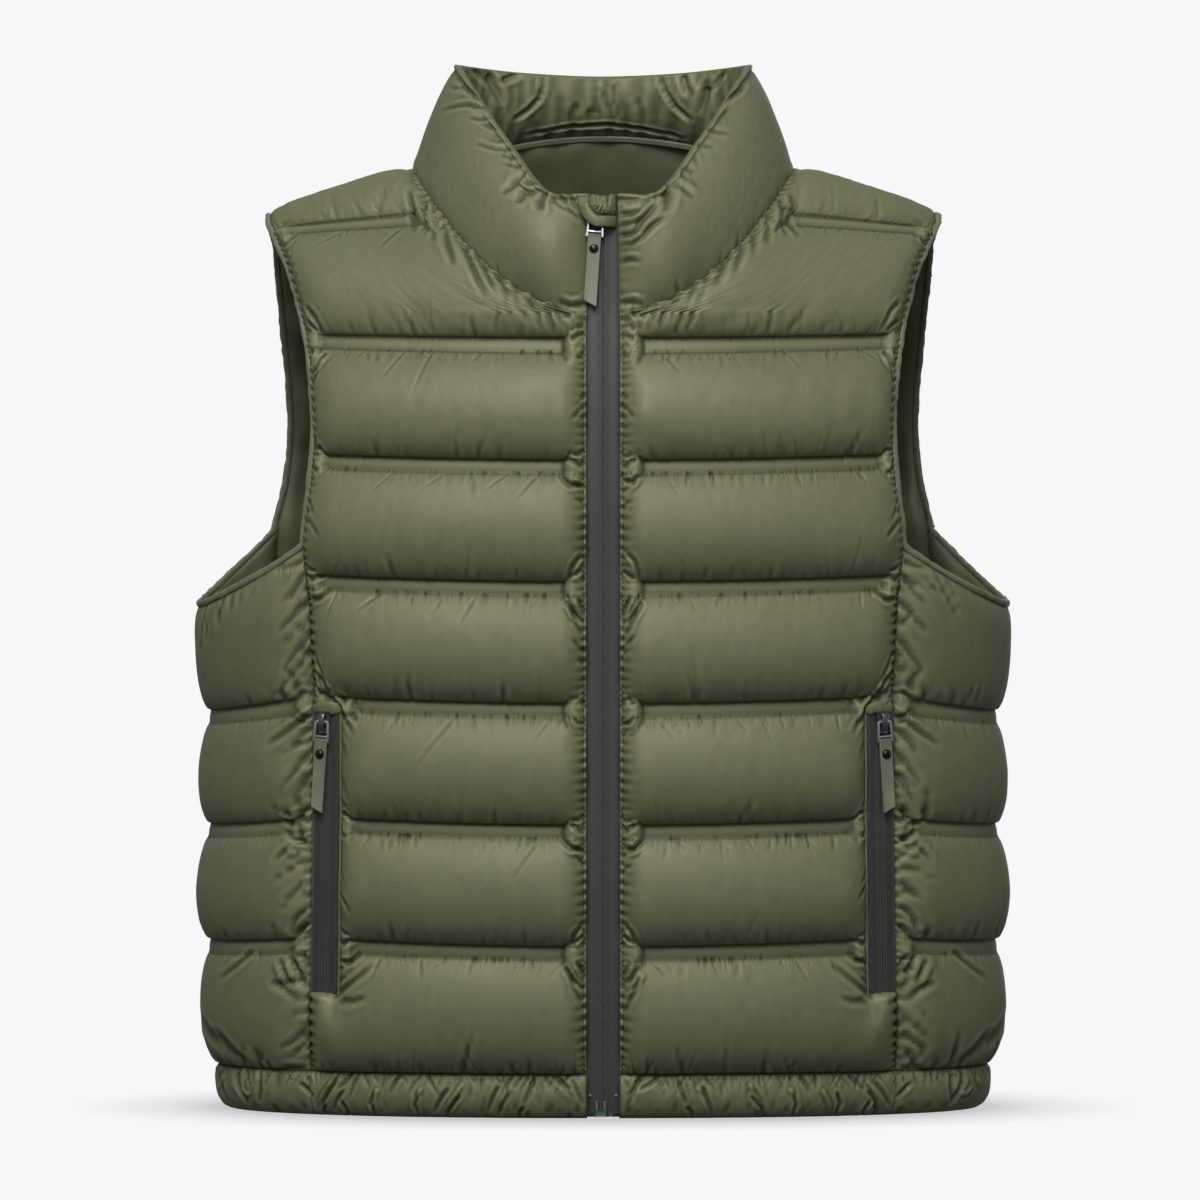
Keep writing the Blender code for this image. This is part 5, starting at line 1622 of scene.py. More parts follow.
def gathering(level, last, neckline, seams):
    """How hard the sewing gathers the cloth: across the quilt lines, then across its seams."""
    offset = (level - np.round(level)) * CHANNEL
    lower, upper = offset + QUILT_BAND / 2, offset - QUILT_BAND / 2
    lines = bell(np.clip(lower, 0, 1), 0.0012) * np.exp(-np.clip(-lower, 0, 1) / 0.0030)
    lines += 0.5 * np.exp(-np.abs(upper) / 0.002)
    lines = np.where((level > 0.5) & (level < last - 0.5), lines, 0.0)
    lines += np.exp(-level * CHANNEL / 0.006) + np.exp(-(last - level) * CHANNEL / 0.006)
    lines += np.exp(-neckline / 0.009)
    across = 0.12 * sum(np.exp(-seam / 0.0050) for seam in seams)
    return np.clip(np.stack([lines, across], axis=-1), 0, 1)


def band_tilt(level, across, last):
    """How far out the cloth is held: each stitched band leans back from its upper line to its
    lower one, and the down below it takes up the difference."""
    in_band = np.abs(level - np.round(level)) < HALF_BAND
    in_band &= (level > 0.5) & (level < last - 0.5)
    down_band = np.clip((np.round(level) + HALF_BAND - level) / (2 * HALF_BAND), 0, 1)
    below_top = np.where(level > last - 1, 0, across)
    return BAND_LEAN * np.where(in_band, down_band, below_top)


def rims(first, second, wanted):
    """Folded edges beside a zip: how high they roll, and where their top-stitching holds them."""
    rim, valley = np.zeros(first.shape), np.zeros(first.shape)
    for distance, there in zip((first, second), wanted):
        if not there:
            continue
        rim += RIM_LIFT * bell(distance - RIM_AT, RIM_HALF)
        near = bell(distance - RIM_STITCH, RIM_HALF)
        rim -= RIM_VALLEY * near
        valley = np.maximum(valley, near)
    return rim, valley


def line_panel(base, normal, level, body, rows, columns, last, rng, quilting):
    """The lining behind a panel, quilted on the same lines and puckered beside them."""
    pick = np.ix_(rows, columns)
    base, normal, level = base[pick], normal[pick], level[pick]
    full = body[pick] / (body.max() + 1e-9)
    near = to_stitches(level, last)
    waves = smooth_noise(rng, level.shape, (1.8, 0.7)) * 0.0022 * bell(near, 0.02)
    waves += smooth_noise(rng, level.shape, (2.4, 4.2)) * 0.0014
    deep = STITCHED + quilting.lining_puff * full + waves * np.clip(full * 3, 0, 1)
    return base - normal * deep[..., None]


# ---------------------------------------------------------------- sewing


def thread_run(points, normals, length, gap, radius):
    """Points and faces of stitches along a line: short spindles that dip at both ends."""
    along = arc_length(points)
    count = int(along[-1] // (length + gap))
    if count < 1:
        return np.zeros((0, 3)), []
    step = along[-1] / count
    stitch = step - gap
    start = np.arange(count) * step + gap / 2
    places = np.array([0.0, 0.22, 0.78, 1.0])
    at = (start[:, None] + stitch * places).ravel()

    def read(values):
        return np.stack([np.interp(at, along, values[:, k]) for k in range(3)], axis=1)

    line, out = read(points), read(normals)
    out /= np.linalg.norm(out, axis=1, keepdims=True)
    line, out = line.reshape(count, 4, 3), out.reshape(count, 4, 3)
    way = line[:, 3] - line[:, 0]
    way /= np.linalg.norm(way, axis=1, keepdims=True) + 1e-12
    side = np.cross(way[:, None], out)
    depth = np.array([-0.9, STITCH_SINK, STITCH_SINK, -0.9]) * radius
    middle = line + out * depth[:, None]
    verts = np.empty((count, 10, 3))
    verts[:, 0], verts[:, 9] = middle[:, 0], middle[:, 3]
    for ring, k in ((1, 1), (5, 2)):
        verts[:, ring] = middle[:, k] + out[:, k] * radius
        verts[:, ring + 1] = middle[:, k] + side[:, k] * radius
        verts[:, ring + 2] = middle[:, k] - out[:, k] * radius
        verts[:, ring + 3] = middle[:, k] - side[:, k] * radius
    one = [(0, 1 + (k + 1) % 4, 1 + k) for k in range(4)]
    one += [(1 + k, 1 + (k + 1) % 4, 5 + (k + 1) % 4, 5 + k) for k in range(4)]
    one += [(9, 5 + k, 5 + (k + 1) % 4) for k in range(4)]
    faces = [tuple(10 * s + v for v in face) for s in range(count) for face in one]
    return verts.reshape(-1, 3), faces


def sew(name, lines, stitch, made_of, mirror=False):
    """One piece of stitching: every line of it, joined in one mesh."""
    points, faces = [], []
    total = 0
    for line, normals in lines:
        found, made = thread_run(np.asarray(line), np.asarray(normals), *stitch)
        points.append(found)
        faces += [tuple(v + total for v in face) for face in made]
        total += len(found)
    points = np.concatenate(points)
    if mirror:
        points = mirrored(points)
        faces = [face[::-1] for face in faces]
    obj = new_object(name, place(points), faces, made_of)
    turn_outward(obj)
    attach(obj, VEST)
    return obj


def turn_outward(obj):
    shape = bmesh.new()
    shape.from_mesh(obj.data)
    bmesh.ops.recalc_face_normals(shape, faces=shape.faces)
    shape.to_mesh(obj.data)
    shape.free()


# ---------------------------------------------------------------- finishes


def node(tree, kind, x, y, **inputs):
    made = tree.nodes.new(kind)
    made.location = (x, y)
    for name, value in inputs.items():
        made.inputs[name.replace("_", " ")].default_value = value
    return made


def finish_of(name, colour, roughness, metallic=0.0):
    made = bpy.data.materials.new(name)
    made.use_nodes = True
    shader = made.node_tree.nodes["Principled BSDF"]
    shader.inputs["Base Color"].default_value = colour
    shader.inputs["Roughness"].default_value = roughness
    shader.inputs["Metallic"].default_value = metallic
    return made, made.node_tree, shader


def tint(colour, factor):
    return (*(min(1.0, c * factor) for c in colour[:3]), 1.0)


def blended(tree, source, low, high, x, y):
    """Two colours mixed by a value."""
    mix = tree.nodes.new("ShaderNodeMix")
    mix.data_type = "RGBA"
    mix.location = (x, y)
    tree.links.new(source, mix.inputs["Factor"])
    mix.inputs["A"].default_value = low
    mix.inputs["B"].default_value = high
    return mix.outputs["Result"]


def multiplied(tree, first, second, x, y, factor=1.0):
    """One colour multiplied by another."""
    mix = tree.nodes.new("ShaderNodeMix")
    mix.data_type = "RGBA"
    mix.blend_type = "MULTIPLY"
    mix.location = (x, y)
    mix.inputs["Factor"].default_value = factor
    tree.links.new(first, mix.inputs["A"])
    tree.links.new(second, mix.inputs["B"])
    return mix.outputs["Result"]


def product(tree, first, second, x, y):
    """One value multiplied by another, which may be a plain number."""
    made = node(tree, "ShaderNodeMath", x, y)
    made.operation = "MULTIPLY"
    tree.links.new(first, made.inputs[0])
    if isinstance(second, (int, float)):
        made.inputs[1].default_value = second
    else:
        tree.links.new(second, made.inputs[1])
    return made.outputs["Value"]


def bumped(tree, height, strength, distance, x, y):
    """A bump from a height."""
    made = node(tree, "ShaderNodeBump", x, y, Strength=strength, Distance=distance)
    tree.links.new(height, made.inputs["Height"])
    return made


def texture(tree, source, kind, x, y, **inputs):
    """A texture read at a place that source gives."""
    made = node(tree, kind, x, y, **inputs)
    tree.links.new(source, made.inputs["Vector"])
    return made


def ranged(tree, source, low, high, x, y, from_low=0.0, from_high=1.0):
    made = tree.nodes.new("ShaderNodeMapRange")
    made.location = (x, y)
    made.inputs["From Min"].default_value = from_low
    made.inputs["From Max"].default_value = from_high
    made.inputs["To Min"].default_value = low
    made.inputs["To Max"].default_value = high
    tree.links.new(source, made.inputs["Value"])
    return made.outputs["Result"]


def nylon(name, colour, roughness, pitch=0.0004, sheen=0.06):
    """Down-proof nylon: a plain weave, a faint unevenness of dye and a satin calender, with shade and
    light painted into its colour at creases, seams, ridges and pucker pits.
    """
    made, tree, shader = finish_of(name, colour, roughness)
    shader.inputs["Sheen Weight"].default_value = sheen
    shader.inputs["Sheen Roughness"].default_value = 0.45
    shader.inputs["Sheen Tint"].default_value = tint(colour, 5)
    shader.inputs["Specular Tint"].default_value = (1.0, 1.0, 0.74, 1.0)
    link = tree.links.new
    coordinate = node(tree, "ShaderNodeTexCoord", -1500, 0)
    place_on, place_in = coordinate.outputs["UV"], coordinate.outputs["Object"]
    turned = texture(tree, place_on, "ShaderNodeMapping", -1300, -200)
    waves = []
    for k, axis in enumerate(("X", "Y")):
        wave = texture(
            tree, turned.outputs["Vector"], "ShaderNodeTexWave", -1050, -200 - 260 * k,
            Scale=math.tau / (WAVES_A_UNIT * pitch), Distortion=0.6, Detail_Scale=3.0,
        )
        wave.bands_direction = axis
        waves.append(wave.outputs["Fac"])
    weave = product(tree, *waves, -800, -300)
    cloud = texture(tree, place_in, "ShaderNodeTexNoise", -1050, 300, Scale=28.0, Detail=4.0)
    grain = texture(tree, place_in, "ShaderNodeTexNoise", -1050, 60, Scale=900.0, Detail=2.0)
    dye = blended(tree, cloud.outputs["Fac"], tint(colour, 0.93), tint(colour, 1.07), -550, 300)
    speck = multiplied(tree, dye, grain.outputs["Color"], -300, 200, GRAIN_SHARE)
    gloss = (roughness - 0.04, roughness + 0.05)
    calender = ranged(tree, cloud.outputs["Fac"], *gloss, -550, 40, 0.3, 0.7)
    link(calender, shader.inputs["Roughness"])
    bump = bumped(tree, weave, WEAVE_STRENGTH, WEAVE_DEPTH, -300, -300)
    link(bump.outputs["Normal"], shader.inputs["Normal"])
    depth = pucker_depth(tree, coordinate)
    gathers = bumped(tree, depth, 1.0, PUCKER_DEPTH, -500, -600)
    link(gathers.outputs["Normal"], bump.inputs["Normal"])
    # Painted shade: the colour darkens where the puckers' bump sinks deepest
    painted_pit_shade = ranged(tree, depth, *PAINTED_PIT_SHADE, -320, 420, *PIT_DEPTHS)
    with_painted_pit_shade = multiplied(tree, speck, painted_pit_shade, -120, 200)
    # Painted shade in creases, at seams and on linings, and painted light on ridges, read from the piece's
    # shading attribute
    painted_shading = node(tree, "ShaderNodeAttribute", -500, 600)
    painted_shading.attribute_name = "painted_shading"
    painted_shading_factor = ranged(tree, painted_shading.outputs["Fac"], *PAINTED_SHADE_AND_LIGHT, -320, 600, -1, 1)
    link(multiplied(tree, with_painted_pit_shade, painted_shading_factor, -20, 400), shader.inputs["Base Color"])
    return made


def pucker_depth(tree, coordinate):
    """Small creases across the quilt lines and across the seams, as deep as the sewing pulls; the finish
    also paints shade into the colour where they sink deepest.
    """
    pull = node(tree, "ShaderNodeAttribute", -1500, -700)
    pull.attribute_name = "pull"
    ways = node(tree, "ShaderNodeSeparateColor", -1300, -900)
    tree.links.new(pull.outputs["Color"], ways.inputs["Color"])
    total = None
    for k, (along, up) in enumerate(PUCKERS):
        low = -500 - 200 * k
        spread = texture(
            tree, coordinate.outputs["UV"], "ShaderNodeMapping", -1300, low, Scale=(along, up, 1)
        )
        noise = texture(
            tree, spread.outputs["Vector"], "ShaderNodeTexNoise", -1100, low, Scale=1.0, Detail=1.5
        )
        made = node(tree, "ShaderNodeMath", -900, low)
        made.operation = "MULTIPLY_ADD"
        sharp = ranged(tree, noise.outputs["Fac"], 0, 1, -1000, low + 50, *PUCKER_EDGE)
        weight = product(tree, ways.outputs[k], -1, -1000, low - 100)
        tree.links.new(sharp, made.inputs[0])
        tree.links.new(weight, made.inputs[1])
        made.inputs[2].default_value = 0
        if total:
            tree.links.new(total, made.inputs[2])
        total = made.outputs["Value"]
    patch = texture(
        tree, coordinate.outputs["Object"], "ShaderNodeTexNoise", -900, -900, Scale=55.0, Detail=1.0
    )
    patchy = ranged(tree, patch.outputs["Fac"], *PATCH_WEIGHTS, -800, -900, *PATCH_EDGE)
    return product(tree, total, patchy, -700, -800)


def webbing(name, colour, roughness):
    """Woven tape: fine ribs down its length and a slubbed, slightly hairy surface."""
    made, tree, shader = finish_of(name, colour, roughness)
    shader.inputs["Sheen Weight"].default_value = 0.25
    shader.inputs["Sheen Roughness"].default_value = 0.5
    coordinate = node(tree, "ShaderNodeTexCoord", -1300, 0)
    turned = texture(
        tree, coordinate.outputs["UV"], "ShaderNodeMapping", -1100, 0, Rotation=(0, 0, TWILL_TURN)
    )
    wave = texture(
        tree, turned.outputs["Vector"], "ShaderNodeTexWave", -850, 0,
        Scale=math.tau / (WAVES_A_UNIT * TWILL_PITCH), Distortion=1.2, Detail_Scale=4.0,
    )
    slub = texture(
        tree, coordinate.outputs["Object"], "ShaderNodeTexNoise", -850, 300, Scale=700.0, Detail=3.0
    )
    rib = blended(tree, wave.outputs["Fac"], tint(colour, 0.66), tint(colour, 1.25), -500, 200)
    mixed = multiplied(tree, rib, slub.outputs["Color"], -280, 200, SLUB_SHARE)
    tree.links.new(mixed, shader.inputs["Base Color"])
    bump = bumped(tree, wave.outputs["Fac"], 0.35, TWILL_DEPTH, -280, -200)
    tree.links.new(bump.outputs["Normal"], shader.inputs["Normal"])
    return made


def moulded(name, colour, roughness, metallic=0.0, grain=400.0, depth=0.00004, coat=0.0):
    """Cast or moulded: a little mottled in colour and gloss, over a fine surface grain."""
    made, tree, shader = finish_of(name, colour, roughness, metallic)
    shader.inputs["Coat Weight"].default_value = coat
    shader.inputs["Coat Roughness"].default_value = 0.2
    coordinate = node(tree, "ShaderNodeTexCoord", -1100, 0)
    place_in = coordinate.outputs["Object"]
    cloud = texture(tree, place_in, "ShaderNodeTexNoise", -850, 200, Scale=grain / 3, Detail=4.0)
    fine = texture(tree, place_in, "ShaderNodeTexNoise", -850, -150, Scale=grain * 4, Detail=3.0)
    dye = blended(tree, cloud.outputs["Fac"], tint(colour, 0.82), tint(colour, 1.18), -450, 250)
    tree.links.new(dye, shader.inputs["Base Color"])
    gloss = ranged(tree, cloud.outputs["Fac"], roughness - 0.06, roughness + 0.1, -450, 0, 0.3, 0.7)
    tree.links.new(gloss, shader.inputs["Roughness"])
    bump = bumped(tree, fine.outputs["Fac"], 0.4, depth, -450, -250)
    tree.links.new(bump.outputs["Normal"], shader.inputs["Normal"])
    return made


FINISHES = {}


def finish(name):
    """A finish by name, made once and shared."""
    if name in FINISHES:
        return FINISHES[name]
    colours = bpy.context.scene.vest_colours
    makers = {
        "shell": lambda: nylon("shell_cloth", colours.shell, colours.shell_roughness),
        "binding": lambda: nylon("binding_cloth", colours.binding, colours.shell_roughness - 0.04),
        "thread": lambda: moulded("pale_thread", colours.thread, 0.55, grain=900.0),
        "quilt_thread": lambda: moulded("quilt_thread", tint(colours.shell, 0.6), 0.6, grain=900.0),
        "dark_thread": lambda: moulded("dark_thread", tint(colours.thread, 0.2), 0.6, grain=900.0),
        "tape": lambda: webbing("woven_tape", colours.tape, 0.62),
        # The pocket zips' tape is the front zip's webbing made darker: shade painted into its colour where
        # the puffs beside it shade it
        "tape_in_painted_shade": lambda: webbing("woven_tape_in_painted_shade", tint(colours.tape, 0.52), 0.62),
        "chain": lambda: moulded("chain_thread", tint(colours.tape, 1.7), 0.5, grain=900.0),
        "metal": lambda: moulded("cast_metal", colours.metal, 0.30, 1.0),
        "wire": lambda: moulded("polished_wire", tint(colours.metal, 3.4), 0.24, 1.0),
        "slider": lambda: moulded("slider_metal", tint(colours.metal, 0.42), 0.34, 1.0),
        "tab": lambda: moulded("moulded_tab", colours.tab, 0.55, grain=500.0),
        "rivet": lambda: moulded("black_rivet", colours.rivet, 0.22, 0.6, depth=0.00001, coat=0.4),
        "box": lambda: moulded("green_box", colours.box, 0.38, coat=0.5),
    }
    made = makers[name]()
    FINISHES[name] = made
    return made


# ---------------------------------------------------------------- settings


def length_of(name, description, default, most):
    """A length that the sidebar shows in the scene's unit."""
    return bpy.props.FloatProperty(
        name=name, description=description, default=default, min=0.0, max=most,
        unit="LENGTH", precision=4,
    )


def factor_of(name, description, default, least, most):
    """A plain factor."""
    return bpy.props.FloatProperty(
        name=name, description=description, default=default, min=least, max=most,
        subtype="FACTOR",
    )


def colour_of(name, description, default):
    """An opaque colour."""
    return bpy.props.FloatVectorProperty(
        name=name, description=description, default=(*default, 1.0), size=4, min=0.0, max=1.0,
        subtype="COLOR",
    )


class VestQuilting(bpy.types.PropertyGroup):
    """How the panels are filled, sewn and settled"""

    body_puff: length_of(
        "Body puff", "How far the down lifts the fronts and back", 0.0145, 0.03
    )
    side_puff: length_of(
        "Side puff", "How far the down lifts the side panels", 0.0084, 0.03
    )
    lining_puff: length_of(
        "Lining puff", "How far the down pushes the lining in", 0.0080, 0.02
    )
    sag: factor_of(
        "Sag", "Below 1 the down lies low in each channel", 0.82, 0.5, 1.5
    )
    roundness: factor_of(
        "Roundness", "Low fills a channel right up to its stitches", 0.86, 0.3, 1.5
    )
    overhang: length_of(
        "Overhang", "How far each roll of down hangs over the line below it", 0.0018, 0.01
    )
    seam_depth: length_of(
        "Seam depth", "How far the cloth dives at a seam", 0.0011, 0.003
    )
    band_fullness: factor_of(
        "Fullness at the quilting", "Extra cloth beside the quilt lines", 0.005, 0.0, 0.3
    )
    seam_fullness: factor_of(
        "Fullness at the seams", "Extra cloth beside zips and upright seams", 0.002, 0.0, 0.3
    )
    steps: bpy.props.IntProperty(
        name="Settling steps", description="Steps of the first, coarse pass",
        default=110, min=0, max=400,
    )


class VestColours(bpy.types.PropertyGroup):
    """Colours and gloss of the vest's finishes"""

    shell: colour_of("Shell", "Colour of the outer cloth", (0.150, 0.156, 0.084))
    shell_roughness: factor_of(
        "Shell roughness", "Satin is low, matt is high", 0.50, 0.0, 1.0
    )
    binding: colour_of("Binding", "Colour of the bound edges and the piping", (0.185, 0.190, 0.122))
    thread: colour_of("Thread", "Colour of the sewing", (0.21, 0.215, 0.14))
    tape: colour_of("Zip tape", "Colour of the woven zip tapes", (0.064, 0.065, 0.060))
    metal: colour_of("Metal", "Colour of the sliders, pulls and stops", (0.52, 0.52, 0.51))
    tab: colour_of("Pull tab", "Colour of the moulded pull tabs", (0.185, 0.197, 0.130))
    rivet: colour_of("Rivet", "Colour of the rivets", (0.010, 0.010, 0.011))
    box: colour_of("Zip box", "Colour of the box at the foot of the front zip", (0.055, 0.095, 0.060))


# ---------------------------------------------------------------- operators


def start_of_front(levels):
    return neckline_start(np.asarray(levels, float)) + SEAM_GAP / 2


def end_of_front(levels):
    return outer_end(np.asarray(levels, float), front_edge, -1) - SEAM_GAP / 2


def under_pocket_tape(share, level):
    """1 where a front's cloth lies flat under its pocket zip."""
    first, last = POCKET_LEVELS
    return ((share >= POCKET_SHARE - 1e-6) & (level >= first) & (level <= last)).astype(float)


def front_shares(count):
    """Columns of a front, with one on the pocket tape's edge."""
    close = np.array(RIM_COLUMNS) * RIM_AT / FRONT_WIDTH
    tape = POCKET_SHARE - close[:10][::-1]
    middle = np.linspace(close[-1], tape[0], count - 30)[1:-1]
    under = np.linspace(POCKET_SHARE, 1, 10)[1:]
    return np.concatenate([close, middle, tape, under])


def gather_at(rng, edge_at, into, low, high, reach, width, depth):
    """Folds at an upright seam: some run from it to the ends of the quilt lines above and
    below, one leaves each of those ends, and a few short ones lie half-way."""
    made = []
    for line, way in ((high, -1), (low, 1)):
        for k in range(3):
            drop = uneven(rng, 0.008 + 0.009 * k, 0.25, 1.5)
            at_seam = line + way * min(drop, 0.46 * (high - low))
            run = reach * rng.uniform(0.55, 1.05)
            edge = edge_at(at_seam)
            made.append((edge, at_seam, edge + into * run, line + way * rng.uniform(0.0005, 0.004),
                         width * rng.uniform(0.7, 1.2), uneven(rng, depth, 0.3, 1.6)))
        near, run = edge_at(line) + into * reach * 0.8, reach * rng.uniform(1.0, 2.2)
        made.append((near, line + way * 0.002, near + into * run, line + way * run * rng.uniform(0.5, 1.2),
                     width, depth * 0.6))
    upward = low + (high - low) * rng.uniform(0.3, 0.4)
    while upward < high - 0.3 * (high - low):
        run = uneven(rng, 0.45 * reach, 0.4)
        edge = edge_at(upward)
        made.append((edge, upward, edge + into * run, upward - run * rng.uniform(0.2, 1.0),
                     width * 0.75, uneven(rng, depth * 0.5, 0.4)))
        upward += rng.uniform(0.007, 0.016)
    return made


def along_line(rng, made, left, right, line, kinds):
    """The short folds on both sides of a quilt line."""
    for kind, way, *sizes in kinds:
        made[kind] += puckers(rng, left, right, (line + way * HALF_BAND) * CHANNEL, way, *sizes)


def channel_span(channel):
    """Heights of a channel's lower and upper stitched lines."""
    low = (channel + HALF_BAND if channel else 0.0) * CHANNEL
    return low, (channel + 1 - HALF_BAND) * CHANNEL


def front_folds(rng):
    """The folds drawn along a front's quilt lines and its hem seam."""
    made = {"coarse": [], "fine": []}
    for line in range(1, TOP_LEVEL):
        left, right = start_of_front([float(line)])[0], end_of_front([float(line)])[0]
        along_line(rng, made, left, right, line, FRONT_LINES)
    for kind, *sizes in FRONT_HEM:
        made[kind] += puckers(rng, ZIP_HALF, HEM_SEAM_END, 0.0, 1, *sizes)
    return made["coarse"], made["fine"]


def knots_at(rng, point, share, into, lines):
    """The folds where stitched bands end at an edge, each band's a little different."""
    made = []
    for line in range(1, lines + 1):
        beside = POCKET_SHARE if share == 1 and point is front_point and line < 3 else share
        x, _, z = place(point(np.array([[beside]]), np.array([[float(line)]])))[0, 0] * 1000
        flip = -1 if line % 5 == 3 else 1
        for width, depth, *run in KNOTS[(line + (into < 0)) % len(KNOTS)]:
            run = np.reshape(run, (-1, 2)) * [into, flip] * rng.uniform(0.85, 1.15) + [x, z]
            made.append((width, depth * rng.uniform(0.7, 1.15), *run.ravel()))
    return tuple(made)


def x_of(base, share):
    return base[..., 0]


def dress(obj, node_name):
    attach(obj, VEST)
    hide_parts(node_name)


def nothing_flat(share, level):
    return np.zeros(share.shape)


PANELS = {}


class VEST_OT_fronts(bpy.types.Operator):
    """Sew the two quilted fronts and settle their down"""

    bl_idname = "vest.fronts"
    bl_label = "Fronts"

    def execute(self, context):
        quilting = context.scene.vest_quilting
        for side, seed, mirror in (("left", 11, False), ("right", 23, True)):
            rng = np.random.default_rng(seed)
            folds, fine = front_folds(rng)
            cut = {
                "point": front_point,
                "levels": quilt_levels(TOP_LEVEL, *FRONT_ROWS),
                "shares": front_shares(FRONT_COLUMNS),
                "last": TOP_LEVEL,
                "puff": quilting.body_puff,
                "falls": (ZIP_FALL, EDGE_FALL),
                "ends": FRONT_ENDS,
                "rims": (True, True),
                "flat": under_pocket_tape,
                "across": x_of,
                "folds": folds,
                "fine_folds": fine,
            }
            cut["laid"] = LAID[f"front_{side}"] + knots_at(rng, front_point, 0.0, 1, LEVEL_LINES)
            cut["laid"] += knots_at(rng, front_point, 1.0, -1, TOP_LEVEL - 1)
            make_panel(f"front_{side}", cut, rng, quilting, mirror)
        return {"FINISHED"}


def back_folds(rng):
    """A back's folds: at both side seams, along the quilt lines and under the neck seam."""
    made = {"coarse": [], "fine": []}
    coarse = made["coarse"]

    def left_at(upward):
        return float(outer_end(np.array([min(upward / CHANNEL, TOP_LEVEL)]), back_edge, 1)[0])

    def right_at(upward):
        return -left_at(upward)

    for channel in range(TOP_LEVEL):
        low, high = channel_span(channel)
        for edge_at, into in ((left_at, -1), (right_at, 1)):
            coarse += gather_at(rng, edge_at, into, low, high, *BACK_GATHER)
        edge, line = left_at(high), channel + 1
        if line < TOP_LEVEL:
            along_line(rng, made, -edge, edge, line, BACK_LINES)
            for knot_edge, into in ((edge, -1), (-edge, 1)):
                coarse += knot(rng, knot_edge, into, line * CHANNEL, *BACK_KNOT)
    coarse += puckers(rng, -HEM_SEAM_END, HEM_SEAM_END, 0.0, 1, *BACK_HEM)
    neck = TOP_LEVEL * CHANNEL
    coarse += puckers(rng, -BACK_NECK_END, BACK_NECK_END, neck, -1, *BACK_NECK_FOLDS)
    return coarse, made["fine"]


def side_folds(rng, width):
    """A side panel's folds: at its two seams, along the quilt lines and under the armhole."""
    made = {"coarse": [], "fine": []}
    coarse = made["coarse"]
    seams = ((0.0, 1), (width, -1))
    for channel in range(SIDE_LEVELS):
        low, high = channel_span(channel)
        for edge, into in seams:
            coarse += fan(rng, edge, into, low, high, *SIDE_FAN)
            coarse += gather_at(rng, lambda upward, at=edge: at, into, low, high, *SIDE_GATHER)
        line = channel + 1
        if line < SIDE_LEVELS:
            along_line(rng, made, 0, width, line, SIDE_LINES)
            for edge, into in seams:
                coarse += knot(rng, edge, into, line * CHANNEL, *SIDE_KNOT)
    coarse += puckers(rng, 0, width, 0.0, 1, *SIDE_HEM)
    coarse += puckers(rng, 0, width, SIDE_LEVELS * CHANNEL, -1, *ARMHOLE_FOLDS)
    return coarse, made["fine"]


def round_share(base, share):
    return share * SIDE_WIDTH


class VEST_OT_back(bpy.types.Operator):
    """Sew the quilted back and settle its down"""

    bl_idname = "vest.back"
    bl_label = "Back"

    def execute(self, context):
        quilting = context.scene.vest_quilting
        rng = np.random.default_rng(5)
        folds, fine = back_folds(rng)
        cut = {
            "point": back_point,
            "levels": quilt_levels(TOP_LEVEL, *BACK_ROWS),
            "shares": np.linspace(1, -1, BACK_COLUMNS),
            "last": TOP_LEVEL,
            "puff": quilting.body_puff,
            "falls": (EDGE_FALL, EDGE_FALL),
            "ends": BACK_ENDS,
            "rims": (False, False),
            "flat": nothing_flat,
            "across": x_of,
            "folds": folds,
            "fine_folds": fine,
            "laid": (),
        }
        make_panel("back", cut, rng, quilting)
        return {"FINISHED"}


class VEST_OT_sides(bpy.types.Operator):
    """Sew the two quilted side panels under the arms and settle their down"""

    bl_idname = "vest.sides"
    bl_label = "Side panels"

    def execute(self, context):
        quilting = context.scene.vest_quilting
        for side, seed, mirror in (("left", 31, False), ("right", 47, True)):
            rng = np.random.default_rng(seed)
            folds, fine = side_folds(rng, SIDE_WIDTH)
            cut = {
                "point": side_point,
                "levels": quilt_levels(SIDE_LEVELS, *SIDE_ROWS),
                "shares": np.linspace(0, 1, SIDE_COLUMNS),
                "last": SIDE_LEVELS,
                "puff": quilting.side_puff,
                "falls": (EDGE_FALL, EDGE_FALL),
                "ends": SIDE_ENDS,
                "rims": (False, False),
                "flat": nothing_flat,
                "across": round_share,
                "folds": folds,
                "fine_folds": fine,
                "laid": LAID[f"side_{side}"] + knots_at(rng, side_point, 0.0, 1, SIDE_LEVELS - 1),
            }
            make_panel(f"side_{side}", cut, rng, quilting, mirror)
        return {"FINISHED"}


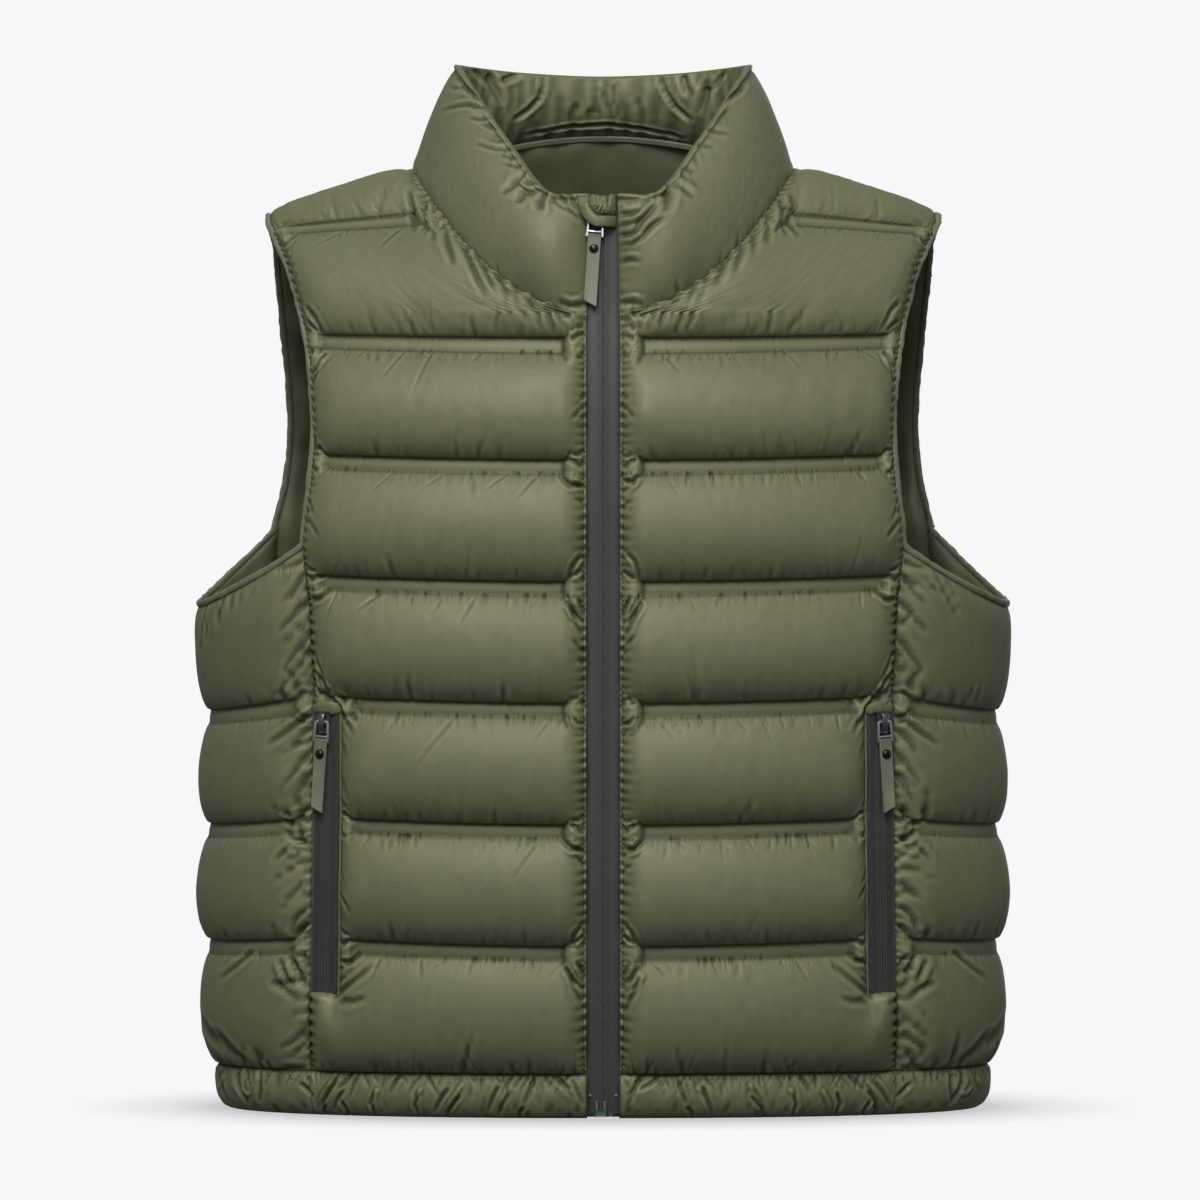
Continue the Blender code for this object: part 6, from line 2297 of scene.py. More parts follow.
def settle_twice(rng, point, rows, columns, lift_of, creases, fine, pin_rows, full, steps, push):
    """Settles a cloth face that has no channels, coarse then fine. point(rows, columns) gives
    the plain grid and which way is out, lift_of(rows, columns) how far the filling lifts it."""
    base, normal = point(rows, columns)
    lift = lift_of(rows, columns)
    up, along = column_distance(base), row_distance(base)
    length = along[len(along) // 2, -1]
    along *= length / along[:, -1:]
    soft = np.clip(lift / 0.003, 0.3, 1)
    start = lift * FACE_LIFT - crease_field(along, up, creases) * soft
    start += smooth_noise(rng, lift.shape, RIPPLE_SPREAD) * FACE_RIPPLE * soft
    start = base + normal * start[..., None]
    free = free_inside(lift.shape)
    for i in pin_rows:
        free[i, ::2] = 0
    far = np.minimum(up, up[-1] - up)
    far = np.minimum(far, np.minimum(along, along[:, -1:] - along))
    at_edge = bell(far, FACE_EDGE)
    patchy = np.clip(1 + PATCHINESS * smooth_noise(rng, lift.shape, (6, 6)), 0.2, 2)
    wide, high = full
    along_full = 1 + FACE_SLACK + wide * at_edge * patchy
    up_full = 1 + FACE_SLACK + high * bell(np.minimum(along, along[:, -1:] - along), FACE_EDGE)
    press = np.clip(lift / 0.002, 0.1, 1)
    floor = np.full((*lift.shape, 1), -FACE_FLOOR)
    if steps:
        start = settle(
            base, normal, start, free, press, along_full, up_full, steps, push, push * 0.4,
            FACE_BEND, floor,
        )
    moved = refine(start - base)
    rows, columns = midpoints(rows), midpoints(columns)
    base, normal = point(rows, columns)
    up, along = column_distance(base), row_distance(base)
    along *= length / along[:, -1:]
    soft = np.clip(lift_of(rows, columns) / 0.003, 0, 1)
    detail = smooth_noise(rng, soft.shape, FINE_RIPPLE_SPREAD) * FINE_RIPPLE
    detail -= crease_field(along, up, fine)
    start = base + moved + normal * (detail * soft)[..., None]
    free = free_inside(soft.shape)
    for i in pin_rows:
        free[2 * i, ::4] = 0
    if steps:
        along_full = refine((along_full - 1) * FINE_FULLNESS + 1)
        up_full = refine((up_full - 1) * FINE_FULLNESS + 1)
        start = settle(
            base, normal, start, free, refine(press), along_full, up_full, steps // 3, push / 5,
            push / 12, FACE_FINE_BEND, refine(floor),
        )
    return base, start


def collar_grid(rows, columns):
    """The collar's plain surface between the neck seam and its top edge, and which way is out."""
    seam = neck_seam(columns)
    top, _ = collar_top(seam)
    share = np.asarray(rows)[:, None, None]
    up = top - seam
    up[:, 2] += COLLAR_POINTS * bell(top[:, 0], 0.045) * (top[:, 1] < 0)
    clear = up / np.linalg.norm(up, axis=1, keepdims=True) * COLLAR_CLEAR
    base = seam + clear + (up - clear) * share
    return base, normals_of(base)


def collar_fill(rows, columns):
    """How far the down lifts the collar's outside."""
    base, _ = collar_grid(rows, columns)
    _, puff = collar_top(neck_seam(columns))
    ends = np.minimum(distance_to(base, base[:, 0]), distance_to(base, base[:, -1]))
    body = np.sin(np.pi * np.asarray(rows))[:, None] ** 0.75
    rows = np.asarray(rows)
    rolled = COLLAR_RIM * bell(rows - 0.99, 0.014)[:, None]
    rolled = rolled - COLLAR_SEAM * bell(rows - 0.952, 0.010)[:, None]
    return (puff + 0.001) * body * ease(ends - COLLAR_END_FLAT, COLLAR_END_FALL) + rolled


class VEST_OT_collar(bpy.types.Operator):
    """Sew the stand collar, its outside and its lining, and settle its down"""

    bl_idname = "vest.collar"
    bl_label = "Collar"

    def execute(self, context):
        quilting = context.scene.vest_quilting
        steps = quilting.steps
        rng = np.random.default_rng(61)
        rows = np.concatenate([np.linspace(0, 0.955, TOP_STITCH_ROW + 1), [0.978, 1.0]])
        turn = np.linspace(0, 1, COLLAR_COLUMNS)
        columns = turn - COLLAR_CLOSE * np.sin(2 * np.pi * turn) / (2 * np.pi)
        plain, _ = collar_grid(rows, columns)
        length = float(row_distance(plain)[len(rows) // 2, -1])
        folds, fine = (puckers(rng, 0.0, length, 0.0, 1, *sizes) for sizes in COLLAR_PUCKERS)
        fullness, push = COLLAR_OUTSIDE
        base, outer = settle_twice(
            rng, collar_grid, rows, columns, collar_fill, folds, fine, (TOP_STITCH_ROW,),
            fullness, steps, push,
        )
        outer += normals_of(base) * drawn(base, LAID["collar"])[..., None]
        folds = puckers(rng, 0.0, length, 0.0, 1, *LINING_PUCKERS)

        def inside_grid(rows, columns):
            plain, out = collar_grid(rows, columns)
            return plain - out * STITCHED, -out

        def inside_fill(rows, columns):
            plain, _ = collar_grid(rows, columns)
            ends = np.minimum(distance_to(plain, plain[:, 0]), distance_to(plain, plain[:, -1]))
            body = np.sin(np.pi * np.asarray(rows))[:, None] ** 0.8
            return COLLAR_LINING_PUFF * body * ease(ends - COLLAR_END_FLAT, COLLAR_END_FALL)

        fullness, push = COLLAR_INSIDE
        _, inner = settle_twice(
            rng, inside_grid, rows, columns, inside_fill, folds, (), (TOP_STITCH_ROW,),
            fullness, steps, push,
        )
        inner -= normals_of(base) * drawn(base, LAID["lining"], True)[..., None]
        # Painted shade along the neck seam, lighter at the two front ends, and none at the top edge
        obj = quilt_mesh(
            "shell_collar", outer, inner, range(outer.shape[0]), range(outer.shape[1]),
            cloth_uv(base), finish("shell"), edges=(1, 0, 0.6, 0.6),
        )
        dress(obj, "collar")
        PANELS["collar"] = {"outer": outer, "normal": normals_of(outer)}
        return {"FINISHED"}


def hem_surface(start, end):
    def grid(rows, columns):
        turn, share = np.meshgrid(start + (end - start) * np.asarray(columns), np.asarray(rows))
        points = ring_point(turn, share * (HEM_BAND - SEAM_GAP / 2))
        out = normals_of(points)
        return points - out * (STITCHED / 2) * bell(share, 0.1)[..., None], out

    return grid


def hem_fill(rows, columns):
    body = np.sin(np.pi * np.asarray(rows)) ** 0.36
    return np.broadcast_to(HEM_PUFF * body[:, None], (len(rows), len(columns))).copy()


class VEST_OT_hem(bpy.types.Operator):
    """Sew the gathered casing round the hem, in five lengths"""

    bl_idname = "vest.hem"
    bl_label = "Hem casing"

    def execute(self, context):
        front_seam = float(turn_at(front_edge(HEM_BAND), HEM_BAND))
        back_seam = math.pi - float(turn_at(back_edge(HEM_BAND), HEM_BAND))
        at_zip = float(turn_at(ZIP_HALF + SEAM_GAP / 2, HEM_BAND))
        front = (at_zip, front_seam - HEM_PARTING, 84)
        flank = (front_seam + HEM_PARTING, back_seam - HEM_PARTING, 72)
        behind = (back_seam + HEM_PARTING, 2 * math.pi - back_seam - HEM_PARTING, 120)
        lengths = (
            ("front_left", *front, 71, False),
            ("front_right", *front, 72, True),
            ("side_left", *flank, 73, False),
            ("side_right", *flank, 74, True),
            ("back", *behind, 75, False),
        )
        steps = context.scene.vest_quilting.steps
        for name, start, end, count, seed, mirror in lengths:
            rng = np.random.default_rng(seed)
            grid = hem_surface(start, end)
            rows, columns = np.linspace(0, 1, HEM_ROWS), np.linspace(0, 1, count)
            plain, _ = grid(rows, columns)
            length = float(row_distance(plain)[-1, -1])
            folds = []
            if name == "back":
                for lean in HEM_LEANS:
                    folds += puckers(rng, 0, length, HEM_BAND, -1, *HEM_TOP_FOLDS, lean)
                    folds += puckers(rng, 0, length, 0.001, 1, *HEM_FOOT_FOLDS, lean)
            fine = []
            for lean in HEM_FINE_LEANS:
                fine += puckers(rng, 0, length, HEM_BAND, -1, *HEM_FINE, lean)
            fullness, push = HEM_SETTLING
            base, outer = settle_twice(
                rng, grid, rows, columns, hem_fill, folds, fine, (), fullness, steps, push
            )
            normal = normals_of(base)
            if name != "back":
                folds = LAID["hem_right" if mirror else "hem_left"]
                outer += normal * drawn(base, folds)[..., None]
            share = np.linspace(0, 1, len(outer))[:, None, None]
            depth = STITCHED - (STITCHED - 0.0003) * bell(share, 0.08)
            wave = smooth_noise(rng, outer.shape[:2], (4.0, 1.6))[..., None] * 0.0005
            bulge = 0.0015 * np.sin(np.pi * share)
            inner = base - normal * (depth + bulge + wave * np.sin(np.pi * share))
            rows, columns = every(len(outer), 2), every(outer.shape[1], 2)
            obj = quilt_mesh(
                f"casing_{name}", outer, inner[np.ix_(rows, columns)], rows, columns,
                cloth_uv(base), finish("shell"), mirror,
            )
            dress(obj, f"hem_{name}")
            PANELS[f"hem_{name}"] = {"outer": outer, "normal": normals_of(outer)}
        return {"FINISHED"}


# ---------------------------------------------------------------- zips


def narrow_strip(name, node_name, point, rows, columns, lift, thickness, made_of, mirror=False):
    """A woven tape: point(columns, rows) gives its plain face and which way is out, and lift
    how far each column stands up."""
    base, out = point(columns, rows)
    outer = base + out * lift(base)[..., None]
    kept, across = every(len(rows), 4), [0, len(columns) // 2, len(columns) - 1]
    inner = (base - out * thickness)[np.ix_(kept, across)]
    obj = quilt_mesh(name, outer, inner, kept, across, cloth_uv(base), finish(made_of), mirror)
    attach(obj, VEST)
    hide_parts(node_name)
    return outer, out


def tape_profile(distance):
    """How far a closed zip's face stands up at each distance from its middle: the coil's two
    rows under the cloth, with a groove between them."""
    return np.interp(distance, *zip(*COIL_PROFILE))


def chain_lines(outer, out, columns):
    """The lines of chain stitching down a tape, one for each column."""
    return [(outer[:, j] + out[:, j] * CHAIN_LIFT, out[:, j]) for j in columns]


def front_tape_point(columns, rows):
    x, height = np.meshgrid(np.asarray(columns), np.asarray(rows))
    limit = zip_edge(height) + TUCKED
    x = np.minimum(x, limit)
    x[:, -1] = limit[:, -1]
    base = np.stack([x, centre_front(height) + TAPE_RECESS, height], axis=-1)
    out = np.zeros(base.shape)
    out[..., 1] = -1
    return base, out


def pocket_tape_point(columns, rows):
    """Columns are shares of the front's width and rows are its levels."""
    share, level = np.meshgrid(np.asarray(columns), np.asarray(rows))
    base = front_point(share, level)
    out = normals_of(base)
    return base + out * (TAPE_CLEAR + TAPE), out


class VEST_OT_zips(bpy.types.Operator):
    """Weave the tapes of the front zip and the pocket zips, with their coils and chain stitching"""

    bl_idname = "vest.zips"
    bl_label = "Zip tapes"

    def execute(self, context):
        rows = np.linspace(ZIP_BOTTOM, FRONT_TAPE_TOP, 190)
        columns = [x - 0.0003 for x in COIL_COLUMNS] + [ZIP_HALF + TUCKED]

        def front_lift(base):
            return tape_profile(base[..., 0])

        for side, mirror in (("left", False), ("right", True)):
            outer, out = narrow_strip(
                f"tape_front_{side}", f"front_zip_tape_{side}", front_tape_point, rows, columns,
                front_lift, TAPE, "tape", mirror,
            )
            chains = (3, 5) if side == "left" else (2, 4, 6)
            lines = chain_lines(outer, out, chains)
            sew(f"coil_front_{side}", lines, CHAIN_STITCH, finish("chain"), mirror)
        levels = np.linspace(*POCKET_LEVELS, 90)
        half = np.array(POCKET_COIL_SHARES)
        width = np.unique(np.concatenate([-half, half]))
        shares = POCKET_SHARE + (1 - POCKET_SHARE) * (width + 0.5)

        def pocket_lift(base):
            along = row_distance(base)
            return tape_profile(np.abs(along - along[:, -1:] / 2))

        middle = len(shares) // 2
        # The pocket tapes take the darker webbing, with shade painted into its colour
        for side, mirror in (("left", False), ("right", True)):
            outer, out = narrow_strip(
                f"tape_pocket_{side}", f"pocket_zip_tape_{side}", pocket_tape_point, levels,
                shares, pocket_lift, TAPE, "tape_in_painted_shade", mirror,
            )
            lines = chain_lines(outer, out, [middle + k for k in (-4, -2, 2, 4)])
            sew(f"coil_pocket_{side}", lines, CHAIN_STITCH, finish("chain"), mirror)
        return {"FINISHED"}


# ---------------------------------------------------------------- metal and moulded pieces


def deselect():
    bpy.ops.object.select_all(action="DESELECT")


def object_mode():
    bpy.ops.object.mode_set(mode="OBJECT")


def inset(thickness, depth, **each):
    bpy.ops.mesh.inset(thickness=thickness, depth=depth, **each)


def block(low, high):
    """A box between two corners, as the start of a piece."""
    deselect()
    low, high = Vector(low), Vector(high)
    bpy.ops.mesh.primitive_cube_add(size=1, location=(low + high) / 2, scale=high - low)
    bpy.ops.object.transform_apply(location=True, rotation=True, scale=True)
    return bpy.context.object


def choose(obj, test, kind="FACE"):
    """Opens a mesh with its faces or points chosen by their place and normal."""
    deselect()
    obj.select_set(True)
    bpy.context.view_layer.objects.active = obj
    bpy.ops.object.mode_set(mode="EDIT")
    bpy.ops.mesh.select_mode(type=kind)
    bpy.ops.mesh.select_all(action="DESELECT")
    object_mode()
    for item in obj.data.polygons if kind == "FACE" else obj.data.vertices:
        where = item.center if kind == "FACE" else item.co
        item.select = bool(test(where, item.normal))
    bpy.ops.object.mode_set(mode="EDIT")


def done():
    bpy.ops.mesh.select_all(action="SELECT")
    bpy.ops.mesh.normals_make_consistent(inside=False)
    object_mode()


def round_off(obj, width, segments=2):
    """Rounds every sharp edge."""
    deselect()
    obj.select_set(True)
    bpy.context.view_layer.objects.active = obj
    bevel = obj.modifiers.new("edges", "BEVEL")
    bevel.width = width
    bevel.segments = segments
    bevel.limit_method = "ANGLE"
    bevel.angle_limit = math.radians(32)
    bpy.ops.object.modifier_apply(modifier=bevel.name)
    return obj


def joined(name, parts):
    deselect()
    for part in parts:
        part.select_set(True)
    bpy.context.view_layer.objects.active = parts[0]
    if len(parts) > 1:
        bpy.ops.object.join()
    obj = bpy.context.object
    obj.name = obj.data.name = name
    bpy.ops.object.shade_smooth_by_angle(angle=math.radians(38))
    return obj


def fit(model, name, at, made_of, body, node_name):
    """A copy of a modelled piece, put in its place and given its finish."""
    obj = bpy.data.objects.new(name, model.data.copy())
    obj.data.name = name
    bpy.context.scene.collection.objects.link(obj)
    obj.data.transform(at)
    obj.data.materials.clear()
    obj.data.materials.append(finish(made_of))
    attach(obj, body)
    if node_name:
        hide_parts(node_name)
    return obj


def model_slider():
    """A slider's body, wide at the shoulders and narrow at the foot, with the bridge over it
    that holds the pull."""
    back = HINGE_LIFT - SEAM_GAP
    front = back - PLATE_THICKNESS
    body = block((-PLATE_HALF, front, PLATE_BOTTOM), (PLATE_HALF, back, PLATE_TOP))
    choose(body, lambda at, out: abs(out.x) > 0.9 or abs(out.y) > 0.9)
    bpy.ops.mesh.subdivide(number_cuts=5)
    object_mode()
    length = PLATE_TOP - PLATE_BOTTOM
    for point in body.data.vertices:
        up = (point.co.z - PLATE_BOTTOM) / length
        point.co.x *= np.interp(up, *zip(*SLIDER_OUTLINE))
    choose(body, lambda at, out: out.y < -0.9 and abs(at.x) < PLATE_HALF * 0.9)
    inset(*SLIDER_INSET)
    done()
    round_off(body, SLIDER_EDGE)
    middle = (CROWN_TOP + CROWN_BOTTOM) / 2
    reach = (CROWN_TOP - CROWN_BOTTOM - CROWN_LEG) / 2
    deselect()
    bpy.ops.mesh.primitive_plane_add(
        size=1, location=(0, front, middle + reach), rotation=(math.pi / 2, 0, 0)
    )
    bridge = bpy.context.object
    bridge.scale = (2 * CROWN_HALF, CROWN_LEG, 1)
    bpy.ops.object.transform_apply(location=True, rotation=True, scale=True)
    choose(bridge, lambda at, out: True)
    bpy.ops.mesh.spin(steps=14, angle=math.pi, center=(0, front, middle), axis=(1, 0, 0))
    done()
    low = min(v.co.y for v in bridge.data.vertices)
    if low > front - reach / 2:
        for point in bridge.data.vertices:
            point.co.y = 2 * front - point.co.y
        choose(bridge, lambda at, out: True)
        done()
    rise = (front + CROWN_RISE) / (reach + CROWN_LEG / 2)
    for point in bridge.data.vertices:
        flat = (front - point.co.y) * rise
        point.co.y = front + BRIDGE_SUNK
        if flat > 0:
            point.co.y -= flat**0.8 * (front + CROWN_RISE) ** 0.2
    round_off(bridge, BRIDGE_EDGE)
    return joined("slider_model", [body, bridge])


def model_pull_frame():
    """The wire H that the tab hangs from: its legs turn inward at the top into the hinge bar."""
    half = PULL_THICKNESS / 2
    inner = PULL_HALF - WIRE
    top = half - CORNER
    leg = block((-PULL_HALF, -half, -LEGS_DROP), (-inner, half, top))
    choose(leg, lambda at, out: out.z > 0.9)
    turn = (CORNER - PULL_HALF, 0, top)
    bpy.ops.mesh.spin(steps=5, angle=-math.pi / 2, center=turn, axis=(0, 1, 0))
    object_mode()
    if max(v.co.z for v in leg.data.vertices) < -CORNER / 2:
        raise RuntimeError("the pull frame's corner turned the wrong way")
    choose(leg, lambda at, out: abs(out.x) > 0.9 and abs(at.x - turn[0]) < 1e-4 and at.z > top)
    bpy.ops.mesh.extrude_region_move(
        TRANSFORM_OT_translate={"value": (PULL_HALF - CORNER, 0, 0)}
    )
    bpy.ops.mesh.delete(type="FACE")
    object_mode()
    mirror = leg.modifiers.new("other half", "MIRROR")
    mirror.merge_threshold = 1e-5
    bpy.ops.object.modifier_apply(modifier=mirror.name)
    for point in leg.data.vertices:
        point.co.x *= 1 - WAIST * np.clip((point.co.z - WAIST_FROM) / WAIST_RUN, 0, 1)
    bar = block(
        (-inner - 0.0003, -half * 0.8, -CROSSBAR_DROP - CROSSBAR),
        (inner + 0.0003, half * 0.8, -CROSSBAR_DROP),
    )
    choose(leg, lambda at, out: True)
    done()
    return joined("pull_frame_model", [round_off(leg, LEG_EDGE), round_off(bar, BAR_EDGE)])


def model_pull_tab(slant):
    """The moulded tab, cut off at a slant, with a raised rim and a slightly sunk face."""
    half = TAB_THICKNESS / 2
    tab = block((-TAB_HALF, -half, -TAB_BOTTOM), (TAB_HALF, half, -TAB_TOP))
    choose(tab, lambda at, out: at.z < -TAB_BOTTOM + 1e-5 and at.x < 0, "VERT")
    bpy.ops.transform.translate(value=(0, 0, -slant / 2))
    object_mode()
    choose(tab, lambda at, out: at.z < -TAB_BOTTOM + 0.001 and at.x > 0, "VERT")
    bpy.ops.transform.translate(value=(0, 0, slant / 2))
    done()
    round_off(tab, TAB_EDGE)
    choose(tab, lambda at, out: abs(out.y) > 0.98)
    inset(*TAB_INSET, use_individual=True)
    done()
    return joined("pull_tab_model", [tab])


def model_rivet():
    """A domed rivet head on a thin flange."""
    face = -TAB_THICKNESS / 2
    deselect()
    bpy.ops.mesh.primitive_uv_sphere_add(
        segments=24, ring_count=12, radius=RIVET_RADIUS * DOME_SHARE, rotation=(math.pi / 2, 0, 0)
    )
    bpy.ops.object.transform_apply(rotation=True)
    dome = bpy.context.object
    choose(dome, lambda at, out: True)
    bpy.ops.mesh.bisect(
        plane_co=(0, 0, 0), plane_no=(0, 1, 0), use_fill=True, clear_outer=True
    )
    object_mode()
    if min(v.co.y for v in dome.data.vertices) > -RIVET_RADIUS / 2:
        raise RuntimeError("the rivet's dome was cut on the wrong side")
    for point in dome.data.vertices:
        point.co.y *= (RIVET_RISE - DOME_FOOT) / (RIVET_RADIUS * DOME_SHARE)
        point.co.y += face - DOME_FOOT
        point.co.z -= RIVET_DROP
    deselect()
    bpy.ops.mesh.primitive_cylinder_add(
        vertices=28, radius=RIVET_RADIUS, depth=FLANGE_THICKNESS, rotation=(math.pi / 2, 0, 0),
        location=(0, face - 0.0001, -RIVET_DROP),
    )
    bpy.ops.object.transform_apply(location=True, rotation=True)
    flange = round_off(bpy.context.object, FLANGE_EDGE)
    choose(dome, lambda at, out: True)
    done()
    return joined("rivet_model", [dome, flange])


def zip_frame(x, height, lift):
    """The frame on the tape at x and height: X across, Z up the tape, -Y out, lifted out."""

    def at(a, b):
        if abs(x) < ZIP_HALF:
            return np.array([a, centre_front(b), b])
        return body_point(a, b, -1)

    across = Vector(at(x + 0.001, height) - at(x - 0.001, height)).normalized()
    up = Vector(at(x, height + 0.008) - at(x, height - 0.008)).normalized()
    inward = up.cross(across).normalized()
    across = inward.cross(up)
    origin = Vector(place(at(x, height))) - inward * lift
    frame = Matrix((across, inward, up)).transposed().to_4x4()
    return Matrix.Translation(origin) @ frame


class VEST_OT_pulls(bpy.types.Operator):
    """Cast the sliders and hang a riveted pull from each"""

    bl_idname = "vest.pulls"
    bl_label = "Sliders and pulls"

    def execute(self, context):
        slider, frame_model, rivet = model_slider(), model_pull_frame(), model_rivet()
        tabs = {way: model_pull_tab(way * TAB_SLANT) for way in (-1, 1)}
        at = zip_frame(FRONT_SLIDER_X, FRONT_HINGE_HEIGHT, HINGE_LIFT - TAPE_RECESS)
        places = [("front", at, PULL_SKEW, FRONT_PULL_SHIFT, "front_pull")]
        lift = HINGE_LIFT + TAPE + TAPE_CLEAR
        x = float(front_edge(POCKET_HINGE_HEIGHT)) - POCKET_ZIP_WIDTH / 2
        for side, sign in (("left", 1), ("right", -1)):
            at = zip_frame(sign * x, POCKET_HINGE_HEIGHT, lift)
            places.append((f"pocket_{side}", at, -sign * PULL_SKEW, 0, f"pocket_pull_{side}"))
        for name, at, skew, shift, body in places:
            hang = at @ Matrix.Translation((shift, 0, 0)) @ Matrix.Rotation(skew, 4, "Y")
            tab = tabs[-1 if skew > 0 else 1]
            fit(slider, f"{name}_slider_body", at, "slider", VEST, f"{name}_slider")
            fit(frame_model, f"{name}_pull_wire", hang, "wire", body, f"{name}_pull_frame")
            fit(tab, f"{name}_pull_strip", hang, "tab", body, f"{name}_pull_tab")
            fit(rivet, f"{name}_pull_stud", hang, "rivet", body, f"{name}_pull_rivet")
        for model in (slider, frame_model, rivet, *tabs.values()):
            bpy.data.objects.remove(model)
        return {"FINISHED"}


def model_box():
    """The green box at the foot of the front zip, with the pin and the guide above it."""
    back = float(centre_front(BOX_PRONG_TOP)) + TAPE_RECESS - SEAM_GAP
    front = back - BOX_THICKNESS
    base = block((BOX_X - BOX_HALF, front, ZIP_BOTTOM), (BOX_X + BOX_HALF, back, BOX_HEIGHT))
    choose(base, lambda at, out: at.z > BOX_HEIGHT - 1e-5, "VERT")
    bpy.ops.transform.resize(value=(0.86, 1, 1), center_override=(BOX_X, 0, 0))
    object_mode()
    choose(base, lambda at, out: out.y < -0.9)
    inset(*BOX_INSET)
    done()
    parts = [round_off(base, BOX_EDGE)]
    for side in (-1, 1):
        near, far = BOX_HALF - BOX_PRONG * 1.15, BOX_HALF * 0.92
        low = (BOX_X + min(side * near, side * far), front + 0.0004, BOX_HEIGHT - 0.0012)
        high = (BOX_X + max(side * near, side * far), back, BOX_PRONG_TOP)
        prong = block(low, high)
        choose(prong, lambda at, out: at.z > BOX_PRONG_TOP - 1e-5, "VERT")
        tip = (BOX_X + side * (near + far) / 2, back, 0)
        bpy.ops.transform.resize(value=(0.6, 0.7, 1), center_override=tip)
        done()
        parts.append(round_off(prong, PRONG_EDGE, 3))
    return joined("box_model", parts)


def model_stop(side):
    """A small metal stop clamped over the tape's edge."""
    y = float(centre_front(STOP_HEIGHT)) + TAPE_RECESS
    x = side * (ZIP_HALF - 0.0019)
    stop = block((x - 0.0009, y - 0.0007, STOP_HEIGHT), (x + 0.0009, y + 0.0002, STOP_HEIGHT + 0.0014))
    choose(stop, lambda at, out: out.y < -0.9)
    inset(*STOP_INSET)
    done()
    return round_off(stop, STOP_EDGE)


class VEST_OT_box(bpy.types.Operator):
    """Mould the box and pin, and clamp the two stops over the tapes"""

    bl_idname = "vest.box"
    bl_label = "Zip box"

    def execute(self, context):
        at = Matrix.Translation(place(np.zeros(3)))
        box = model_box()
        fit(box, "zip_box_and_pin", at, "box", VEST, "front_zip_box")
        stops = joined("stops_model", [model_stop(-1), model_stop(1)])
        fit(stops, "zip_stops", at, "thread", VEST, None)
        for model in (box, stops):
            bpy.data.objects.remove(model)
        return {"FINISHED"}


# ---------------------------------------------------------------- garage, bindings and trim


def garage_grid(rows, columns):
    """The guard over the top of the front zip, as its source cuts it."""
    drop = np.asarray(rows)[:, None]
    height = GARAGE_TOP - drop * (GARAGE_TOP - GARAGE_BOTTOM - GARAGE_FLAT)
    share_down = (GARAGE_TOP - height) / (GARAGE_TOP - GARAGE_BOTTOM)
    across = (1 - share_down**GARAGE_ROUNDNESS) ** (1 / GARAGE_ROUNDNESS)
    start = GARAGE_RIGHT + (GARAGE_LEFT - GARAGE_RIGHT) * across
    x = start + (GARAGE_RIGHT - start) * np.asarray(columns)[None, :]
    height = np.broadcast_to(height, x.shape)
    stand = smooth(x, column(GARAGE, 0), column(GARAGE, 1))
    closing = (height - GARAGE_CLOSES_FROM) / (GARAGE_TOP - GARAGE_CLOSES_FROM)
    stand = stand + (GARAGE_HEM - stand) * np.clip(closing, 0, 1)
    return np.stack([x, centre_front(height) + TAPE_RECESS - stand, height], axis=-1)


